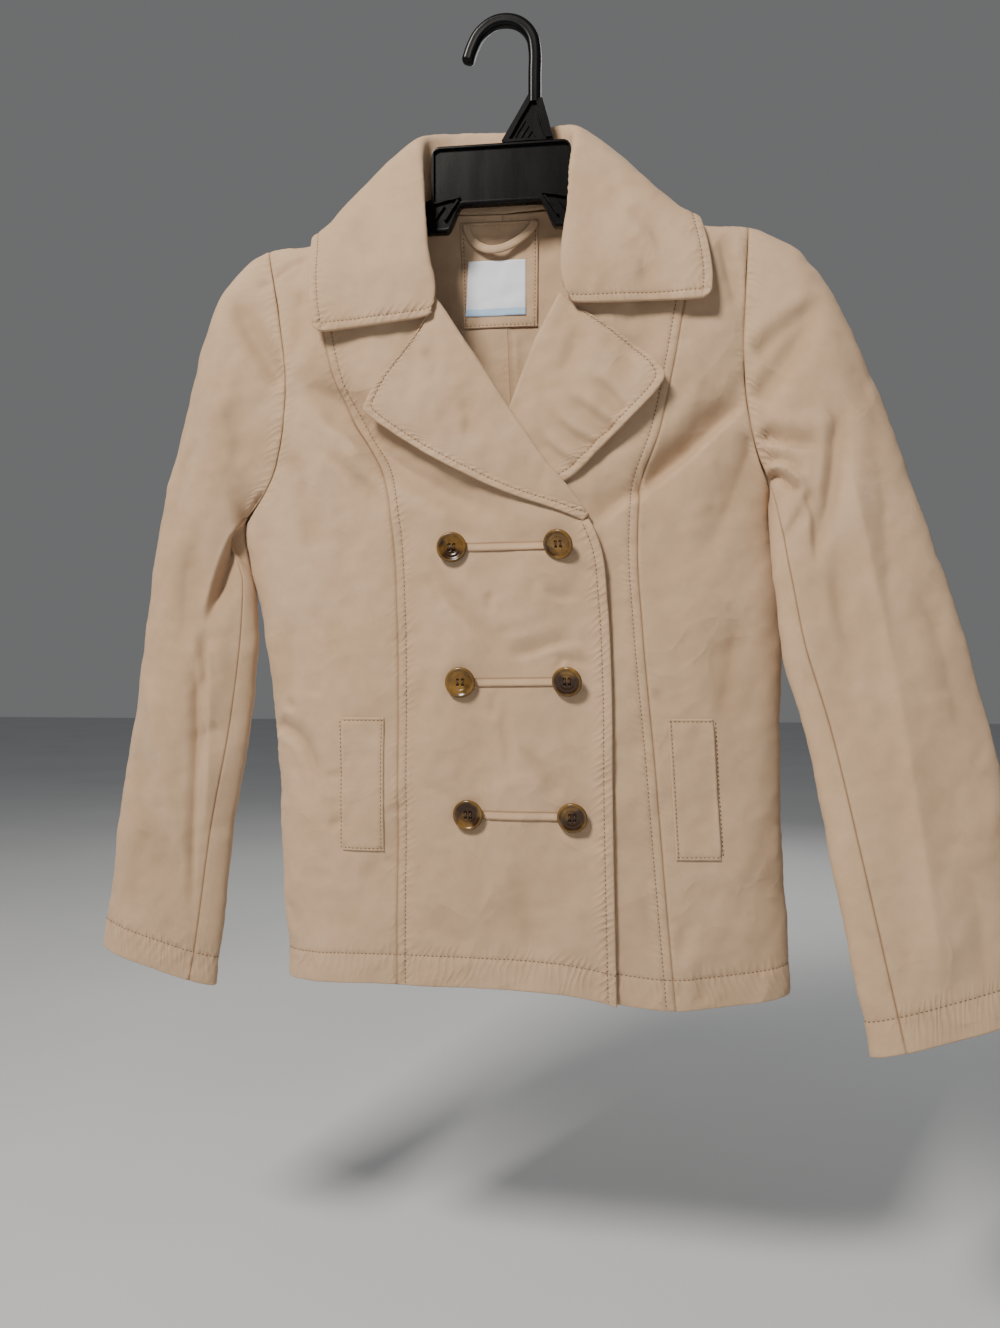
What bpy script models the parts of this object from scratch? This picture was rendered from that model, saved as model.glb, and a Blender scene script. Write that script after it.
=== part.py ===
"""Pea coat on a moulded hanger.

The coat hangs closed on its hanger, flat enough for its cloth to lie 40 to 60 mm deep.
Sides are the wearer's: right is at -X, left at +X, the chest faces -Y and +Z is up.
The origin is the inner top of the hanger's hook.

Every cloth piece is a wall: a grid of points on the cloth's outer face, the same grid moved
in by the cloth's thickness, and a rim. The body's face is one surface with two parameters:
  across  -1 at the right side seam to +1 at the left side seam
  down    0 at the shoulder line, rising towards the hem
so neighbouring panels share their seam's points and stop just short of them.
Lengths in the tables are millimetres.
"""
import math
from collections import namedtuple

import bpy
import numpy as np

MM = 0.001

# Cloth
CLOTH = 1.2
COLLAR_CLOTH = 1.6
SEAM_INSET = 0.2
ARMHOLE_INSET = 0.25
LAYER_GAP = 0.35
FRONT = -1
BACK = 1

# Body
SHOULDER_HALF = 205.0
ROLL_OVER = 90.0
SIDE_POWER = 4.0
SLEEVE_POWER = 2.6

# Grid sizes
ARMHOLE_FRONT_STEPS = 7
ARMHOLE_UNDER_STEPS = 2
SIDE_STEPS = 8
SIDE_PANEL_COLUMNS = 5
CENTER_PANEL_COLUMNS = 7
NECK_COLUMNS = 5
COLLAR_ROWS = 26
FINE = 1e-4
ROW_STEP = 0.01
TURN_STEP = 0.003

# Closures
BUTTON_RADIUS = 11.8
BUTTON_SIDES = 20
BUTTON_HOLE_RADIUS = 0.95
BUTTON_HOLE_PITCH = 1.9
BUTTON_HOLE_SIDES = 6
BUTTON_STAND = 0.4
DROOP_SIDEWAYS = -0.6
DROOP_DOWN = -0.8
BAND_HEIGHT = 6.6
BAND_THICK = 1.0
BAND_PAST_BUTTON = 4.0

# Back neck
PATCH_THICK = 1.0
LABEL_THICK = 1.0
LOOP_START_X = -33.0
LOOP_SPAN = 57.0
LOOP_TOP_Z = -147.0
LOOP_SAG = 21.5
LOOP_LEAN = 0.78
LOOP_ROUND = 0.7
LOOP_STAND_OFF = 3.0
LOOP_HALF_WIDTH = 3.0
LOOP_THICK = 1.0

# Hanger
ROD_RADIUS = 5.1
ROD_SIDES = 12
HOOK_STEPS = 24
BAR_TOP_Z = -93.5
BAR_FOOT_Z = -141.5
BAR_HALF_WIDTH = 56.0
BAR_CORNER = 7.0
BAR_MIDDLE_X = -1.3
BAR_HALF_THICK = 4.5
RIB_START = 31.0
RIB_END = 44.0
RIB_DROP = 21.0
ARM_START = 60.0
ARM_END = 174.0
ARM_DROP = 21.0
ARM_THIN_FROM = 120.0
ARM_THINNING = 1.6
ARM_GAP = 0.65
RIM_HEIGHT = 6.0
RIM_FOOT = 2.0

Torso = namedtuple("Torso", "z half lean front back")
TORSO = (
    Torso(z=-790, half=200.0, lean=25.5, front=32, back=27),
    Torso(z=-764, half=200.0, lean=24.0, front=32, back=27),
    Torso(z=-657, half=200.0, lean=18.5, front=33, back=27),
    Torso(z=-553, half=201.5, lean=13.5, front=33, back=27),
    Torso(z=-456, half=209.4, lean=6.3, front=31, back=28),
    Torso(z=-430, half=211.3, lean=0.9, front=30, back=28),
    Torso(z=-400, half=211.1, lean=-2.4, front=29, back=29),
    Torso(z=-373, half=208.7, lean=-0.2, front=28, back=30),
    Torso(z=-310, half=205.0, lean=0.5, front=27, back=30),
    Torso(z=-200, half=205.0, lean=-0.8, front=25, back=28),
    Torso(z=-110, half=205.0, lean=-0.8, front=25, back=28),
)

Shoulder = namedtuple("Shoulder", "reach z")
SHOULDER = (
    Shoulder(reach=0, z=-122.0),
    Shoulder(reach=40, z=-127.5),
    Shoulder(reach=75, z=-140.0),
    Shoulder(reach=112, z=-154.0),
    Shoulder(reach=150, z=-165.5),
    Shoulder(reach=193, z=-169.5),
    Shoulder(reach=206, z=-170.0),
)

Point = namedtuple("Point", "x z")
ARMHOLE_RIGHT_FRONT = (
    Point(-193.5, -169.5), Point(-182.0, -222.0), Point(-174.8, -281.0),
    Point(-178.5, -328.0), Point(-188.0, -361.0), Point(-212.5, -394.0),
)
ARMHOLE_RIGHT_BACK = (
    Point(-193.5, -169.5), Point(-184.0, -222.0), Point(-180.0, -281.0),
    Point(-183.0, -328.0), Point(-190.0, -361.0), Point(-212.5, -394.0),
)
ARMHOLE_LEFT_FRONT = (
    Point(191.7, -169.4), Point(188.5, -225.0), Point(187.0, -275.0),
    Point(191.5, -322.0), Point(199.0, -352.0), Point(208.5, -374.0),
)
ARMHOLE_LEFT_BACK = (
    Point(191.7, -169.4), Point(186.0, -225.0), Point(184.0, -280.0),
    Point(188.0, -326.0), Point(197.0, -354.0), Point(208.5, -374.0),
)
PRINCESS_RIGHT = (
    Point(-148.0, -165.0), Point(-146.0, -205.0), Point(-139.5, -255.0), Point(-128.0, -298.0),
    Point(-106.5, -332.5), Point(-92.0, -360.0), Point(-84.0, -402.0), Point(-79.5, -470.0),
    Point(-78.5, -600.0), Point(-79.5, -759.3),
)
PRINCESS_LEFT = (
    Point(149.0, -165.0), Point(146.5, -205.0), Point(140.0, -246.0), Point(133.0, -285.0),
    Point(122.5, -333.0), Point(110.0, -370.0), Point(106.5, -415.0), Point(110.0, -480.0),
    Point(119.0, -580.0), Point(128.0, -690.0), Point(135.0, -771.0),
)
NECK_RIGHT = (
    Point(-75.0, -140.0), Point(-73.5, -165.0), Point(-69.0, -195.0), Point(-58.0, -221.0),
)
ROLL_RIGHT = (
    Point(-41.0, -241.0), Point(-26.0, -262.5), Point(-0.5, -302.5), Point(31.0, -349.0),
    Point(55.3, -378.0), Point(69.3, -397.5),
)
EDGE_RIGHT = (
    Point(78.2, -418.0), Point(84.0, -462.0), Point(87.0, -520.0), Point(88.0, -612.0),
    Point(91.0, -768.0),
)
NECK_LEFT = (
    Point(72.0, -139.6), Point(70.5, -165.0), Point(66.5, -195.0), Point(57.0, -221.0),
)
ROLL_LEFT = (
    Point(43.0, -237.0), Point(32.0, -256.0), Point(21.0, -283.0), Point(11.5, -308.0),
    Point(-2.0, -345.0),
)
EDGE_LEFT = (
    Point(-26.0, -385.0), Point(-43.0, -430.0), Point(-45.0, -520.0), Point(-43.0, -650.0),
    Point(-41.0, -759.5),
)
NECK_BACK = (
    Point(-75.0, -140.0), Point(-55.0, -140.2), Point(-30.0, -140.6), Point(-3.0, -140.8),
    Point(28.0, -140.6), Point(52.0, -140.2), Point(72.0, -139.6),
)
HEM = (
    Point(-180.0, -763.0), Point(-79.0, -759.0), Point(0.0, -759.0), Point(48.0, -761.0),
    Point(91.0, -767.5), Point(133.0, -771.0), Point(180.0, -767.0), Point(225.0, -762.0),
)
CENTER_BACK_X = -3.0
CENTER_BACK_HEM_X = 20.0

Fold = namedtuple("Fold", "x0 z0 x1 z1 depth width")
FOLDS = (
    Fold(x0=187, z0=-300, x1=120, z1=-372, depth=3.5, width=12),
    Fold(x0=178, z0=-345, x1=158, z1=-425, depth=2.5, width=12),
    Fold(x0=-160, z0=-288, x1=-62, z1=-342, depth=2.2, width=11),
    Fold(x0=-172, z0=-352, x1=-150, z1=-410, depth=2.2, width=11),
    Fold(x0=-186, z0=-560, x1=-150, z1=-610, depth=2.0, width=12),
)

Sleeve = namedtuple("Sleeve", "outer_x outer_z outer_y inner_x inner_z inner_y depth")
SLEEVE_RIGHT = (
    Sleeve(-193.5, -169.5, 0, -212.5, -394.0, 0, 17),
    Sleeve(-206.0, -175.0, 0, -215.0, -396.5, 0, 18),
    Sleeve(-219.0, -188.0, 0, -215.8, -400.0, -1, 19),
    Sleeve(-236.0, -211.0, -1, -216.0, -405.0, -1, 20),
    Sleeve(-251.0, -248.0, -1, -215.6, -412.0, -2, 20),
    Sleeve(-261.0, -291.0, -2, -214.2, -423.0, -3, 19),
    Sleeve(-272.0, -335.0, -3, -211.2, -438.0, -4, 18),
    Sleeve(-283.0, -375.0, -4, -205.8, -458.0, -5, 16),
    Sleeve(-295.0, -456.0, -6, -203.0, -505.0, -7, 15),
    Sleeve(-304.0, -539.0, -8, -209.0, -571.0, -8, 14),
    Sleeve(-317.0, -622.0, -9, -221.5, -649.0, -9, 14),
    Sleeve(-329.0, -705.0, -9, -231.5, -734.0, -9, 13),
    Sleeve(-334.0, -742.0, -9, -235.8, -772.0, -9, 13),
)
SLEEVE_LEFT = (
    Sleeve(191.7, -169.4, 0, 208.5, -374.0, 0, 17),
    Sleeve(204.0, -174.5, 0, 210.5, -376.5, -1, 18),
    Sleeve(218.0, -183.0, 0, 211.0, -380.5, -3, 19),
    Sleeve(235.0, -197.0, -1, 210.5, -386.5, -6, 20),
    Sleeve(254.0, -225.0, -3, 209.8, -394.0, -10, 20),
    Sleeve(273.0, -270.0, -7, 208.8, -404.0, -15, 19),
    Sleeve(289.0, -312.0, -12, 208.5, -420.0, -21, 18),
    Sleeve(311.0, -385.0, -21, 210.5, -452.0, -28, 16),
    Sleeve(334.0, -462.0, -33, 216.0, -502.0, -35, 15),
    Sleeve(351.0, -535.0, -45, 228.0, -563.0, -45, 14),
    Sleeve(362.0, -612.0, -58, 242.0, -644.0, -60, 14),
    Sleeve(371.0, -692.0, -74, 256.0, -726.0, -75, 13),
    Sleeve(376.0, -742.0, -84, 264.5, -779.0, -83, 13),
)
SLEEVE_FADE_ROWS = 4.0
FRONT_SEAM_TOP = 1.80
FRONT_SEAM_CUFF = 1.58
BACK_SEAM_TOP = 1.35
BACK_SEAM_CUFF = 1.30
SLEEVE_ROWS_BETWEEN = (0, 1, 2, 3, 4, 5, 6, 7, 7.5, 8, 8.5, 9, 9.5, 10, 10.5, 11, 12)

Collar = namedtuple("Collar", "seam_x seam_y seam_z roll_x roll_y roll_z edge_x edge_y edge_z")
COLLAR = (
    Collar(-59.0, -31.4, -231.0, -53.0, -33.0, -237.5, -145.5, -30.0, -248.0),
    Collar(-62.0, -28.2, -212.0, -50.0, -31.0, -216.0, -149.0, -27.5, -223.0),
    Collar(-68.5, -24.8, -188.0, -53.5, -27.0, -181.0, -150.8, -22.0, -190.0),
    Collar(-72.7, -19.0, -162.0, -58.0, -20.0, -141.0, -151.3, -13.0, -170.5),
    Collar(-73.7, -12.0, -147.0, -60.5, -14.0, -117.0, -151.3, -6.0, -165.6),
    Collar(-74.8, -1.0, -139.2, -62.0, -7.0, -97.0, -151.0, 3.0, -163.6),
    Collar(-66.0, 8.6, -139.2, -59.0, 10.0, -82.0, -143.0, 19.0, -168.0),
    Collar(-40.0, 15.9, -139.8, -37.0, 23.0, -77.0, -96.0, 31.0, -168.0),
    Collar(-3.0, 18.6, -140.2, -3.0, 26.0, -76.5, -3.0, 35.5, -166.0),
    Collar(37.0, 16.0, -139.8, 32.0, 23.0, -77.0, 92.0, 31.0, -168.0),
    Collar(63.0, 8.8, -139.0, 55.0, 10.0, -83.0, 140.0, 19.0, -168.0),
    Collar(71.8, -1.0, -138.8, 59.0, -7.0, -98.0, 149.0, 3.0, -163.6),
    Collar(70.7, -12.0, -147.0, 57.0, -14.0, -119.0, 151.5, -6.0, -165.8),
    Collar(69.6, -19.0, -162.0, 54.5, -20.0, -147.0, 154.0, -13.0, -171.0),
    Collar(66.9, -24.4, -188.0, 50.0, -27.0, -185.0, 159.0, -21.0, -192.0),
    Collar(61.0, -27.8, -212.0, 50.5, -31.0, -213.0, 162.0, -26.0, -215.0),
    Collar(64.0, -31.0, -227.0, 57.5, -33.0, -232.5, 161.0, -29.5, -234.0),
)
COLLAR_ROLL_HANDLE = 9.0
COLLAR_HANDLE_SHARE = 0.45
COLLAR_BULGE = 11.7
COLLAR_BULGE_SHIFT = 0.12
COLLAR_STEPS = (0.0, 0.35, 0.7, 0.9, 1.0, 1.05, 1.15, 1.4, 1.7, 2.0)

Lapel = namedtuple("Lapel", "roll_x roll_z edge_x edge_z lift")
LAPEL_RIGHT = (
    Lapel(-50.0, -222.0, -57.0, -239.5, 0.0),
    Lapel(-41.5, -235.0, -73.5, -260.0, 0.5),
    Lapel(-34.5, -246.0, -94.5, -286.5, 1.4),
    Lapel(-27.0, -257.5, -103.5, -302.5, 2.0),
    Lapel(-18.0, -270.5, -103.0, -311.5, 2.4),
    Lapel(-4.0, -292.5, -75.0, -333.0, 2.8),
    Lapel(14.0, -320.5, -44.5, -352.5, 2.4),
    Lapel(37.0, -354.0, 2.0, -375.5, 1.6),
    Lapel(57.0, -377.5, 44.0, -391.0, 0.8),
    Lapel(70.0, -395.5, 65.5, -399.5, 0.2),
)
LAPEL_LEFT = (
    Lapel(47.0, -223.5, 62.0, -236.5, 0.0),
    Lapel(41.5, -234.0, 86.0, -251.7, 1.0),
    Lapel(35.5, -245.0, 109.0, -270.5, 2.5),
    Lapel(30.0, -255.5, 124.3, -286.5, 4.0),
    Lapel(25.5, -265.0, 123.5, -298.5, 4.8),
    Lapel(20.5, -278.0, 101.0, -323.0, 4.6),
    Lapel(15.0, -292.0, 78.0, -345.0, 3.2),
    Lapel(9.0, -308.5, 59.0, -363.5, 0.8),
    Lapel(3.0, -327.0, 41.0, -374.5, 0.0),
)
LAPEL_ROLL_RADIUS = 1.7
LAPEL_ROLL_DEGREES = (-60, 0, 60)
LAPEL_PAST_ROLL = 1.0
LAPEL_TUCK = 6.5
LAPEL_SHARES = (0.0, 0.3, 0.6, 0.85, 1.0)
LAPEL_LIFT_POWER = 1.6
LAP_EDGE_LEVEL = 0.4
LAP_RISE = 1.35
LAP_RISE_FROM = -75.0
LAP_RISE_TO = -48.0
CROSSING = (Point(6.0, -316.0), Point(52.0, -378.0))
CROSSING_LEVEL = 3.3
CROSSING_NEAR = 28.0
CROSSING_FAR = 130.0

Welt = namedtuple("Welt", "name x_top z_top x_foot z_foot width")
WELTS = (
    Welt("welt_right", -106.5, -551.0, -106.5, -655.0, 33.0),
    Welt("welt_left", 146.0, -550.5, 152.0, -656.5, 33.0),
)

PATCH_CORNERS = (Point(-38, -146), Point(26, -146), Point(25, -231), Point(-36, -231))
LABEL_CORNERS = (Point(-31.5, -176.5), Point(15.5, -176.5), Point(15.5, -221.5),
                 Point(-34, -221.5))

Row = namedtuple("Row", "name x_right z_right x_left z_left tilt_right tilt_left")
BUTTON_ROWS = (
    Row("top", -35.6, -419.0, 47.2, -418.0, 0.0, 25.0),
    Row("middle", -28.5, -523.0, 54.0, -522.0, 3.0, 19.0),
    Row("bottom", -22.3, -624.5, 57.8, -625.0, 4.0, 11.0),
)

Profile = namedtuple("Profile", "radius height")
BUTTON_PROFILE = (
    Profile(0.0, 0.0), Profile(BUTTON_RADIUS - 2.5, 0.0), Profile(BUTTON_RADIUS - 0.4, 1.1),
    Profile(BUTTON_RADIUS, 1.9), Profile(BUTTON_RADIUS - 0.6, 3.0),
    Profile(BUTTON_RADIUS - 1.6, 3.4), Profile(BUTTON_RADIUS - 2.8, 2.7),
    Profile(BUTTON_RADIUS - 6.5, 2.1), Profile(0.0, 2.1),
)

HOOK = (
    Point(25.5, -40.0), Point(25.5, -20.0), Point(23.8, -10.5), Point(19.0, -2.5),
    Point(11.5, 3.2), Point(3.0, 5.4), Point(-6.0, 4.6), Point(-13.5, 0.8), Point(-20.0, -5.5),
    Point(-24.6, -14.0), Point(-29.2, -27.5),
)
Gusset = namedtuple("Gusset", "z x_low x_high half")
GUSSET = (
    Gusset(z=BAR_TOP_Z + 0.3, x_low=-1.0, x_high=41.0, half=4.2),
    Gusset(z=-75.0, x_low=9.5, x_high=35.5, half=4.2),
    Gusset(z=-58.0, x_low=20.4, x_high=30.6, half=ROD_RADIUS),
)
BAR_REACHES = (15.0, RIB_START, 37.0, RIB_END, 49.0, 52.5, 54.8, BAR_HALF_WIDTH)
ARM_REACHES = (58.5, 66.0, 78.0, 92.0, 106.0, 120.0, 134.0, 146.0, 157.0, 166.0, ARM_END)

KHAKI = (0.53, 0.43, 0.32, 1.0)
WHITE = (0.86, 0.88, 0.90, 1.0)
HORN = (0.20, 0.11, 0.035, 1.0)
BLACK = (0.012, 0.011, 0.012, 1.0)


# ---------------------------------------------------------------- curves

def through(keys, values, at):
    """Value at `at` of the smooth curve through the rows (keys, values)."""
    keys = np.asarray(keys, float)
    values = np.asarray(values, float)
    if keys[0] > keys[-1]:
        keys = keys[::-1]
        values = values[::-1]
    slope = np.gradient(values, keys)
    at = np.clip(np.asarray(at, float), keys[0], keys[-1])
    i = np.clip(np.searchsorted(keys, at) - 1, 0, len(keys) - 2)
    span = keys[i + 1] - keys[i]
    s = (at - keys[i]) / span
    return (values[i] * (1 + 2 * s) * (1 - s) ** 2 + values[i + 1] * s * s * (3 - 2 * s)
            + span * (slope[i] * s * (1 - s) ** 2 - slope[i + 1] * s * s * (1 - s)))


def column(table, name):
    """One named column of a table as an array."""
    return np.array([getattr(row, name) for row in table], float)


def arc_steps(points):
    """Distance along a run of points, from 0 to 1."""
    steps = np.hypot(np.diff(points[:, 0]), np.diff(points[:, 1]))
    total = np.concatenate([[0.0], np.cumsum(steps)])
    return total / total[-1]


def along(points, fractions):
    """Points (x, z) at these fractions of a smooth run through a table's points."""
    run = np.array(points, float)
    keys = arc_steps(run)
    return np.stack([through(keys, run[:, 0], fractions), through(keys, run[:, 1], fractions)], 1)


def smoothstep(low, high, value):
    """0 below low, 1 above high, eased between."""
    s = np.clip((value - low) / (high - low), 0.0, 1.0)
    return s * s * (3 - 2 * s)


def beside(x, z, a, b):
    """Distance from (x, z) to the straight run from a to b."""
    run_x, run_z = b[0] - a[0], b[1] - a[1]
    s = ((x - a[0]) * run_x + (z - a[1]) * run_z) / (run_x ** 2 + run_z ** 2)
    s = np.clip(s, 0.0, 1.0)
    return np.hypot(x - a[0] - s * run_x, z - a[1] - s * run_z)


# ---------------------------------------------------------------- body surface

def fold_depth(x, z):
    """How far the largest folds press the front cloth in."""
    total = np.zeros_like(x)
    for fold in FOLDS:
        gap = beside(x, z, (fold.x0, fold.z0), (fold.x1, fold.z1))
        total = total + fold.depth * np.exp(-(gap / fold.width) ** 2)
    return total


def body(across, down, face):
    """Points on the body's outer face, from its two parameters, on the front or the back."""
    g = np.sin(np.pi / 2 * across)
    top = through(column(SHOULDER, "reach"), column(SHOULDER, "z"), np.abs(SHOULDER_HALF * g))
    drop = np.where(down < 1, ROLL_OVER * (1 - np.cos(np.pi / 2 * np.minimum(down, 1))),
                    ROLL_OVER * (1 + (down - 1) * np.pi / 2))
    z = top - drop
    heights = column(TORSO, "z")
    x = through(heights, column(TORSO, "lean"), z) + g * through(heights, column(TORSO, "half"), z)
    deep = through(heights, column(TORSO, "front" if face == FRONT else "back"), z)
    left = np.clip(1 - drop / ROLL_OVER, 0, 1)
    shape = np.sqrt(np.clip(1 - np.abs(g) ** SIDE_POWER, 0, 1)) * np.sqrt(1 - left ** 3)
    y = face * deep * shape
    if face == FRONT:
        y = y + fold_depth(x, z) * shape
    return np.stack([x, y, z], -1)


def chart(x, z):
    """The body's two parameters under (x, z)."""
    x, z = np.asarray(x, float), np.asarray(z, float)
    heights = column(TORSO, "z")
    g = (x - through(heights, column(TORSO, "lean"), z)) / through(heights, column(TORSO, "half"), z)
    g = np.clip(g, -1, 1)
    top = through(column(SHOULDER, "reach"), column(SHOULDER, "z"), np.abs(SHOULDER_HALF * g))
    drop = np.clip((top - z) / ROLL_OVER, 0, None)
    down = np.where(drop < 1, np.arccos(1 - np.minimum(drop, 1)) * 2 / np.pi,
                    1 + (drop - 1) * 2 / np.pi)
    return np.arcsin(g) * 2 / np.pi, down


def unit(vectors):
    """Vectors scaled to length 1."""
    return vectors / np.maximum(np.linalg.norm(vectors, axis=-1, keepdims=True), 1e-9)


def body_normal(across, down, face):
    """Outward direction of the body's face."""
    a0, a1 = np.maximum(across - FINE, -1), np.minimum(across + FINE, 1)
    d0, d1 = np.maximum(down - FINE, 0), down + FINE
    sideways = body(a1, down, face) - body(a0, down, face)
    downward = body(across, d1, face) - body(across, d0, face)
    return unit(np.cross(downward, sideways) * -face)


def on_body(x, z, face, level):
    """Points over (x, z), `level` outside the body's outer face."""
    across, down = chart(x, z)
    return body(across, down, face) + body_normal(across, down, face) * np.asarray(level)[..., None]


def right_level(x, z):
    """Height of the lapping front's outer face over the body's face."""
    lap = LAP_EDGE_LEVEL + LAP_RISE * smoothstep(LAP_RISE_FROM, LAP_RISE_TO, x)
    near = beside(x, z, CROSSING[0], CROSSING[1])
    return lap + CROSSING_LEVEL * (1 - smoothstep(CROSSING_NEAR, CROSSING_FAR, near))


# ---------------------------------------------------------------- solids

def material(name, color, roughness):
    """A Principled material of one colour."""
    made = bpy.data.materials.new(name)
    made.use_nodes = True
    shader = made.node_tree.nodes["Principled BSDF"]
    shader.inputs["Base Color"].default_value = color
    shader.inputs["Roughness"].default_value = roughness
    made.diffuse_color = color
    return made


def add_mesh(name, points, faces, look):
    """One closed object from points in millimetres, its faces turned outwards."""
    points = np.asarray(points, float) * MM
    corners = points[np.asarray(faces)]
    volume = np.einsum("ij,ij->i", corners[:, 0], np.cross(corners[:, 1], corners[:, 2])).sum()
    if volume < 0:
        faces = [tuple(reversed(face)) for face in faces]
    mesh = bpy.data.meshes.new(name)
    mesh.from_pydata([tuple(p) for p in points], [], [tuple(int(i) for i in f) for f in faces])
    mesh.shade_smooth()
    mesh.set_sharp_from_angle(angle=math.radians(40))
    thing = bpy.data.objects.new(name, mesh)
    bpy.context.collection.objects.link(thing)
    mesh.materials.append(look)
    return thing


def wall(name, outer, inner, look):
    """A wall between two grids of points, closed by a rim."""
    rows, columns = outer.shape[:2]
    count = rows * columns
    index = np.arange(count).reshape(rows, columns)
    a, b = index[:-1, :-1].ravel(), index[:-1, 1:].ravel()
    c, d = index[1:, 1:].ravel(), index[1:, :-1].ravel()
    faces = [*zip(a, b, c), *zip(a, c, d)]
    faces += [(p + count, r + count, q + count) for p, q, r in list(faces)]
    ring = [*index[0, :-1], *index[:-1, -1], *index[-1, :0:-1], *index[:0:-1, 0]]
    for here, there in zip(ring, ring[1:] + ring[:1]):
        faces += [(there, here, here + count), (there, here + count, there + count)]
    return add_mesh(name, np.concatenate([outer.reshape(-1, 3), inner.reshape(-1, 3)]), faces, look)


def inset(grid, amount=SEAM_INSET, edges="tblr"):
    """A grid whose border points have moved this far in from its edges."""
    grid = grid.copy()
    source = grid.copy()
    for edge, border, inner in (("t", np.s_[0], np.s_[1]), ("b", np.s_[-1], np.s_[-2]),
                                ("l", np.s_[:, 0], np.s_[:, 1]), ("r", np.s_[:, -1], np.s_[:, -2])):
        if edge in edges:
            grid[border] += unit(source[inner] - source[border]) * amount
    return grid


def coons(top, bottom, left, right, across_steps, down_steps):
    """Parameter grid that fills four edges; each edge holds (across, down) pairs."""
    u = across_steps[None, :, None]
    v = down_steps[:, None, None]
    blend = (1 - v) * top[None] + v * bottom[None] + (1 - u) * left[:, None] + u * right[:, None]
    corners = ((1 - u) * (1 - v) * top[0] + u * (1 - v) * top[-1]
               + (1 - u) * v * bottom[0] + u * v * bottom[-1])
    return blend - corners


# ---------------------------------------------------------------- body panels

def armhole_fractions(seam):
    """Fractions down an armhole, from the shoulder, that the sleeve's grid shares."""
    turns = np.concatenate([np.linspace(0, seam, ARMHOLE_FRONT_STEPS + 1),
                            np.linspace(seam, 2, ARMHOLE_UNDER_STEPS + 1)[1:]])
    return (np.sin(np.pi / 2 * (turns - 1)) + 1) / 2


def chart_of(points):
    """(across, down) pairs under a run of (x, z) points."""
    return np.stack(chart(points[:, 0], points[:, 1]), 1)


def outer_edge(side, face):
    """(across, down) down the armhole and the side seam, and the steps along it."""
    tables = {(-1, FRONT): ARMHOLE_RIGHT_FRONT, (-1, BACK): ARMHOLE_RIGHT_BACK,
              (1, FRONT): ARMHOLE_LEFT_FRONT, (1, BACK): ARMHOLE_LEFT_BACK}
    seam = FRONT_SEAM_TOP if face == FRONT else BACK_SEAM_TOP
    hole = along(tables[(side, face)], armhole_fractions(seam))
    pairs = chart_of(hole)
    pairs[0, 1] = 0.0
    pairs[-1, 0] = side
    hem_z = HEM[0].z if side < 0 else HEM[-1].z
    hem_down = chart(np.array(side * 150.0), np.array(hem_z))[1]
    seam_down = np.linspace(pairs[-1, 1], hem_down, SIDE_STEPS + 1)[1:]
    pairs = np.concatenate([pairs, np.stack([np.full(SIDE_STEPS, float(side)), seam_down], 1)])
    places = body(pairs[:, 0], pairs[:, 1], face)
    return pairs, arc_steps(places[:, [0, 2]])


def hem_edge(x_from, x_to, steps):
    """(across, down) along the hem."""
    x = x_from + (x_to - x_from) * steps
    z = through([p.x for p in HEM], [p.z for p in HEM], x)
    return chart_of(np.stack([x, z], 1))


def shoulder_edge(x_from, x_to, steps):
    """(across, down) along the shoulder line."""
    x = x_from + (x_to - x_from) * steps
    pairs = chart_of(np.stack([x, np.full_like(x, -160.0)], 1))
    pairs[:, 1] = 0.0
    return pairs


def panel(name, grid, face, level, look, edges="tblr"):
    """A cloth panel of the body from its parameter grid."""
    across, down = grid[..., 0], grid[..., 1]
    place = body(across, down, face)
    normal = body_normal(across, down, face)
    height = level(place[..., 0], place[..., 2]) if level else np.zeros(across.shape)
    outer = inset(place + normal * height[..., None], edges=edges)
    inner = inset(place + normal * (height - CLOTH)[..., None], edges=edges)
    return wall(name, outer, inner, look)


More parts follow.
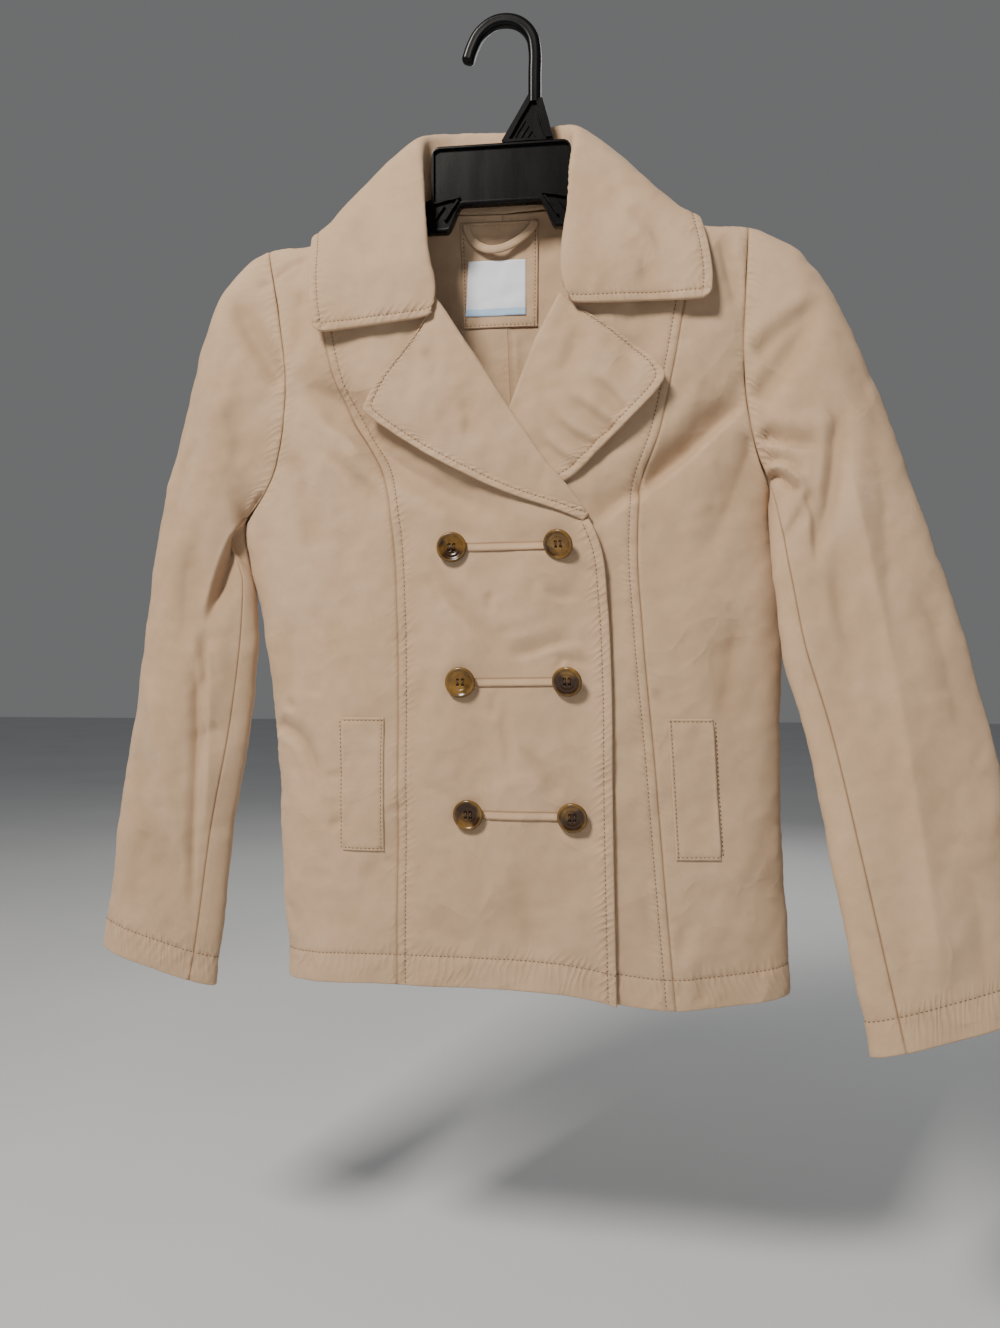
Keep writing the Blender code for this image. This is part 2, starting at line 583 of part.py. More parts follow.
def body_panels(look):
    """Two side fronts, two centre fronts and two backs."""
    fronts = (
        (-1, "front_right", PRINCESS_RIGHT, NECK_RIGHT + ROLL_RIGHT + EDGE_RIGHT, right_level),
        (1, "front_left", PRINCESS_LEFT, NECK_LEFT + ROLL_LEFT + EDGE_LEFT, None),
    )
    side_steps = np.linspace(0, 1, SIDE_PANEL_COLUMNS + 1)
    center_steps = np.linspace(0, 1, CENTER_PANEL_COLUMNS + 1)
    for side, name, princess, inner_run, level in fronts:
        outer, steps = outer_edge(side, FRONT)
        seam = chart_of(along(princess, steps))
        seam[0, 1] = 0.0
        hole_x = body(outer[0, 0], outer[0, 1], FRONT)[0]
        top = shoulder_edge(hole_x, princess[0].x, side_steps)
        side_x = body(outer[-1, 0], outer[-1, 1], FRONT)[0]
        bottom = hem_edge(side_x, princess[-1].x, side_steps)
        top[0], top[-1], bottom[0], bottom[-1] = outer[0], seam[0], outer[-1], seam[-1]
        grid = coons(top, bottom, outer, seam, side_steps, steps)
        panel(name + "_side", grid, FRONT, None, look)
        inner = chart_of(along(inner_run, steps))
        inner[0, 1] = 0.0
        top = shoulder_edge(princess[0].x, inner_run[0].x, center_steps)
        bottom = hem_edge(princess[-1].x, inner_run[-1].x, center_steps)
        top[0], top[-1], bottom[0], bottom[-1] = seam[0], inner[0], seam[-1], inner[-1]
        grid = coons(top, bottom, seam, inner, center_steps, steps)
        panel(name + "_center", grid, FRONT, level, look)
    for side, name, princess, neck in ((-1, "back_right", PRINCESS_RIGHT, NECK_BACK[:4]),
                                       (1, "back_left", PRINCESS_LEFT, NECK_BACK[:2:-1])):
        outer, steps = outer_edge(side, BACK)
        hole_x = body(outer[0, 0], outer[0, 1], BACK)[0]
        shoulder = np.concatenate([shoulder_edge(hole_x, princess[0].x, side_steps),
                                   shoulder_edge(princess[0].x, neck[0].x, center_steps)[1:]])
        neck_steps = np.linspace(0, 1, NECK_COLUMNS + 1)[1:]
        top = np.concatenate([shoulder, chart_of(along(neck, neck_steps))])
        columns = arc_steps(body(top[:, 0], top[:, 1], BACK)[:, [0, 2]])
        middle_x = CENTER_BACK_X + (CENTER_BACK_HEM_X - CENTER_BACK_X) * steps
        middle_z = neck[-1].z + (HEM[2].z - 1.0 - neck[-1].z) * steps
        middle = chart_of(np.stack([middle_x, middle_z], 1))
        side_x = body(outer[-1, 0], outer[-1, 1], BACK)[0]
        bottom = hem_edge(side_x, CENTER_BACK_HEM_X, columns)
        top[0], top[-1], bottom[0], bottom[-1] = outer[0], middle[0], outer[-1], middle[-1]
        grid = coons(top, bottom, outer, middle, columns, steps)
        panel(name, grid, BACK, None, look)


# ---------------------------------------------------------------- sleeves

def sleeve_place(table, holes, turn, row):
    """Points on a sleeve's outer face.

    turn runs from 0 at the outer fold to -2 at the underarm over the front, and to +2 over
    the back; row counts the table's rows from the armhole (0) to the cuff.
    """
    keys = np.arange(len(table))
    turn = (turn + 2) % 4 - 2
    read = {name: through(keys, column(table, name), row) for name in Sleeve._fields}
    e = np.sin(np.pi / 2 * (np.abs(turn) - 1))
    share = (e + 1) / 2
    bulge = read["depth"] * np.sqrt(np.clip(1 - np.abs(e) ** SLEEVE_POWER, 0, 1))
    x = read["outer_x"] + (read["inner_x"] - read["outer_x"]) * share
    z = read["outer_z"] + (read["inner_z"] - read["outer_z"]) * share
    y = read["outer_y"] + (read["inner_y"] - read["outer_y"]) * share + np.sign(turn) * bulge
    fade = np.clip(1 - row / SLEEVE_FADE_ROWS, 0, 1) ** 2
    first = table[0]
    for face, points in holes.items():
        rim = along(points, share.ravel())
        place = body(*chart(rim[:, 0], rim[:, 1]), face).reshape(share.shape + (3,))
        flat_x = first.outer_x + (first.inner_x - first.outer_x) * share
        flat_z = first.outer_z + (first.inner_z - first.outer_z) * share
        flat_y = face * first.depth * np.sqrt(np.clip(1 - np.abs(e) ** SLEEVE_POWER, 0, 1))
        here = (np.sign(turn) == face) * fade
        x = x + (place[..., 0] - flat_x) * here
        y = y + (place[..., 1] - flat_y) * here
        z = z + (place[..., 2] - flat_z) * here
    return np.stack([x, y, z], -1)


def sleeve_piece(name, table, holes, turns, rows, side, look):
    """One piece of a sleeve from its grid of turns and rows."""
    turn, row = turns, np.broadcast_to(rows[:, None], turns.shape)
    place = sleeve_place(table, holes, turn, row)
    near = np.maximum(row - ROW_STEP, 0)
    far = np.minimum(row + ROW_STEP, len(table) - 1)
    along_cloth = sleeve_place(table, holes, turn, far) - sleeve_place(table, holes, turn, near)
    around = (sleeve_place(table, holes, turn + TURN_STEP, row)
              - sleeve_place(table, holes, turn - TURN_STEP, row))
    normal = unit(np.cross(along_cloth, around)) * side
    outer = inset(inset(place), ARMHOLE_INSET, "t")
    inner = inset(inset(place - normal * CLOTH), ARMHOLE_INSET, "t")
    wall(name, outer, inner, look)


def sleeves(look):
    """Upper and under sleeve of each arm."""
    sides = (
        (-1, "sleeve_right", SLEEVE_RIGHT, {FRONT: ARMHOLE_RIGHT_FRONT, BACK: ARMHOLE_RIGHT_BACK}),
        (1, "sleeve_left", SLEEVE_LEFT, {FRONT: ARMHOLE_LEFT_FRONT, BACK: ARMHOLE_LEFT_BACK}),
    )
    rows = np.array(SLEEVE_ROWS_BETWEEN, float)
    share = (rows / rows[-1])[:, None]
    front_seam = -(FRONT_SEAM_TOP + (FRONT_SEAM_CUFF - FRONT_SEAM_TOP) * share)
    back_seam = BACK_SEAM_TOP + (BACK_SEAM_CUFF - BACK_SEAM_TOP) * share
    for side, name, table, holes in sides:
        to_fold = np.linspace(1, 0, ARMHOLE_FRONT_STEPS + 1)[None, :]
        to_seam = np.linspace(0, 1, ARMHOLE_FRONT_STEPS + 1)[None, 1:]
        upper = np.concatenate([front_seam * to_fold, back_seam * to_seam], 1)
        sleeve_piece(name + "_upper", table, holes, upper, rows, side, look)
        to_under = np.linspace(0, 1, ARMHOLE_UNDER_STEPS + 1)[None, :]
        under = np.concatenate([back_seam + (2 - back_seam) * to_under,
                                (-2 + (front_seam + 2) * to_under)[:, 1:]], 1)
        sleeve_piece(name + "_under", table, holes, under, rows, side, look)


# ---------------------------------------------------------------- collar and lapels

def cubic(start, first, second, end, s):
    """Point at s of a cubic Bezier curve."""
    return (start * (1 - s) ** 3 + first * 3 * s * (1 - s) ** 2 + second * 3 * s * s * (1 - s)
            + end * s ** 3)


def collar(look):
    """One-piece collar: up the stand, over the roll and down the fall."""
    keys = np.arange(len(COLLAR), dtype=float)
    at = np.linspace(0, keys[-1], COLLAR_ROWS + 1)
    read = {name: through(keys, column(COLLAR, name), at) for name in Collar._fields}
    seam, roll, edge = (np.stack([read[part + "_" + axis] for axis in "xyz"], 1)
                        for part in ("seam", "roll", "edge"))
    rise, fall = unit(roll - seam), unit(edge - roll)
    turn = unit(rise + fall)
    stand = np.linalg.norm(roll - seam, axis=1)
    handle = np.minimum(COLLAR_ROLL_HANDLE, COLLAR_HANDLE_SHARE * stand)[:, None]
    out = unit(np.cross(fall, np.gradient(roll, axis=0)))
    out = out * np.where(np.einsum("ij,ij->i", out, turn) < 0, -1, 1)[:, None]
    bulge = COLLAR_BULGE * np.sqrt(np.sin(np.pi * np.linspace(0, 1, len(at))))[:, None]
    middle = (roll + edge) / 2 + out * bulge + (edge - roll) * COLLAR_BULGE_SHIFT
    strip = []
    for step in COLLAR_STEPS:
        if step <= 1:
            strip.append(cubic(seam, seam + rise * handle, roll - turn * handle, roll, step))
        else:
            strip.append(cubic(roll, roll + turn * handle, middle, edge, step - 1))
    place = np.stack(strip, 1)
    normal = unit(np.cross(np.gradient(place, axis=0), np.gradient(place, axis=1)))
    wall("collar", place, place + normal * COLLAR_CLOTH, look)


def lapel(name, table, level, look):
    """A facing that wraps the front's roll edge and lies turned out on the front."""
    roll = np.stack([column(table, "roll_x"), column(table, "roll_z")], 1)
    edge = np.stack([column(table, "edge_x"), column(table, "edge_z")], 1)
    lift = column(table, "lift")
    run = np.gradient(roll, axis=0)
    out = unit(np.stack([-run[:, 1], run[:, 0]], 1))
    out = out * np.where((out * (edge - roll)).sum(1) < 0, -1, 1)[:, None]
    radius = LAPEL_ROLL_RADIUS
    middle = np.full(len(table), -CLOTH / 2)
    strip = [(roll + out * reach, middle - radius) for reach in (LAPEL_TUCK, radius + LAPEL_PAST_ROLL)]
    for degrees in LAPEL_ROLL_DEGREES:
        angle = math.radians(degrees)
        place = roll + out * (radius * (1 - math.cos(angle)))
        strip.append((place, middle + radius * math.sin(angle)))
    start = roll + out * (radius + LAPEL_PAST_ROLL)
    for share in LAPEL_SHARES:
        strip.append((start + (edge - start) * share, middle + radius + lift * share ** LAPEL_LIFT_POWER))
    place = np.stack([s[0] for s in strip], 1)
    x, z = place[..., 0], place[..., 1]
    height = np.stack([s[1] for s in strip], 1) + level(x, z)
    center = on_body(x, z, FRONT, height)
    normal = unit(np.cross(np.gradient(center, axis=0), np.gradient(center, axis=1)))
    wall(name, center + normal * CLOTH / 2, center - normal * CLOTH / 2, look)


# ---------------------------------------------------------------- pieces on the panels

def plate(name, corners, columns, rows, face, low, high, look):
    """A flat piece on the body between four (x, z) corners, from level low to level high."""
    u = np.linspace(0, 1, columns + 1)[None, :]
    v = np.linspace(0, 1, rows + 1)[:, None]
    (ax, az), (bx, bz), (cx, cz), (dx, dz) = corners
    x = (ax * (1 - u) + bx * u) * (1 - v) + (dx * (1 - u) + cx * u) * v
    z = (az * (1 - u) + bz * u) * (1 - v) + (dz * (1 - u) + cz * u) * v
    base = np.zeros(x.shape)
    low_level = low(x, z) if callable(low) else base + low
    high_level = high(x, z) if callable(high) else base + high
    return wall(name, on_body(x, z, face, high_level), on_body(x, z, face, low_level), look)


def welts(look):
    """Pocket welts on the side fronts."""
    for welt in WELTS:
        half = welt.width / 2
        corners = ((welt.x_top - half, welt.z_top), (welt.x_top + half, welt.z_top),
                   (welt.x_foot + half, welt.z_foot), (welt.x_foot - half, welt.z_foot))
        plate(welt.name, corners, 2, 4, FRONT, LAYER_GAP, LAYER_GAP + CLOTH, look)


def bands(look):
    """Narrow stitched tucks that run between the buttons of each row."""
    for row in BUTTON_ROWS:
        half = BAND_HEIGHT / 2
        start, end = row.x_right, row.x_left + BAND_PAST_BUTTON
        corners = ((start, row.z_right + half), (end, row.z_left + half),
                   (end, row.z_left - half), (start, row.z_right - half))
        plate("band_" + row.name, corners, 8, 1, FRONT,
              lambda x, z: right_level(x, z) + LAYER_GAP,
              lambda x, z: right_level(x, z) + LAYER_GAP + BAND_THICK, look)


def back_neck(look, bare):
    """Patch, bare label and hanging loop inside the back neck."""
    patch_top = -CLOTH - 2 * LAYER_GAP
    plate("back_neck_patch", PATCH_CORNERS, 4, 4, BACK, patch_top - PATCH_THICK, patch_top, look)
    label_top = patch_top - PATCH_THICK - LAYER_GAP
    plate("neck_label", LABEL_CORNERS, 3, 3, BACK, label_top - LABEL_THICK, label_top, bare)
    at = np.linspace(0, 1, 13)
    x = LOOP_START_X + LOOP_SPAN * at
    z = LOOP_TOP_Z - LOOP_SAG * np.sin(np.pi * at ** LOOP_LEAN) ** LOOP_ROUND
    level = label_top - 0.5 - LOOP_STAND_OFF * np.sin(np.pi * at) ** 2
    slope = unit(np.stack([np.gradient(x), np.gradient(z)], 1))
    side = np.stack([-slope[:, 1], slope[:, 0]], 1) * LOOP_HALF_WIDTH
    x = np.stack([x - side[:, 0], x + side[:, 0]], 1)
    z = np.stack([z - side[:, 1], z + side[:, 1]], 1)
    level = np.stack([level, level], 1)
    wall("hanger_loop", on_body(x, z, BACK, level), on_body(x, z, BACK, level - LOOP_THICK), look)


def lathe(profile, sides):
    """Closed turned shape about Z from a profile that starts and ends on the axis."""
    points = [(0.0, 0.0, profile[0].height)]
    for radius, height in profile[1:-1]:
        for step in range(sides):
            angle = 2 * math.pi * step / sides
            points.append((radius * math.cos(angle), radius * math.sin(angle), height))
    points.append((0.0, 0.0, profile[-1].height))
    rings = len(profile) - 2
    faces = []
    for step in range(sides):
        after = (step + 1) % sides
        faces.append((0, 1 + after, 1 + step))
        for ring in range(rings - 1):
            a, b = 1 + ring * sides + step, 1 + ring * sides + after
            faces += [(a, b, b + sides), (a, b + sides, a + sides)]
        last = 1 + (rings - 1) * sides
        faces.append((last + step, last + after, len(points) - 1))
    return np.array(points), faces


def placed(points, origin, normal):
    """Points of a shape about Z, turned so that Z is the normal, at the origin."""
    across = unit(np.cross((0.0, 0.0, 1.0), normal))
    upward = np.cross(normal, across)
    return origin + points[:, :1] * across + points[:, 1:2] * upward + points[:, 2:] * normal


def button(name, x, z, tilt, look):
    """A rimmed button with four holes, drooping on its thread."""
    angle = math.radians(tilt)
    base_radius = BUTTON_PROFILE[1].radius
    band_top = right_level(np.array([x]), np.array([z])) + LAYER_GAP + BAND_THICK
    height = band_top + max(BUTTON_STAND, 0.8 * base_radius * math.sin(angle) + 0.2)
    origin = on_body(np.array([x]), np.array([z]), FRONT, height)[0]
    flat = body_normal(*chart(np.array([x]), np.array([z])), FRONT)[0]
    lean = np.array([DROOP_SIDEWAYS, 0.0, DROOP_DOWN]) * math.sin(angle)
    normal = unit(flat * math.cos(angle) + lean)
    points, faces = lathe(BUTTON_PROFILE, BUTTON_SIDES)
    body_object = add_mesh(name, placed(points, origin, normal), faces, look)
    hole = (Profile(0, -1.0), Profile(BUTTON_HOLE_RADIUS, -1.0), Profile(BUTTON_HOLE_RADIUS, 4.5),
            Profile(0, 4.5))
    for number, (side, up) in enumerate(((-1, -1), (-1, 1), (1, -1), (1, 1))):
        points, faces = lathe(hole, BUTTON_HOLE_SIDES)
        points = points + np.array([side, up, 0.0]) * BUTTON_HOLE_PITCH
        cutter = add_mesh(f"{name}_hole_{number}", placed(points, origin, normal), faces, look)
        cutter.hide_render = True
        cutter.display_type = "WIRE"
        cut = body_object.modifiers.new(f"Hole {number}", "BOOLEAN")
        cut.operation = "DIFFERENCE"
        cut.object = cutter


def buttons(look):
    """Two columns of three buttons."""
    for row in BUTTON_ROWS:
        button("button_right_" + row.name, row.x_right, row.z_right, row.tilt_right, look)
        button("button_left_" + row.name, row.x_left, row.z_left, row.tilt_left, look)


# ---------------------------------------------------------------- hanger

def loft(name, sections, look):
    """A closed solid through rings of points, capped at both ends."""
    rings = np.array(sections, float)
    count, around = rings.shape[:2]
    index = np.arange(count * around).reshape(count, around)
    faces = []
    for ring in range(count - 1):
        for step in range(around):
            after = (step + 1) % around
            a, b = index[ring, step], index[ring, after]
            c, d = index[ring + 1, after], index[ring + 1, step]
            faces += [(a, b, c), (a, c, d)]
    faces += [(index[0, 0], index[0, k + 1], index[0, k]) for k in range(1, around - 1)]
    faces += [(index[-1, 0], index[-1, k], index[-1, k + 1]) for k in range(1, around - 1)]
    return add_mesh(name, rings.reshape(-1, 3), faces, look)


def hook(look):
    """Hook, shank and the gusset that widens to the bar."""
    around = np.linspace(0, 2 * np.pi, ROD_SIDES + 1)[:-1]
    line = along(HOOK, np.linspace(0, 1, HOOK_STEPS + 1))
    sections = []
    for row in GUSSET:
        middle, reach = (row.x_low + row.x_high) / 2, (row.x_high - row.x_low) / 2
        sections.append(np.stack([middle - reach * np.cos(around), -row.half * np.sin(around),
                                  np.full(ROD_SIDES, row.z)], 1))
    for (x, z), (dx, dz) in zip(line, unit(np.gradient(line, axis=0))):
        round_line = (np.outer(np.cos(around), (-dz, 0.0, dx))
                      + np.outer(np.sin(around), (0.0, -1.0, 0.0)))
        sections.append(np.array([x, 0.0, z]) + ROD_RADIUS * round_line)
    loft("hanger_hook", sections, look)


def hanger_section(x):
    """Top, foot and half thickness of the hanger's body at x."""
    reach = abs(x - BAR_MIDDLE_X)
    if reach <= BAR_HALF_WIDTH:
        into = max((reach - BAR_HALF_WIDTH + BAR_CORNER) / BAR_CORNER, 0.0)
        top = BAR_TOP_Z - BAR_CORNER * (1 - math.sqrt(1 - into ** 2))
        foot = BAR_FOOT_Z - RIB_DROP * smoothstep(RIB_START, RIB_END, reach)
    else:
        shoulder = through(column(SHOULDER, "reach"), column(SHOULDER, "z"), abs(x))
        top = shoulder - CLOTH - ARM_GAP
        foot = BAR_FOOT_Z - RIB_DROP - ARM_DROP * smoothstep(ARM_START, ARM_END, reach)
    half = BAR_HALF_THICK - ARM_THINNING * smoothstep(ARM_THIN_FROM, ARM_END, reach)
    return top, foot, half


def hanger_body(look):
    """Bar, ribs and the two arms inside the shoulders, moulded in one."""
    reaches = BAR_REACHES + ARM_REACHES
    xs = [BAR_MIDDLE_X + r for r in [-r for r in reversed(reaches)] + [0.0] + list(reaches)]
    sections = []
    for x in xs:
        top, foot, half = hanger_section(x)
        sections.append([(x, 0.0, top), (x, -half * 0.75, top - half * 0.55),
                         (x, -half, top - RIM_HEIGHT), (x, -half, foot + RIM_FOOT),
                         (x, -half * 0.6, foot), (x, half * 0.6, foot), (x, half, foot + RIM_FOOT),
                         (x, half, top - RIM_HEIGHT), (x, half * 0.75, top - half * 0.55)])
    loft("hanger_body", sections, look)


def main():
    for thing in list(bpy.data.objects):
        bpy.data.objects.remove(thing, do_unlink=True)
    twill = material("twill", KHAKI, 0.9)
    bare = material("label", WHITE, 0.75)
    horn = material("button_horn", HORN, 0.25)
    plastic = material("hanger_plastic", BLACK, 0.35)
    body_panels(twill)
    sleeves(twill)
    collar(twill)
    lapel("lapel_right", LAPEL_RIGHT, right_level, twill)
    lapel("lapel_left", LAPEL_LEFT, lambda x, z: np.zeros_like(x), twill)
    welts(twill)
    bands(twill)
    back_neck(twill, bare)
    buttons(horn)
    hook(plastic)
    hanger_body(plastic)


main()
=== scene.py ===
"""Looks of the pea coat on its moulded hanger.

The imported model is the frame. Every cloth piece is worked out again on the same surfaces as
its solid, on a fine grid, with the creases, seams and stitching that hang in the cloth, and
stands for that solid. Sides are the wearer's: right is at -X, left at +X, the chest faces -Y
and +Z is up. Tables and shapes are in millimetres and become metres when a mesh is made.
"""
import logging
import math
from collections.abc import Callable, Sequence
from dataclasses import dataclass, field, replace
from enum import Enum, IntEnum
from typing import NamedTuple

import bpy
import numpy as np
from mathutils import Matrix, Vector
from numpy.typing import NDArray


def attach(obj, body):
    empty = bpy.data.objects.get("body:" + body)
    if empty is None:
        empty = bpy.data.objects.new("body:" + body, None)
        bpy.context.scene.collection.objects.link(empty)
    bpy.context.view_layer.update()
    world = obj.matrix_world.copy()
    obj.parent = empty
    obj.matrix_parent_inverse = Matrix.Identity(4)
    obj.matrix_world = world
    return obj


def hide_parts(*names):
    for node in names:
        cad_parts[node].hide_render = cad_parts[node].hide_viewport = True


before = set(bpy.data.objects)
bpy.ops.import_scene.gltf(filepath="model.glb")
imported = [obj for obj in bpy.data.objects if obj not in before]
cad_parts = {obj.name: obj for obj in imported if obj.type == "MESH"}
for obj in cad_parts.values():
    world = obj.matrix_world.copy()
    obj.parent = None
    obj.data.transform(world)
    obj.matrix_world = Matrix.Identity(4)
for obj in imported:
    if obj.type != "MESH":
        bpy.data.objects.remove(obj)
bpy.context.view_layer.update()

log = logging.getLogger("pea_coat")

Array = NDArray[np.float64]
Color = tuple[float, float, float, float]
Run = tuple[tuple[float, float], ...]

MM = 0.001


class Face(IntEnum):
    """Which face of the coat a surface lies on, as the sign of its Y."""
    FRONT = -1
    BACK = 1


class Side(IntEnum):
    """The wearer's side, as the sign of its X."""
    RIGHT = -1
    LEFT = 1


class Edge(IntEnum):
    """An edge of a cloth grid: its first or last row, or its first or last column."""
    TOP = 0
    BOTTOM = 1
    START = 2
    END = 3

    @property
    def upright(self) -> bool:
        """Whether it runs down the grid."""
        return self in (Edge.START, Edge.END)


class Slot(Enum):
    """Material slots of the record."""
    TWILL = "twill"
    LABEL = "label"
    HORN = "button_horn"
    PLASTIC = "hanger_plastic"


# ---------------------------------------------------------------- tables

class Point(NamedTuple):
    """A place on the flat chart of the coat."""
    x: float
    z: float


class Torso(NamedTuple):
    """One height of the body: half its width, its lean and its depth each way."""
    z: float
    half: float
    lean: float
    front: float
    back: float


class Shoulder(NamedTuple):
    """Height of the shoulder line at a reach from the middle."""
    reach: float
    z: float


class SleeveRow(NamedTuple):
    """One height of a sleeve: its outer fold, its underarm fold and its depth."""
    outer_x: float
    outer_z: float
    outer_y: float
    inner_x: float
    inner_z: float
    inner_y: float
    depth: float


class CollarRow(NamedTuple):
    """One place along the collar: its neck seam, its roll and its free edge."""
    seam_x: float
    seam_y: float
    seam_z: float
    roll_x: float
    roll_y: float
    roll_z: float
    edge_x: float
    edge_y: float
    edge_z: float


class LapelRow(NamedTuple):
    """One place along a lapel: its roll, its free edge and how far that stands off."""
    roll_x: float
    roll_z: float
    edge_x: float
    edge_z: float
    lift: float


class ButtonRow(NamedTuple):
    """A pair of buttons and how far each droops."""
    name: str
    x_right: float
    z_right: float
    x_left: float
    z_left: float
    tilt_right: float
    tilt_left: float


TORSO = (
    Torso(-790, 200.0, 25.5, 32, 27), Torso(-764, 200.0, 24.0, 32, 27),
    Torso(-657, 200.0, 18.5, 33, 27), Torso(-553, 201.5, 13.5, 33, 27),
    Torso(-456, 209.4, 6.3, 31, 28), Torso(-430, 211.3, 0.9, 30, 28),
    Torso(-400, 211.1, -2.4, 29, 29), Torso(-373, 208.7, -0.2, 28, 30),
    Torso(-310, 205.0, 0.5, 27, 30), Torso(-200, 205.0, -0.8, 25, 28),
    Torso(-110, 205.0, -0.8, 25, 28),
)
SHOULDER = (
    Shoulder(0, -122.0), Shoulder(40, -127.5), Shoulder(75, -140.0), Shoulder(112, -154.0),
    Shoulder(150, -165.5), Shoulder(193, -169.5), Shoulder(206, -170.0),
)
ARMHOLE = {
    (Side.RIGHT, Face.FRONT): (
        Point(-193.5, -169.5), Point(-182.0, -222.0), Point(-174.8, -281.0),
        Point(-178.5, -328.0), Point(-188.0, -361.0), Point(-212.5, -394.0)),
    (Side.RIGHT, Face.BACK): (
        Point(-193.5, -169.5), Point(-184.0, -222.0), Point(-180.0, -281.0),
        Point(-183.0, -328.0), Point(-190.0, -361.0), Point(-212.5, -394.0)),
    (Side.LEFT, Face.FRONT): (
        Point(191.7, -169.4), Point(188.5, -225.0), Point(187.0, -275.0),
        Point(191.5, -322.0), Point(199.0, -352.0), Point(208.5, -374.0)),
    (Side.LEFT, Face.BACK): (
        Point(191.7, -169.4), Point(186.0, -225.0), Point(184.0, -280.0),
        Point(188.0, -326.0), Point(197.0, -354.0), Point(208.5, -374.0)),
}
PRINCESS = {
    Side.RIGHT: (
        Point(-148.0, -165.0), Point(-146.0, -205.0), Point(-139.5, -255.0),
        Point(-128.0, -298.0), Point(-106.5, -332.5), Point(-92.0, -360.0),
        Point(-84.0, -402.0), Point(-79.5, -470.0), Point(-78.5, -600.0), Point(-79.5, -759.3)),
    Side.LEFT: (
        Point(149.0, -165.0), Point(146.5, -205.0), Point(140.0, -246.0), Point(133.0, -285.0),
        Point(122.5, -333.0), Point(110.0, -370.0), Point(106.5, -415.0), Point(110.0, -480.0),
        Point(119.0, -580.0), Point(128.0, -690.0), Point(135.0, -771.0)),
}
FRONT_EDGE = {
    Side.RIGHT: (
        Point(-75.0, -140.0), Point(-73.5, -165.0), Point(-69.0, -195.0), Point(-58.0, -221.0),
        Point(-41.0, -241.0), Point(-26.0, -262.5), Point(-0.5, -302.5), Point(31.0, -349.0),
        Point(55.3, -378.0), Point(69.3, -397.5),
        Point(78.2, -418.0), Point(84.0, -462.0), Point(87.0, -520.0), Point(88.0, -612.0),
        Point(91.0, -768.0)),
    Side.LEFT: (
        Point(72.0, -139.6), Point(70.5, -165.0), Point(66.5, -195.0), Point(57.0, -221.0),
        Point(43.0, -237.0), Point(32.0, -256.0), Point(21.0, -283.0), Point(11.5, -308.0),
        Point(-2.0, -345.0),
        Point(-26.0, -385.0), Point(-43.0, -430.0), Point(-45.0, -520.0), Point(-43.0, -650.0),
        Point(-41.0, -759.5)),
}
NECK_BACK = (
    Point(-75.0, -140.0), Point(-55.0, -140.2), Point(-30.0, -140.6), Point(-3.0, -140.8),
    Point(28.0, -140.6), Point(52.0, -140.2), Point(72.0, -139.6),
)
HEM = (
    Point(-180.0, -763.0), Point(-79.0, -759.0), Point(0.0, -759.0), Point(48.0, -761.0),
    Point(91.0, -767.5), Point(133.0, -771.0), Point(180.0, -767.0), Point(225.0, -762.0),
)
SLEEVE = {
    Side.RIGHT: (
        SleeveRow(-193.5, -169.5, 0, -212.5, -394.0, 0, 17),
        SleeveRow(-206.0, -175.0, 0, -214.0, -396.5, 0, 18),
        SleeveRow(-219.0, -188.0, 0, -213.8, -400.0, -1, 19),
        SleeveRow(-236.0, -211.0, -1, -213.0, -405.0, -2, 20),
        SleeveRow(-251.0, -248.0, -1, -211.5, -412.0, -3, 20),
        SleeveRow(-261.0, -291.0, -2, -209.0, -423.0, -4, 19),
        SleeveRow(-272.0, -335.0, -3, -205.6, -438.0, -5, 18),
        SleeveRow(-283.0, -375.0, -4, -201.6, -458.0, -6, 16),
        SleeveRow(-295.0, -456.0, -6, -201.8, -505.0, -7, 15),
        SleeveRow(-304.0, -539.0, -8, -209.0, -571.0, -8, 14),
        SleeveRow(-317.0, -622.0, -9, -221.5, -649.0, -9, 14),
        SleeveRow(-329.0, -705.0, -9, -231.5, -734.0, -9, 13),
        SleeveRow(-334.0, -742.0, -9, -235.8, -772.0, -9, 13)),
    Side.LEFT: (
        SleeveRow(191.7, -169.4, 0, 208.5, -374.0, 0, 17),
        SleeveRow(204.0, -174.5, 0, 208.0, -376.5, -1, 18),
        SleeveRow(218.0, -183.0, 0, 207.0, -380.5, -3, 19),
        SleeveRow(235.0, -197.0, -1, 205.8, -386.5, -6, 20),
        SleeveRow(254.0, -225.0, -3, 205.0, -394.0, -10, 20),
        SleeveRow(273.0, -270.0, -7, 204.8, -404.0, -15, 19),
        SleeveRow(289.0, -312.0, -12, 205.5, -420.0, -21, 18),
        SleeveRow(311.0, -385.0, -21, 208.2, -452.0, -28, 16),
        SleeveRow(334.0, -462.0, -33, 213.5, -502.0, -35, 15),
        SleeveRow(351.0, -535.0, -45, 227.5, -563.0, -45, 14),
        SleeveRow(362.0, -612.0, -58, 242.0, -644.0, -60, 14),
        SleeveRow(371.0, -692.0, -74, 256.0, -726.0, -75, 13),
        SleeveRow(376.0, -742.0, -84, 264.5, -779.0, -83, 13)),
}
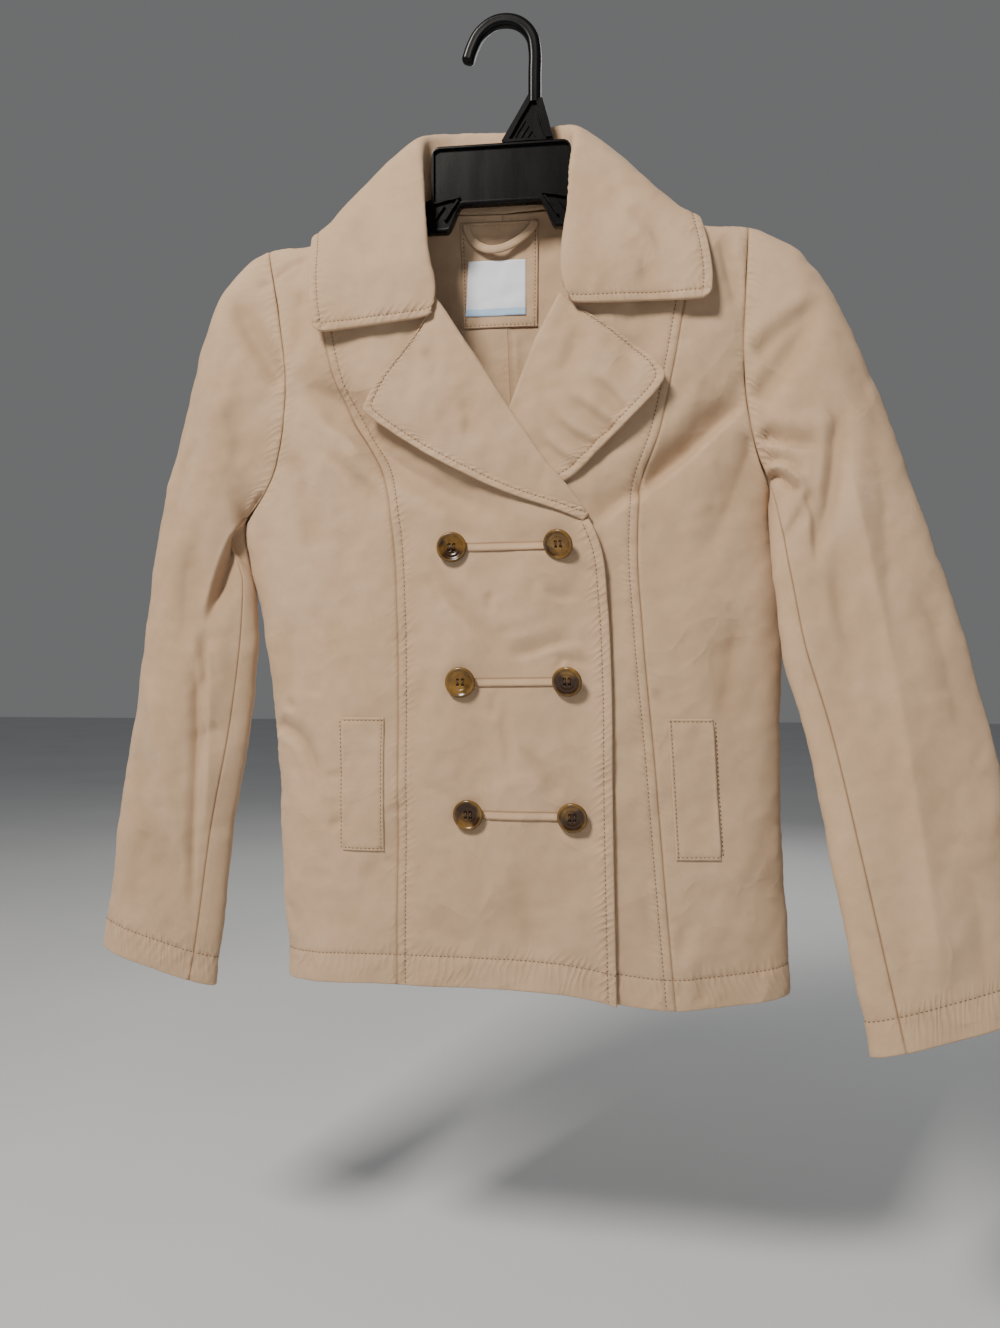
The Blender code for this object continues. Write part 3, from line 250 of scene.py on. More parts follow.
COLLAR = (
    CollarRow(-59.0, -31.0, -231.0, -53.0, -33.0, -237.5, -145.5, -30.0, -248.0),
    CollarRow(-62.0, -27.8, -212.0, -50.0, -31.0, -216.0, -149.0, -27.5, -223.0),
    CollarRow(-68.5, -24.4, -188.0, -57.0, -27.0, -181.0, -150.8, -22.0, -190.0),
    CollarRow(-72.7, -19.0, -162.0, -62.0, -20.0, -141.0, -151.3, -13.0, -170.5),
    CollarRow(-73.7, -12.0, -147.0, -65.0, -14.0, -115.0, -151.3, -6.0, -165.6),
    CollarRow(-74.8, -1.0, -139.2, -66.5, -7.0, -94.0, -151.0, 3.0, -163.6),
    CollarRow(-66.0, 8.6, -139.2, -62.0, 10.0, -78.0, -143.0, 19.0, -168.0),
    CollarRow(-40.0, 15.9, -139.8, -38.0, 23.0, -72.5, -96.0, 31.0, -168.0),
    CollarRow(-3.0, 18.6, -140.2, -3.0, 26.0, -72.0, -3.0, 35.5, -166.0),
    CollarRow(37.0, 16.0, -139.8, 32.0, 23.0, -72.5, 92.0, 31.0, -168.0),
    CollarRow(63.0, 8.8, -139.0, 56.0, 10.0, -79.0, 140.0, 19.0, -168.0),
    CollarRow(71.8, -1.0, -138.8, 59.0, -7.0, -98.0, 149.0, 3.0, -163.6),
    CollarRow(70.7, -12.0, -147.0, 57.0, -14.0, -119.0, 151.5, -6.0, -165.8),
    CollarRow(69.6, -19.0, -162.0, 54.5, -20.0, -147.0, 154.0, -13.0, -171.0),
    CollarRow(66.9, -24.4, -188.0, 50.0, -27.0, -185.0, 159.0, -21.0, -192.0),
    CollarRow(61.0, -27.8, -212.0, 50.5, -31.0, -213.0, 162.0, -26.0, -215.0),
    CollarRow(64.0, -31.0, -227.0, 57.5, -33.0, -232.5, 161.0, -29.5, -234.0),
)
LAPEL = {
    Side.RIGHT: (
        LapelRow(-50.0, -222.0, -57.0, -239.5, 0.0), LapelRow(-41.5, -235.0, -73.5, -260.0, 0.5),
        LapelRow(-34.5, -246.0, -94.5, -286.5, 1.4), LapelRow(-27.0, -257.5, -103.5, -302.5, 2.0),
        LapelRow(-18.0, -270.5, -103.0, -311.5, 2.4), LapelRow(-4.0, -292.5, -75.0, -333.0, 2.8),
        LapelRow(14.0, -320.5, -44.5, -352.5, 2.4), LapelRow(37.0, -354.0, 2.0, -375.5, 1.6),
        LapelRow(57.0, -377.5, 44.0, -391.0, 0.8), LapelRow(70.0, -395.5, 65.5, -399.5, 0.2)),
    Side.LEFT: (
        LapelRow(47.0, -223.5, 62.0, -236.5, 0.0), LapelRow(41.5, -234.0, 86.0, -251.7, 1.0),
        LapelRow(35.5, -245.0, 109.0, -270.5, 2.5), LapelRow(30.0, -255.5, 124.3, -286.5, 4.0),
        LapelRow(25.5, -265.0, 123.5, -298.5, 4.8), LapelRow(20.5, -278.0, 101.0, -323.0, 4.6),
        LapelRow(15.0, -292.0, 78.0, -345.0, 3.2), LapelRow(9.0, -308.5, 59.0, -363.5, 0.8),
        LapelRow(3.0, -327.0, 41.0, -374.5, 0.0)),
}
BUTTON_ROWS = (
    ButtonRow("top", -35.6, -419.0, 47.2, -418.0, 0.0, 25.0),
    ButtonRow("middle", -28.5, -523.0, 54.0, -522.0, 3.0, 19.0),
    ButtonRow("bottom", -22.3, -624.5, 57.8, -625.0, 4.0, 11.0),
)


# ---------------------------------------------------------------- curves

def through(keys: Sequence[float] | Array, values: Sequence[float] | Array,
            at: float | Array) -> Array:
    """Smooth curve through a table: cubic pieces whose slope at a row is that of its neighbours.

    Args:
        keys: the table's places, rising or falling.
        values: its values.
        at: where to read it.

    Returns:
        The values there, held at the table's ends.
    """
    keys = np.asarray(keys, float)
    values = np.asarray(values, float)
    if keys[0] > keys[-1]:
        keys, values = keys[::-1], values[::-1]
    slope = np.gradient(values, keys)
    at = np.clip(np.asarray(at, float), keys[0], keys[-1])
    i = np.clip(np.searchsorted(keys, at) - 1, 0, len(keys) - 2)
    span = keys[i + 1] - keys[i]
    s = (at - keys[i]) / span
    return (values[i] * (1 + 2 * s) * (1 - s) ** 2 + values[i + 1] * s * s * (3 - 2 * s)
            + span * (slope[i] * s * (1 - s) ** 2 - slope[i + 1] * s * s * (1 - s)))


def column(table: Sequence[NamedTuple], name: str) -> Array:
    """One named column of a table."""
    return np.array([getattr(row, name) for row in table], float)


def rows_at(table: Sequence[NamedTuple], at: Array) -> dict[str, Array]:
    """Every column of a table, read smoothly at these row numbers."""
    keys = np.arange(len(table))
    return {name: through(keys, column(table, name), at) for name in table[0]._fields}


def resampled(values: Array, keys: Array, at: Array) -> Array:
    """The rows of an array of points read again, straight between them."""
    return np.stack([np.interp(at, keys, one) for one in values.T], 1)


def arc_steps(points: Array) -> Array:
    """Distance along a run of points, as a share of its length."""
    total = np.concatenate([[0.0], np.cumsum(np.hypot(*np.diff(points, axis=0).T))])
    return total / total[-1]


def along(points: Sequence[Sequence[float]], fractions: Array) -> Array:
    """Points at these fractions of the smooth run through a table's points."""
    run = np.array(points, float)
    keys = arc_steps(run)
    return np.stack([through(keys, run[:, 0], fractions), through(keys, run[:, 1], fractions)], -1)


def smoothstep(low: float, high: float, value: Array | float) -> Array:
    """0 below low, 1 above high, and the cubic 3s^2 - 2s^3 between."""
    s = np.clip((np.asarray(value, float) - low) / (high - low), 0.0, 1.0)
    return s * s * (3 - 2 * s)


def unit(vectors: Array) -> Array:
    """Vectors scaled to length 1."""
    return vectors / np.maximum(np.linalg.norm(vectors, axis=-1, keepdims=True), 1e-9)


def cubic(start: Array, first: Array, second: Array, end: Array, s: Array) -> Array:
    """Point at s of the cubic Bezier curve over four control points."""
    return (start * (1 - s) ** 3 + first * 3 * s * (1 - s) ** 2 + second * 3 * s * s * (1 - s)
            + end * s ** 3)


def travelled(places: Array, axis: int) -> Array:
    """Distance gone along each of a grid's lines: the running sum of the steps."""
    step = np.linalg.norm(np.diff(places, axis=axis), axis=-1)
    return np.concatenate([np.zeros_like(np.take(step, [0], axis)), np.cumsum(step, axis)], axis)


def beside(x: Array, z: Array, run: Array) -> tuple[Array, Array]:
    """Signed distance from points to a polyline, and how far along it the nearest place is.

    Each point is dropped onto every segment, the share held between 0 and 1, and the nearest
    foot is kept; the sign is that of the cross product of the segment and the offset.

    Args:
        x, z: the points, in one flat array each.
        run: (n, 2) corners of the polyline.

    Returns:
        Signed distance, and the place along the run from 0 to 1.
    """
    start, step = run[:-1], np.diff(run, axis=0)
    length = np.maximum(np.hypot(step[:, 0], step[:, 1]), 1e-6)
    gap_x, gap_z = x[:, None] - start[:, 0], z[:, None] - start[:, 1]
    share = np.clip((gap_x * step[:, 0] + gap_z * step[:, 1]) / length ** 2, 0.0, 1.0)
    off_x, off_z = gap_x - share * step[:, 0], gap_z - share * step[:, 1]
    gap = np.hypot(off_x, off_z)
    nearest = gap.argmin(1)
    rows = np.arange(len(x))
    side = np.sign(step[nearest, 0] * off_z[rows, nearest] - step[nearest, 1] * off_x[rows, nearest])
    before = np.concatenate([[0.0], np.cumsum(length)])
    place = (before[nearest] + share[rows, nearest] * length[nearest]) / before[-1]
    return gap[rows, nearest] * np.where(side < 0, -1.0, 1.0), place


# ---------------------------------------------------------------- the coat's surfaces

@dataclass(frozen=True)
class BodySurface:
    """The body's outer face as a function of two parameters.

    across runs from -1 at the right side seam to +1 at the left one, and down from 0 at the
    shoulder line. With g the sine of a quarter turn of across, the height falls from the
    shoulder line by a cosine arc and then straight, the width is the table's half width times
    g, and the depth is the table's depth times the square root of 1 - |g|^4, eased to nothing
    at the shoulder. Broad folds press the front in by bell curves.
    """
    shoulder_half: float = 205.0
    roll_over: float = 90.0
    side_power: float = 4.0
    folds: tuple[tuple[float, ...], ...] = (
        (187, -300, 120, -372, 3.5, 12), (178, -345, 158, -425, 2.5, 12),
        (-160, -288, -62, -342, 2.2, 11), (-172, -352, -150, -410, 2.2, 11),
        (-186, -560, -150, -610, 2.0, 12),
    )
    fine: float = 1e-4

    def read(self, name: str, z: Array) -> Array:
        """One of the body's measures at a height."""
        return through(column(TORSO, "z"), column(TORSO, name), z)

    def shoulder_z(self, g: Array) -> Array:
        """Height of the shoulder line at a share of its half width."""
        return through(column(SHOULDER, "reach"), column(SHOULDER, "z"),
                       np.abs(self.shoulder_half * g))

    def fold_depth(self, x: Array, z: Array) -> Array:
        """Sum of the broad folds: depth times the bell of the distance over the width."""
        total = np.zeros_like(x)
        for x0, z0, x1, z1, depth, width in self.folds:
            gap, _ = beside(x.ravel(), z.ravel(), np.array([(x0, z0), (x1, z1)], float))
            total = total + depth * np.exp(-(gap.reshape(x.shape) / width) ** 2)
        return total

    def place(self, across: Array, down: Array, face: Face) -> Array:
        """Points on the face at these parameters."""
        g = np.sin(np.pi / 2 * across)
        drop = self.roll_over * np.where(down < 1, 1 - np.cos(np.pi / 2 * np.minimum(down, 1)),
                                         1 + (down - 1) * np.pi / 2)
        z = self.shoulder_z(g) - drop
        x = self.read("lean", z) + g * self.read("half", z)
        deep = self.read("front" if face == Face.FRONT else "back", z)
        left = np.clip(1 - drop / self.roll_over, 0, 1)
        shape = np.sqrt(np.clip(1 - np.abs(g) ** self.side_power, 0, 1)) * np.sqrt(1 - left ** 3)
        y = int(face) * deep * shape
        if face == Face.FRONT:
            y = y + self.fold_depth(x, z) * shape
        return np.stack([x, y, z], -1)

    def chart(self, x: Array, z: Array) -> tuple[Array, Array]:
        """The two parameters under (x, z): the inverse of place."""
        x, z = np.asarray(x, float), np.asarray(z, float)
        g = np.clip((x - self.read("lean", z)) / self.read("half", z), -1, 1)
        drop = np.clip((self.shoulder_z(g) - z) / self.roll_over, 0, None)
        down = np.where(drop < 1, np.arccos(1 - np.minimum(drop, 1)) * 2 / np.pi,
                        1 + (drop - 1) * 2 / np.pi)
        return np.arcsin(g) * 2 / np.pi, down

    def normal(self, across: Array, down: Array, face: Face) -> Array:
        """Outward direction: the cross product of two short steps on the face."""
        a0, a1 = np.maximum(across - self.fine, -1), np.minimum(across + self.fine, 1)
        d0, d1 = np.maximum(down - self.fine, 0), down + self.fine
        sideways = self.place(a1, down, face) - self.place(a0, down, face)
        downward = self.place(across, d1, face) - self.place(across, d0, face)
        return unit(np.cross(downward, sideways) * -int(face))

    def over(self, x: Array, z: Array, face: Face) -> tuple[Array, Array]:
        """Points of the face under (x, z) and the outward directions there."""
        across, down = self.chart(x, z)
        return self.place(across, down, face), self.normal(across, down, face)


def wrapped(turn: Array) -> Array:
    """A turn round a sleeve brought between -2 and 2."""
    return (turn + 2) % 4 - 2


@dataclass(frozen=True)
class SleeveSurface:
    """A sleeve's outer face as a function of turn and row.

    turn is 0 at the outer fold, -2 at the underarm over the front and +2 over the back; row
    counts the table's rows down to the cuff. The section is a flat superellipse of power 2.6
    between the two folds, and near the armhole it is carried over to the armhole's own curve.
    """
    side: Side
    power: float = 2.6
    fade_rows: float = 4.0
    row_step: float = 0.01
    turn_step: float = 0.003

    def place(self, turn: Array, row: Array) -> Array:
        """Points on the sleeve at these parameters."""
        table = SLEEVE[self.side]
        turn = wrapped(turn)
        read = rows_at(table, row)
        e = np.sin(np.pi / 2 * (np.abs(turn) - 1))
        share = (e + 1) / 2
        round_off = np.sqrt(np.clip(1 - np.abs(e) ** self.power, 0, 1))
        x = read["outer_x"] + (read["inner_x"] - read["outer_x"]) * share
        z = read["outer_z"] + (read["inner_z"] - read["outer_z"]) * share
        y = (read["outer_y"] + (read["inner_y"] - read["outer_y"]) * share
             + np.sign(turn) * read["depth"] * round_off)
        fade = np.clip(1 - row / self.fade_rows, 0, 1) ** 2
        first = table[0]
        for face in Face:
            rim = along(ARMHOLE[(self.side, face)], share.ravel())
            body = BODY.place(*BODY.chart(rim[:, 0], rim[:, 1]), face).reshape(share.shape + (3,))
            here = (np.sign(turn) == int(face)) * fade
            x = x + (body[..., 0] - first.outer_x - (first.inner_x - first.outer_x) * share) * here
            y = y + (body[..., 1] - int(face) * first.depth * round_off) * here
            z = z + (body[..., 2] - first.outer_z - (first.inner_z - first.outer_z) * share) * here
        return np.stack([x, y, z], -1)

    def normal(self, turn: Array, row: Array) -> Array:
        """Outward direction: the cross product of two short steps on the sleeve."""
        near = np.maximum(row - self.row_step, 0)
        far = np.minimum(row + self.row_step, len(SLEEVE[self.side]) - 1)
        down = self.place(turn, far) - self.place(turn, near)
        around = self.place(turn + self.turn_step, row) - self.place(turn - self.turn_step, row)
        return unit(np.cross(down, around)) * int(self.side)


BODY = BodySurface()


@dataclass(frozen=True)
class Lap:
    """Height of the lapping front over the body's face.

    It rises by the cover where it lies over the other front, and by up to the cross more round
    the line on which the two lapels cross.
    """
    base: float = 0.4
    cover: float = 1.35
    cover_from: float = -75.0
    cover_to: float = -48.0
    cross: float = 3.3
    cross_near: float = 28.0
    cross_far: float = 130.0
    cross_line: Run = ((6.0, -316.0), (52.0, -378.0))

    def height(self, x: Array, z: Array) -> Array:
        """The lap's height at points of the chart."""
        away, _ = beside(np.ravel(x), np.ravel(z), np.array(self.cross_line))
        fall = smoothstep(self.cross_near, self.cross_far, np.abs(away).reshape(np.shape(x)))
        rise = self.cover * smoothstep(self.cover_from, self.cover_to, x)
        return self.base + rise + self.cross * (1 - fall)


LAP = Lap()


# ---------------------------------------------------------------- creases

@dataclass(frozen=True)
class Crease:
    """A soft trough or, with a negative depth, a ridge, along a run on the chart.

    The cloth goes in by depth times the bell exp(-(gap / width)^2), where width is multiplied
    by soft on the far side of the run, and comes out beside it by the share ridge of that.
    The crease fades in over the first and out over the last share of its run.
    """
    run: Run
    depth: float
    width: float
    soft: float = 1.0
    ridge: float = 0.0
    fade: tuple[float, float] = (0.3, 0.4)
    crest: float = 1.3

    def height(self, x: Array, z: Array) -> Array:
        """How far out the crease moves the cloth over flat arrays of (x, z)."""
        corners = np.array(self.run, float)
        line = along(corners, np.linspace(0, 1, 6 * len(corners))) if len(corners) > 2 else corners
        reach = 3.2 * self.width * max(self.soft, 1.0, 1 / self.soft)
        low, high = line.min(0) - reach, line.max(0) + reach
        near = (x > low[0]) & (x < high[0]) & (z > low[1]) & (z < high[1])
        out = np.zeros_like(x)
        if not near.any():
            return out
        gap, place = beside(x[near], z[near], line)
        width = self.width * np.where(gap > 0, self.soft, 1.0)
        taper = (smoothstep(0.0, max(self.fade[0], 1e-3), place + 1e-4)
                 * (1 - smoothstep(1 - max(self.fade[1], 1e-3), 1.0, place)))
        away = np.sqrt(gap ** 2 + self.crest ** 2) - self.crest
        trough = np.exp(-(away / width) ** 1.2)
        swell = np.exp(-((np.abs(gap) - 1.9 * width) / (0.9 * width)) ** 2)
        out[near] = self.depth * taper * (self.ridge * swell - trough)
        return out


@dataclass(frozen=True)
class Ripple:
    """Low uneven waves that any worn cloth has.

    The height is a sum of sine waves along random directions in space, each bent by a second
    slow sine, with amplitudes that fall with the wavelength, so it carries on over seams.
    """
    seed: int
    longest: float
    shortest: float
    amount: float
    waves: int = 12

    def height(self, places: Array) -> Array:
        """How far out the waves move the cloth at points in millimetres."""
        draw = np.random.default_rng(self.seed)
        out = np.zeros(places.shape[:-1])
        for _ in range(self.waves):
            length = self.shortest * (self.longest / self.shortest) ** draw.random()
            way = unit(draw.normal(size=3) * np.array([1.0, 0.5, 0.7]))
            cross = unit(draw.normal(size=3))
            start, bend = draw.random(2) * 2 * np.pi
            swing = 1.4 * np.sin(places @ cross * 2 * np.pi / (2.3 * length) + bend)
            out += length / self.longest * np.sin(places @ way * 2 * np.pi / length + start + swing)
        return out * self.amount / math.sqrt(self.waves / 2)


RIPPLES = (Ripple(11, 95.0, 34.0, 0.9), Ripple(23, 30.0, 11.0, 0.27, 16))


@dataclass(frozen=True)
class Relief:
    """All the creases of one face of a piece, and the ripples under them."""
    creases: tuple[Crease, ...]
    ripples: tuple[Ripple, ...] = RIPPLES
    strength: float = 1.9

    def height(self, places: Array, ease: Array | float = 1.0) -> Array:
        """How far out the cloth lies from its plain surface.

        Args:
            places: points of the plain surface.
            ease: share of the creases kept, less than 1 near a seam that ends them.

        Returns:
            The height at each point.
        """
        x, z = places[..., 0].ravel(), places[..., 2].ravel()
        total = sum((crease.height(x, z) for crease in self.creases), np.zeros_like(x))
        total = total.reshape(places.shape[:-1]) * ease * self.strength
        return total + sum(ripple.height(places) for ripple in self.ripples)


FRONT_RELIEF = Relief((
    Crease(((-172, -276), (-134, -299), (-104, -326), (-84, -347), (-46, -372), (17, -398)),
           5.4, 10.0, 1.6, 0.12, (0.25, 0.3)),
    Crease(((-145, -336), (-118, -360), (-88, -390)), 1.5, 3.0, 1.8, 0.2),
    Crease(((-150, -308), (-122, -324), (-94, -345)), 1.4, 4.0, 1.8, 0.2),
    Crease(((-167, -329), (-155, -395), (-142, -450)), 1.6, 9.0, 1.3, 0.1),
    Crease(((-161, -200), (-163, -236), (-165, -268)), 1.6, 7.5, 1.2, 0.2),
    Crease(((-186, -196), (-175, -189), (-165, -184), (-152, -181)), 0.8, 2.2, 1.2, 0.3,
           (0.05, 0.3)),
    Crease(((-186, -556), (-172, -562), (-160, -570), (-149, -590), (-139, -613)),
           2.2, 4.5, 1.6, 0.3, (0.1, 0.4)),
    Crease(((-176, -541), (-162, -545)), 0.9, 3.0, 1.3, 0.3),
    Crease(((-155, -529), (-139, -531)), 0.7, 3.0, 1.2, 0.3),
    Crease(((-140, -598), (-120, -596)), 0.6, 2.4, 1.2, 0.3),
    Crease(((-137, -639), (-121, -630)), 0.7, 2.6, 1.2, 0.3),
    Crease(((-92, -626), (-68, -618)), 0.6, 2.6, 1.2, 0.3),
    Crease(((-90, -660), (-76, -668)), 0.5, 2.6, 1.2, 0.3),
    Crease(((-172, -699), (-165, -726)), 0.9, 4.0, 1.4, 0.2),
    Crease(((168, -176), (174, -198), (179, -222), (181, -246)), 1.8, 4.5, 1.6, 0.3),
    Crease(((106, -379), (127, -362), (145, -347), (168, -325), (192, -303)), 4.4, 3.0, 4.0, 0.15,
           (0.2, 0.3)),
    Crease(((68, -403), (86, -389), (98, -380), (114, -376)), 3.0, 4.2, 3.0, 0.15, (0.4, 0.1)),
    Crease(((197, -335), (183, -371), (166, -410), (157, -446)), 2.0, 8.0, 1.5, 0.15, (0.05, 0.5)),
    Crease(((186, -465), (175, -521), (165, -570)), 1.4, 9.0, 1.4, 0.1),
    Crease(((143, -700), (138, -741)), 0.9, 4.0, 1.4, 0.2),
    Crease(((110, -684), (120, -726)), 0.8, 4.0, 1.4, 0.2),
    Crease(((153, -728), (155, -764)), 0.8, 4.0, 1.4, 0.2, (0.4, 0.02)),
    Crease(((119, -526), (131, -547)), 0.7, 2.6, 1.3, 0.2),
    Crease(((-46, -443), (-34, -462), (-21, -476), (-7, -491), (5, -503)), 1.9, 3.0, 2.6, 0.3),
    Crease(((5, -503), (24, -500), (45, -493), (66, -491)), 1.6, 2.6, 2.6, 0.3),
    Crease(((33, -450), (47, -457), (66, -456)), 1.0, 2.6, 2.2, 0.3),
    Crease(((4, -411), (33, -416), (66, -418)), 1.3, 5.0, 2.0, 0.2),
    Crease(((-44, -395), (-20, -409), (-4, -416)), 1.2, 5.0, 2.0, 0.2),
    Crease(((38, -503), (66, -508), (80, -517)), 0.9, 2.4, 1.8, 0.2),
    Crease(((-54, -424), (-36, -452), (-16, -466)), 1.0, 3.0, 1.8, 0.3),
    Crease(((-7, -452), (-6, -472)), 1.3, 2.0, 1.4, 0.2),
    Crease(((2, -536), (11, -603)), 1.0, 2.4, 1.8, 0.2),
    Crease(((-3, -529), (-4, -554)), 0.9, 2.0, 1.4, 0.2),
    Crease(((15, -569), (33, -591), (50, -613)), 1.5, 3.0, 2.0, 0.3),
    Crease(((52, -503), (44, -514)), 1.2, 1.8, 1.3, 0.3),
    Crease(((53, -503), (60, -514)), 1.1, 1.8, 1.3, 0.3),
    Crease(((26, -440), (28, -462)), 0.5, 2.4, 1.4, 0.3),
    Crease(((-58, -438), (-40, -468)), 0.8, 3.6, 1.5, 0.2),
    Crease(((62, -433), (84, -446)), 0.7, 2.4, 1.5, 0.3),
    Crease(((64, -634), (82, -652)), 0.7, 2.6, 1.5, 0.3),
    Crease(((-60, -600), (-34, -614)), 0.6, 2.8, 1.5, 0.3),
    Crease(((-60, -690), (-40, -716), (-8, -726)), 0.9, 6.0, 1.4, 0.2),
    Crease(((10, -660), (22, -700), (20, -742)), 0.9, 6.0, 1.4, 0.2),
))
BACK_RELIEF = Relief((
    Crease(((-182, -296), (-150, -330), (-110, -360), (-66, -384)), 2.6, 8.0, 1.6, 0.2, (0.05, 0.4)),
    Crease(((188, -290), (152, -325), (118, -352), (76, -376)), 2.8, 7.0, 1.7, 0.2, (0.05, 0.4)),
    Crease(((-180, -340), (-158, -372), (-124, -398)), 1.3, 4.0, 1.6, 0.3, (0.05, 0.4)),
    Crease(((186, -336), (160, -366), (136, -402)), 1.4, 4.4, 1.6, 0.3, (0.05, 0.4)),
    Crease(((-160, -352), (-150, -410), (-138, -476)), 1.5, 9.0, 1.3, 0.1),
    Crease(((164, -356), (152, -420), (146, -486)), 1.6, 9.0, 1.3, 0.1),
    Crease(((-176, -522), (-140, -530), (-98, -526)), 1.2, 5.0, 1.5, 0.3),
    Crease(((92, -524), (130, -532), (176, -520)), 1.3, 5.0, 1.5, 0.3),
    Crease(((-140, -212), (-90, -240), (-40, -252)), 1.4, 9.0, 1.3, 0.1),
    Crease(((48, -232), (100, -244), (150, -222)), 1.3, 9.0, 1.3, 0.1),
    Crease(((-62, -590), (-50, -660), (-56, -736)), 1.2, 8.0, 1.4, 0.1),
    Crease(((92, -600), (102, -670), (94, -744)), 1.3, 8.0, 1.4, 0.1),
    Crease(((34, -566), (44, -620), (40, -690)), 0.9, 6.0, 1.4, 0.2),
    Crease(((-120, -440), (-96, -470), (-60, -486)), 0.9, 4.5, 1.5, 0.3),
    Crease(((60, -452), (90, -480), (124, -492)), 0.9, 4.5, 1.5, 0.3),
    Crease(((-30, -300), (-10, -322), (24, -330)), 0.7, 5.0, 1.5, 0.2),
))
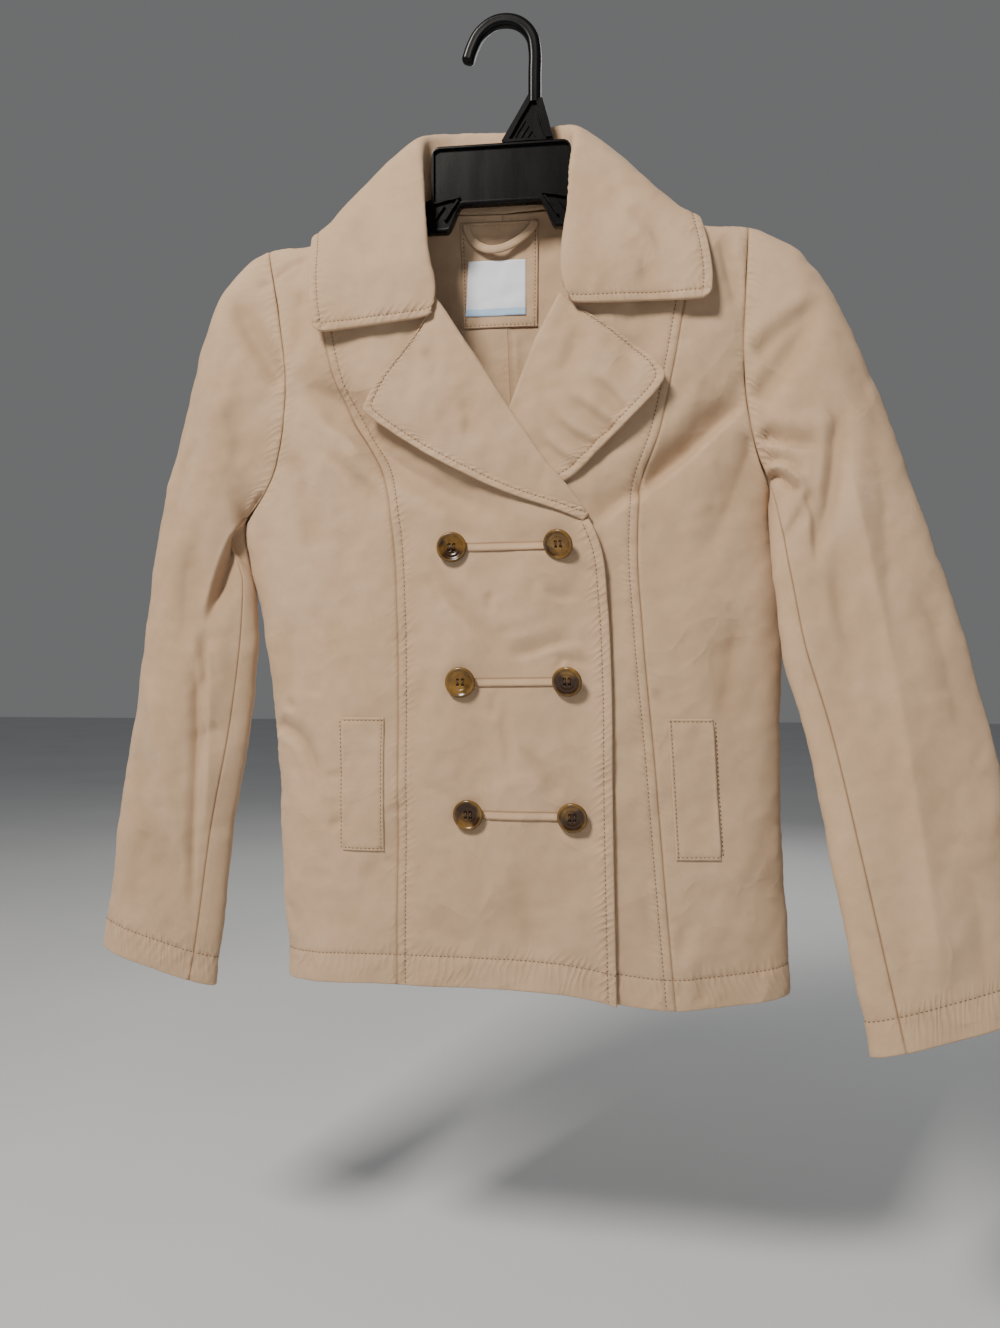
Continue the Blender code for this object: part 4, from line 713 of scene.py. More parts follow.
SLEEVE_RELIEF = {
    (Side.RIGHT, Face.FRONT): Relief((
        Crease(((-222, -208), (-201, -246), (-184, -271), (-176, -287)), 3.2, 7.0, 1.5, 0.2,
               (0.3, 0.1)),
        Crease(((-200, -205), (-185, -197)), 0.9, 3.0, 1.4, 0.3, (0.3, 0.1)),
        Crease(((-182, -366), (-196, -376), (-208, -396), (-220, -418), (-229, -441),
                (-240, -481)), 7.0, 2.6, 4.0, 0.15, (0.03, 0.3)),
        Crease(((-224, -298), (-216, -326), (-215, -356)), 1.6, 9.0, 1.3, 0.1),
        Crease(((-252, -404), (-259, -456), (-256, -500)), 1.8, 9.0, 1.3, 0.15),
        Crease(((-302, -560), (-292, -640), (-266, -700)), 1.2, 11.0, 1.3, 0.1),
        Crease(((-243, -480), (-243, -494), (-240, -515), (-248, -542)), 2.0, 3.6, 2.0, 0.3),
        Crease(((-236, -486), (-236, -520), (-236, -554), (-238, -611), (-243, -668)), -2.2, 3.0, 2.4,
               0.0, (0.1, 0.4)),
        Crease(((-249, -498), (-248, -570), (-251, -668), (-252, -726)), 2.0, 3.4, 0.7, 0.1,
               (0.15, 0.3)),
        Crease(((-296, -500), (-287, -538), (-268, -619), (-250, -690)), -2.4, 8.0, 1.8, 0.0,
               (0.3, 0.3)),
        Crease(((-240, -320), (-262, -352), (-268, -394)), 0.9, 6.0, 1.4, 0.2),
        Crease(((-228, -560), (-262, -576)), 0.8, 5.0, 1.4, 0.2, (0.05, 0.5)),
        Crease(((-296, -640), (-302, -690), (-300, -730)), 0.8, 7.0, 1.4, 0.1),
    )),
    (Side.RIGHT, Face.BACK): Relief((
        Crease(((-190, -366), (-212, -388), (-236, -430), (-246, -476)), 3.0, 6.0, 0.7, 0.2,
               (0.03, 0.4)),
        Crease(((-236, -214), (-214, -252), (-190, -290)), 2.2, 8.0, 1.4, 0.2, (0.3, 0.1)),
        Crease(((-230, -330), (-252, -372), (-262, -420)), 1.4, 8.0, 1.4, 0.2),
        Crease(((-222, -486), (-254, -500), (-284, -488)), 1.6, 4.5, 1.6, 0.3, (0.05, 0.4)),
        Crease(((-286, -540), (-282, -620), (-266, -690)), 1.8, 11.0, 1.3, 0.1),
        Crease(((-240, -600), (-262, -616), (-290, -606)), 0.9, 5.0, 1.5, 0.3),
        Crease(((-300, -650), (-306, -720)), 0.8, 7.0, 1.4, 0.1),
    )),
    (Side.LEFT, Face.FRONT): Relief((
        Crease(((250, -232), (220, -253), (194, -275)), 2.4, 6.0, 1.7, 0.25, (0.4, 0.08)),
        Crease(((242, -246), (220, -274), (194, -310)), 2.4, 5.5, 1.7, 0.25, (0.4, 0.08)),
        Crease(((199, -336), (216, -342), (252, -349)), 3.4, 2.6, 3.0, 0.35, (0.05, 0.5)),
        Crease(((202, -353), (217, -357), (231, -371)), 1.7, 2.0, 1.6, 0.2, (0.1, 0.3)),
        Crease(((204, -360), (217, -363), (229, -377)), -1.7, 2.4, 1.2, 0.0, (0.1, 0.2)),
        Crease(((205, -366), (213, -371), (222, -378), (229, -380)), 2.6, 1.8, 2.0, 0.2, (0.05, 0.3)),
        Crease(((229, -380), (235, -399), (236, -417), (238, -442)), 1.8, 2.2, 2.2, 0.15, (0.1, 0.4)),
        Crease(((231, -389), (221, -405), (211, -421)), 1.1, 2.6, 1.6, 0.2),
        Crease(((243, -308), (252, -323), (251, -349), (242, -405), (230, -438)), 2.4, 4.6, 1.8, 0.25),
        Crease(((249, -433), (252, -469), (262, -512)), 1.3, 4.5, 1.6, 0.3),
        Crease(((276, -308), (285, -387), (286, -480), (299, -612)), 1.8, 11.0, 1.3, 0.1),
        Crease(((253, -325), (271, -420), (287, -510), (300, -620), (311, -738)), -3.4, 7.0, 2.6,
               0.0, (0.25, 0.1)),
        Crease(((297, -430), (320, -491), (336, -584)), 1.4, 8.0, 1.5, 0.15),
        Crease(((262, -268), (280, -318), (288, -352)), 0.9, 7.0, 1.4, 0.2),
        Crease(((330, -640), (338, -690), (336, -742)), 1.0, 7.0, 1.4, 0.1),
        Crease(((262, -690), (280, -716)), 0.7, 5.0, 1.4, 0.2),
    )),
    (Side.LEFT, Face.BACK): Relief((
        Crease(((240, -228), (216, -262), (190, -302)), 2.4, 7.0, 1.5, 0.2, (0.4, 0.08)),
        Crease(((200, -360), (222, -380), (246, -420), (256, -470)), 3.0, 6.0, 1.6, 0.2, (0.03, 0.4)),
        Crease(((250, -306), (262, -352), (262, -410)), 1.6, 6.0, 1.6, 0.2),
        Crease(((238, -480), (270, -496), (306, -484)), 1.8, 4.5, 1.6, 0.3, (0.05, 0.4)),
        Crease(((296, -430), (312, -500), (330, -590)), 1.6, 9.0, 1.4, 0.1),
        Crease(((266, -610), (290, -624), (322, -612)), 0.9, 5.0, 1.5, 0.3),
        Crease(((326, -640), (336, -720)), 1.0, 8.0, 1.4, 0.1),
    )),
}
COLLAR_RELIEF = Relief((
    Crease(((96, -160), (118, -178), (128, -204)), 1.2, 5.0, 2.0, 0.2),
    Crease(((92, -186), (112, -206), (110, -230)), 1.0, 4.0, 2.0, 0.2),
    Crease(((-122, -150), (-108, -176), (-100, -206)), 0.9, 6.0, 2.0, 0.2),
))
LAPEL_RELIEF = {
    Side.RIGHT: Relief((
        Crease(((-62, -262), (-50, -276), (-46, -292)), 1.0, 4.0, 2.0, 0.2),
        Crease(((-30, -300), (-22, -320), (-26, -340)), 1.0, 4.0, 2.0, 0.2),
        Crease(((16, -352), (30, -362), (40, -380)), 0.5, 4.0, 1.5, 0.2),
    )),
    Side.LEFT: Relief((
        Crease(((96, -318), (82, -300), (66, -290)), 1.7, 3.4, 2.2, 0.3, (0.05, 0.5)),
        Crease(((88, -332), (68, -316), (48, -302)), 1.9, 3.8, 2.2, 0.3, (0.05, 0.5)),
        Crease(((74, -344), (54, -332), (36, -312)), 1.8, 3.4, 2.2, 0.3, (0.05, 0.5)),
        Crease(((60, -358), (42, -346), (26, -322)), 1.4, 3.0, 2.2, 0.3, (0.05, 0.5)),
        Crease(((106, -300), (98, -284), (84, -270)), 0.8, 4.5, 1.5, 0.2),
        Crease(((60, -246), (58, -268), (44, -290)), 1.2, 5.0, 2.0, 0.2),
    )),
}


# ---------------------------------------------------------------- cloth grids

@dataclass(frozen=True)
class Spacing:
    """Where a grid's lines lie between two edges: set distances near each, and even between."""
    low: tuple[float, ...]
    high: tuple[float, ...]
    pitch: float

    def distances(self, total: Array) -> Array:
        """Distances of the lines from the low edge, for lines of these lengths.

        Where a line is too short for both borders, the borders' distances shrink in proportion.
        """
        total = np.asarray(total, float).reshape(-1, 1)
        low, high = np.array((0.0,) + self.low), np.array((0.0,) + self.high)
        border = low[-1] + high[-1]
        squeeze = np.minimum(1.0, total / (border + self.pitch))
        count = max(int(math.ceil((total.max() - border) / self.pitch)), 1)
        share = np.linspace(0, 1, count + 1)[None, 1:-1]
        start, end = low[-1] * squeeze, total - high[-1] * squeeze
        return np.concatenate([low * squeeze, start + (end - start) * share,
                               total - high[::-1] * squeeze], 1)


def respaced(values: Array, places: Array, axis: int, spacing: Spacing) -> Array:
    """A grid's values read again at the spacing's distances along one axis.

    Every line's travelled distance is turned into a share and offset by the line's number, so
    one linear interpolation over the flattened grid serves all lines.
    """
    if axis == 0:
        turned = respaced(values.swapaxes(0, 1), places.swapaxes(0, 1), 1, spacing)
        return turned.swapaxes(0, 1)
    gone = travelled(places, 1)
    total = np.maximum(gone[:, -1:], 1e-6)
    line = np.arange(len(gone))[:, None]
    keys = (gone / total * 0.999999 + line).ravel()
    at = spacing.distances(total) / total * 0.999999 + line
    flat = resampled(values.reshape(-1, values.shape[-1]), keys, at.ravel())
    return flat.reshape(at.shape + (-1,))


def regrid(values: Array, rows: Spacing, columns: Spacing,
           place: Callable[[Array], Array] = lambda values: values[..., :3]) -> Array:
    """A grid's values read again down it and then across it.

    Args:
        values: the grid, whose first three values are its points unless place is given.
        rows: where the lines down it lie.
        columns: where the lines across it lie.
        place: the points under the values.

    Returns:
        The new grid's values.
    """
    values = respaced(values, place(values), 0, rows)
    return respaced(values, place(values), 1, columns)


@dataclass(frozen=True)
class Trim:
    """How the cloth lies along one edge: its roll, its stitching and its puckers.

    From the edge inwards the cloth rises out of a rolled-in edge by a bell curve, swells by a
    half sine up to the stitching, dips there by a narrow bell, and carries puckers whose
    profile is 2|sin| - 1 along the edge, strongest at the stitching and fading by a bell. A
    free edge thins to a rounded rim instead of rolling in. Work that begins below a height
    fades in there.
    """
    stitch: float = 0.0
    free: bool = False
    sink: float = 0.75
    sink_width: float = 1.2
    swell: float = 0.14
    groove: float = 0.38
    pucker: float = 0.15
    pitch: float = 7.5
    reach: float = 6.0
    skew: float = 0.3
    seed: float = 0.0
    below: float = 1e4
    turned_in: float = 0.0
    laid_below: float = 1e4
    double: bool = False
    lift: float = 0.0
    lift_reach: float = 20.0

    @property
    def rows(self) -> tuple[float, ...]:
        """Distances of the rows of stitching from the edge."""
        if not self.stitch:
            return ()
        return (self.stitch, self.stitch - 5.0) if self.double else (self.stitch,)

    def work(self, z: Array) -> Array:
        """1 where the trim's stitching is worked, 0 where it is not."""
        return 1 - smoothstep(self.below - 6, self.below + 2, z)

    def envelope(self, gap: Array) -> Array:
        """How strongly puckers show at a distance from the edge."""
        if self.stitch:
            inside = 0.35 + 0.65 * smoothstep(0, self.stitch, gap)
            return inside * np.exp(-(np.maximum(gap - self.stitch, 0) / self.reach) ** 2)
        return smoothstep(0, 1.5, gap) * np.exp(-(gap / self.reach) ** 2)

    def puckers(self, gap: Array, run: Array) -> Array:
        """Height of the puckers at a distance from the edge and along it."""
        phase = (np.pi * (run + self.skew * gap) / self.pitch + 1.3 * np.sin(run / 23 + self.seed)
                 + 0.8 * np.sin(run / 9.1 + 2.3 * self.seed))
        strength = 0.65 + 0.35 * np.sin(run / 31 + 1.7 * self.seed)
        profile = 1 - 2 * np.abs(np.sin(phase)) ** 0.8
        return self.pucker * strength * profile * self.envelope(gap)

    def pull(self, gap: Array, run: Array, z: Array) -> Array:
        """Share of the finish's own fine puckers beside this edge, uneven along it."""
        uneven = 0.7 + 0.3 * np.sin(run / 27 + 2.1 * self.seed) * np.sin(run / 11 + self.seed)
        work = self.work(z) if self.stitch else 1.0
        return np.minimum(1.5 * self.pucker, 0.6) * uneven * self.envelope(gap) * work

    def height(self, gap: Array, run: Array, z: Array) -> tuple[Array, Array]:
        """Height of the cloth and its mask of painted shade beside this edge."""
        work = self.work(z) if self.stitch else np.ones_like(gap)
        out = self.puckers(gap, run) * work
        painted_shade = np.zeros_like(gap)
        # The mask paints shade into the rolled-in seam line and into each stitch groove.
        if not self.free:
            out = out - self.sink * np.exp(-(gap / self.sink_width) ** 2)
            painted_shade = painted_shade + 0.8 * np.exp(-(gap / 0.7) ** 2)
        for row in self.rows:
            out = out - self.groove * np.exp(-((gap - row) / 0.9) ** 2) * work
            painted_shade = painted_shade + 0.26 * np.exp(-((gap - row) / 0.8) ** 2) * work
        if self.stitch:
            half = np.clip(gap / self.stitch, 0, 1)
            out = out + self.swell * np.sin(np.pi * half) * work
        out = out + self.lift * (1 - smoothstep(0, self.lift_reach, gap)) * work
        return out, painted_shade

    def thinning(self, gap: Array) -> Array:
        """Share of the thickness left near a free edge: a quarter ellipse 0.9 mm wide."""
        if not self.free:
            return np.ones_like(gap)
        return 0.35 + 0.65 * np.sqrt(1 - (1 - np.clip(gap / 0.9, 0, 1)) ** 2)

    def extra(self, gap: Array, z: Array) -> Array:
        """Thickness that a turned-in hem or seam allowance adds on the inside."""
        if not self.turned_in:
            return np.zeros_like(gap)
        laid = 1 - smoothstep(self.turned_in - 0.1, self.turned_in + 0.6, gap)
        return 0.85 * laid * (1 - smoothstep(self.laid_below - 6, self.laid_below + 2, z))


PLAIN_STEPS = (0.5, 1.1, 2.0, 3.6)
STITCHED_STEPS = (0.5, 1.1, 2.0, 3.4, 5.0, 6.0, 6.6, 7.2, 8.4, 10.4)
HEM_STEPS = (0.4, 1.0, 2.4, 4.6, 7.0, 9.4, 11.8, 14.2, 16.6, 19.0, 21.2, 22.8, 23.5, 24.3,
             26.0, 28.2)
PLATE_STEPS = (0.5, 1.2, 1.9, 2.6, 3.8)
STITCH_AT = 6.6
HEM_AT = 23.5
PLAIN = Trim()
BARE = Trim(free=True, pucker=0.0)
HEMMED = Trim(stitch=HEM_AT, free=True, swell=0.25, pucker=0.32, pitch=8.5, reach=7.0, skew=0.6,
              turned_in=24.5)


@dataclass
class ClothGrid:
    """A grid of cloth: its plain surface, the directions out of it, and its four trims."""
    places: Array
    normals: Array
    trims: dict[Edge, Trim]
    thick: float = 1.2
    gaps: dict[Edge, Array] = field(init=False)
    height: Array = field(init=False)
    relief: Array = field(init=False)
    # Painted shade, 0 to 1, in seams, stitch grooves and crease troughs.
    painted_shade: Array = field(init=False)
    pulls: Array = field(init=False)

    def __post_init__(self) -> None:
        """Measures the distance from each edge, and starts from the plain surface."""
        across, down = travelled(self.places, 1), travelled(self.places, 0)
        self.gaps = {Edge.START: across, Edge.END: across[:, -1:] - across,
                     Edge.TOP: down, Edge.BOTTOM: down[-1:] - down}
        self.height, self.relief, self.painted_shade = (np.zeros(self.places.shape[:2]) for _ in range(3))
        self.pulls = np.zeros(self.places.shape[:2] + (2,))

    def shape(self, relief: Array) -> None:
        """Adds the creases, eased off at seams, and every edge's trim, with painted shade in seams,
        stitch grooves and crease troughs.
        """
        self.height = self.height + relief
        self.relief = self.relief + relief
        for edge, trim in self.trims.items():
            gap = self.gaps[edge]
            run = self.gaps[Edge.TOP if edge.upright else Edge.START]
            rise, painted_shade = trim.height(gap, run, self.places[..., 2])
            self.height = self.height + rise
            self.painted_shade = self.painted_shade + painted_shade
            self.pulls[..., 0 if edge.upright else 1] += trim.pull(gap, run, self.places[..., 2])
        # Painted shade in the crease troughs, darker where they are deeper.
        self.painted_shade = np.clip(self.painted_shade + np.clip(-relief, 0, 3) * 0.1, 0, 1)

    def round_corner(self, first: Edge, second: Edge, radius: float) -> None:
        """Rounds a corner: the square beside it is mapped onto a quarter disc.

        With u and v the shares left to the far sides of the square, u becomes
        u sqrt(1 - v^2/2) and v becomes v sqrt(1 - u^2/2), and points move by the difference
        along the two edges' inward directions.
        """
        inward = {}
        for edge in (first, second):
            step = unit(np.gradient(self.places, axis=int(edge.upright)))
            inward[edge] = step if edge in (Edge.START, Edge.TOP) else -step
        u = np.clip(1 - self.gaps[first] / radius, 0, 1)
        v = np.clip(1 - self.gaps[second] / radius, 0, 1)
        for edge, old, new in ((first, u, u * np.sqrt(1 - v * v / 2)),
                               (second, v, v * np.sqrt(1 - u * u / 2))):
            self.places = self.places + inward[edge] * ((old - new) * radius)[..., None]

    def outer(self) -> Array:
        """The outer face, thinned to its rounded rims."""
        return self.places + self.normals * (self.height - self.rim_loss() / 2)[..., None]

    def inner(self) -> Array:
        """The inner face: the outer one moved in by the thickness, with its trims softened."""
        extra = sum((trim.extra(self.gaps[edge], self.places[..., 2])
                     for edge, trim in self.trims.items()), np.zeros_like(self.height))
        level = self.relief + 0.4 * (self.height - self.relief)
        level = level - self.thick - extra + self.rim_loss() / 2
        return self.places + self.normals * level[..., None]

    def rim_loss(self) -> Array:
        """Thickness lost near the free edges."""
        left = np.ones_like(self.height)
        for edge, trim in self.trims.items():
            left = np.minimum(left, trim.thinning(self.gaps[edge]))
        return self.thick * (1 - left)


# ---------------------------------------------------------------- meshes

def outwards(points: Array, quads: Array) -> Array:
    """Faces turned to enclose a positive volume: the sum of their corners' triple products."""
    a, b, c, d = (points[quads[:, k]] for k in range(4))
    volume = (np.einsum("ij,ij->i", a, np.cross(b, c))
              + np.einsum("ij,ij->i", a, np.cross(c, d))).sum()
    return quads[:, ::-1] if volume < 0 else quads


def finish_mesh(name: str, points: Array, quads: Array, slot: Slot, look: bpy.types.Material,
                weave: Array | None = None, marks: Array | None = None,
                angle: float = 62.0) -> bpy.types.Object:
    """One object from arrays of points and four-cornered faces.

    Args:
        name: the piece's name.
        points: (n, 3) points in millimetres.
        quads: (m, 4) corners; a face with its last corner repeated is a triangle.
        slot: the record's slot; not used.
        look: its material.
        weave: (n, 2) distances over the cloth in millimetres.
        marks: (n, 3) masks of painted shade, of puckers across and of puckers down; on a button the
            first is its painted rim highlight.
        angle: edges sharper than this stay sharp.

    Returns:
        The object, riding on the body.
    """
    points = np.asarray(points, float) * MM
    quads = outwards(points, quads)
    three = quads[:, 2] == quads[:, 3]
    swapped = quads[:, 0] == quads[:, 1]
    quads = np.where(swapped[:, None], np.roll(quads, -1, 1), quads)
    three = three | swapped
    size = np.where(three, 3, 4)
    keep = np.ones(quads.shape, bool)
    keep[three, 3] = False
    corners = quads[keep]
    mesh = bpy.data.meshes.new(name)
    mesh.vertices.add(len(points))
    mesh.vertices.foreach_set("co", points.astype(np.float32).ravel())
    mesh.loops.add(len(corners))
    mesh.loops.foreach_set("vertex_index", corners.astype(np.int32))
    mesh.polygons.add(len(quads))
    starts = np.concatenate([[0], np.cumsum(size)[:-1]])
    mesh.polygons.foreach_set("loop_start", starts.astype(np.int32))
    mesh.update(calc_edges=True)
    if weave is not None:
        layer = mesh.uv_layers.new(name="weave")
        layer.data.foreach_set("uv", (weave[corners] * MM).astype(np.float32).ravel())
    if marks is not None:
        mask = mesh.attributes.new("marks", "FLOAT_VECTOR", "POINT")
        mask.data.foreach_set("vector", marks.astype(np.float32).ravel())
    mesh.shade_smooth()
    mesh.set_sharp_from_angle(angle=math.radians(angle))
    mesh.materials.append(look)
    piece = bpy.data.objects.new(name, mesh)
    bpy.context.scene.collection.objects.link(piece)
    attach(piece, "root")
    log.info("%s: %d faces", name, len(quads))
    return piece


def grid_quads(rows: int, columns: int, wrap: bool = False) -> Array:
    """Faces of a grid of points, numbered row by row."""
    index = np.arange(rows * columns).reshape(rows, columns)
    if wrap:
        index = np.concatenate([index, index[:, :1]], 1)
    corners = [index[:-1, :-1], index[:-1, 1:], index[1:, 1:], index[1:, :-1]]
    return np.stack(corners, -1).reshape(-1, 4)


def fan(centre: int, ring: Array, flip: bool = False) -> Array:
    """Triangles from one point to a closed ring of points."""
    after = np.roll(ring, -1)
    first, last = (after, ring) if flip else (ring, after)
    return np.stack([np.full_like(ring, centre), first, last, last], 1)


BORDERS = {
    Edge.TOP: (np.s_[0], np.s_[1]), Edge.BOTTOM: (np.s_[-1], np.s_[-2]),
    Edge.START: (np.s_[:, 0], np.s_[:, 1]), Edge.END: (np.s_[:, -1], np.s_[:, -2])}


def shell(name: str, cloth: ClothGrid, look: bpy.types.Material,
          slot: Slot = Slot.TWILL) -> bpy.types.Object:
    """A closed wall of cloth: the outer face, the inner face and a rim between them.

    The rim has one more ring halfway, which stands out by 0.4 of the thickness at a free edge.
    """
    outer, inner = cloth.outer(), cloth.inner()
    rows, columns = outer.shape[:2]
    count = rows * columns
    index = np.arange(count).reshape(rows, columns)
    face = grid_quads(rows, columns)
    ring = np.concatenate([index[0, :-1], index[:-1, -1], index[-1, :0:-1], index[:0:-1, 0]])
    out = np.zeros((rows, columns, 3))
    for edge, (border, inside) in BORDERS.items():
        if cloth.trims[edge].free:
            out[border] = unit(outer[border] - outer[inside]) * 0.4 * cloth.thick
    middle = ((outer + inner) / 2 + out).reshape(-1, 3)[ring]
    around = np.arange(len(ring)) + 2 * count
    after = np.roll(ring, -1)
    quads = np.concatenate([
        face, face[:, ::-1] + count,
        np.stack([after, ring, around, np.roll(around, -1)], 1),
        np.stack([np.roll(around, -1), around, ring + count, after + count], 1)])
    weave = np.stack([cloth.gaps[Edge.START], cloth.gaps[Edge.TOP]], -1).reshape(-1, 2)
    # The first mark is painted shade; the other two are the shares of fine puckers across and down.
    marks = np.concatenate([cloth.painted_shade[..., None], cloth.pulls], -1).reshape(-1, 3)
    return finish_mesh(name, np.concatenate([outer.reshape(-1, 3), inner.reshape(-1, 3), middle]),
                       quads, slot, look, np.concatenate([weave, weave, weave[ring]]),
                       np.concatenate([marks, marks * 0.6, marks[ring]]))


@dataclass(frozen=True)
class Thread:
    """Lockstitches along a line on the cloth, each a small bar that dips in at both ends."""
    pitch: float = 3.3
    length: float = 2.0
    width: float = 0.42
    rise: float = 0.27

    def bars(self, line: Array, normals: Array) -> Array:
        """(stitches, 10, 3) corners of the bars along a run of points.

        Each bar is read at five places along the run; its ends are single points sunk into
        the cloth and its two inner rings are squares, width wide and rise high.
        """
        gone = travelled(line[None], 1)[0]
        start = np.arange(self.pitch * 0.4, gone[-1] - self.length, self.pitch)
        if len(start) == 0:
            return np.zeros((0, 10, 3))
        reads = {}
        for name, share in (("a", 0.0), ("b", 0.22), ("c", 0.78), ("d", 1.0)):
            at = start + share * self.length
            reads[name] = resampled(line, gone, at), unit(resampled(normals, gone, at))
        way = unit(reads["d"][0] - reads["a"][0])
        corners = [reads["a"][0] - reads["a"][1] * 0.25]
        for name in "bc":
            place, out = reads[name]
            side = unit(np.cross(out, way)) * self.width
            low, high = place - out * 0.15, place + out * self.rise
            corners += [low - side, high - side * 0.55, high + side * 0.55, low + side]
        corners.append(reads["d"][0] - reads["d"][1] * 0.25)
        return np.stack(corners, 1)


BAR_FACES = np.array([
    (0, 1, 2, 2), (0, 2, 3, 3), (0, 3, 4, 4), (0, 4, 1, 1),
    (1, 5, 6, 2), (2, 6, 7, 3), (3, 7, 8, 4), (4, 8, 5, 1),
    (9, 6, 5, 5), (9, 7, 6, 6), (9, 8, 7, 7), (9, 5, 8, 8)])


def stitching(name: str, lines: Sequence[tuple[Array, Array]], look: bpy.types.Material,
              thread: Thread = Thread()) -> bpy.types.Object:
    """One mesh of all the stitches along several lines of (points, normals)."""
    bars = np.concatenate([thread.bars(line, normals) for line, normals in lines])
    quads = (BAR_FACES[None] + 10 * np.arange(len(bars))[:, None, None]).reshape(-1, 4)
    return finish_mesh(name, bars.reshape(-1, 3), quads, Slot.TWILL, look, angle=180.0)


def stitch_lines(cloth: ClothGrid, edges: Sequence[Edge],
                 stop: float = 0.0) -> list[tuple[Array, Array]]:
    """The lines of points and normals under these edges' stitching.

    Args:
        cloth: the stitched cloth.
        edges: its stitched edges.
        stop: how far from the other edges in the list, if they cross, a line ends.

    Returns:
        One pair of arrays a line, only where the stitching is worked.
    """
    outer = cloth.outer()
    lines = []
    for edge in edges:
        gap = np.median(cloth.gaps[edge], axis=0 if edge.upright else 1)
        for row in cloth.trims[edge].rows:
            at = int(np.abs(gap - row).argmin())
            cut = np.s_[:, at] if edge.upright else np.s_[at]
            worked = cloth.trims[edge].work(cloth.places[cut][:, 2]) > 0.5
            for other in edges:
                if stop and other.upright != edge.upright:
                    worked = worked & (cloth.gaps[other][cut] > stop)
            if worked.sum() > 3:
                lines.append((outer[cut][worked], cloth.normals[cut][worked]))
    return lines


# ---------------------------------------------------------------- body panels

def coons(top: Array, bottom: Array, start: Array, end: Array) -> Array:
    """Parameter grid that fills four edges.

    The two ruled surfaces between opposite edges are added and the bilinear surface of the
    corners is taken off; the steps down the edges are those of their points.
    """
    u = np.linspace(0, 1, len(top))[None, :, None]
    v = np.linspace(0, 1, len(start))[:, None, None]
    blend = (1 - v) * top[None] + v * bottom[None] + (1 - u) * start[:, None] + u * end[:, None]
    corners = ((1 - u) * (1 - v) * top[0] + u * (1 - v) * top[-1]
               + (1 - u) * v * bottom[0] + u * v * bottom[-1])
    return blend - corners


def chart_of(points: Array) -> Array:
    """(across, down) pairs under a run of (x, z) points."""
    return np.stack(BODY.chart(points[:, 0], points[:, 1]), 1)


def shoulder_pairs(x: Array) -> Array:
    """(across, down) pairs on the shoulder line over these x."""
    pairs = chart_of(np.stack([x, np.full_like(x, SHOULDER_READ_Z)], 1))
    pairs[:, 1] = 0.0
    return pairs


def inset(places: Array, amount: float = 0.12) -> Array:
    """A grid whose border points lie this far inside its edges."""
    moved = places.copy()
    for border, inside in BORDERS.values():
        moved[border] += unit(places[inside] - places[border]) * amount
    return moved


SHOULDER_READ_Z = -160.0
CENTER_BACK_FOOT = Point(20.0, -760.0)
LAP_EDGE = Trim(stitch=STITCH_AT, free=True, swell=0.2, groove=0.45, pucker=0.5, pitch=6.4,
                reach=6.5, skew=0.25, seed=2.0, below=-399.0, lift=3.2)
CENTER_BACK = Trim(stitch=STITCH_AT, double=True, swell=0.2, pucker=0.12, turned_in=9.0,
                   laid_below=-236.0)
SLEEVE_SEAM = Trim(sink=0.5, sink_width=0.9, pucker=0.1)
ARMHOLE_TRIM = Trim(sink=0.6, sink_width=1.1, pucker=0.26, pitch=9.0, reach=7.0)
PRINCESS_SEAM = Trim(stitch=STITCH_AT, groove=0.5, pucker=0.26)


@dataclass(frozen=True)
class PanelCut:
    """One panel of the body, and the trims down its outer and its inner side."""
    side: Side
    part: str
    start: Trim
    end: Trim
    seed: float

    @property
    def face(self) -> Face:
        """The face of the coat it lies on."""
        return Face.BACK if self.part == "back" else Face.FRONT

    @property
    def name(self) -> str:
        """The frame's name for it."""
        side = self.side.name.lower()
        return f"back_{side}" if self.face == Face.BACK else f"front_{side}_{self.part}"


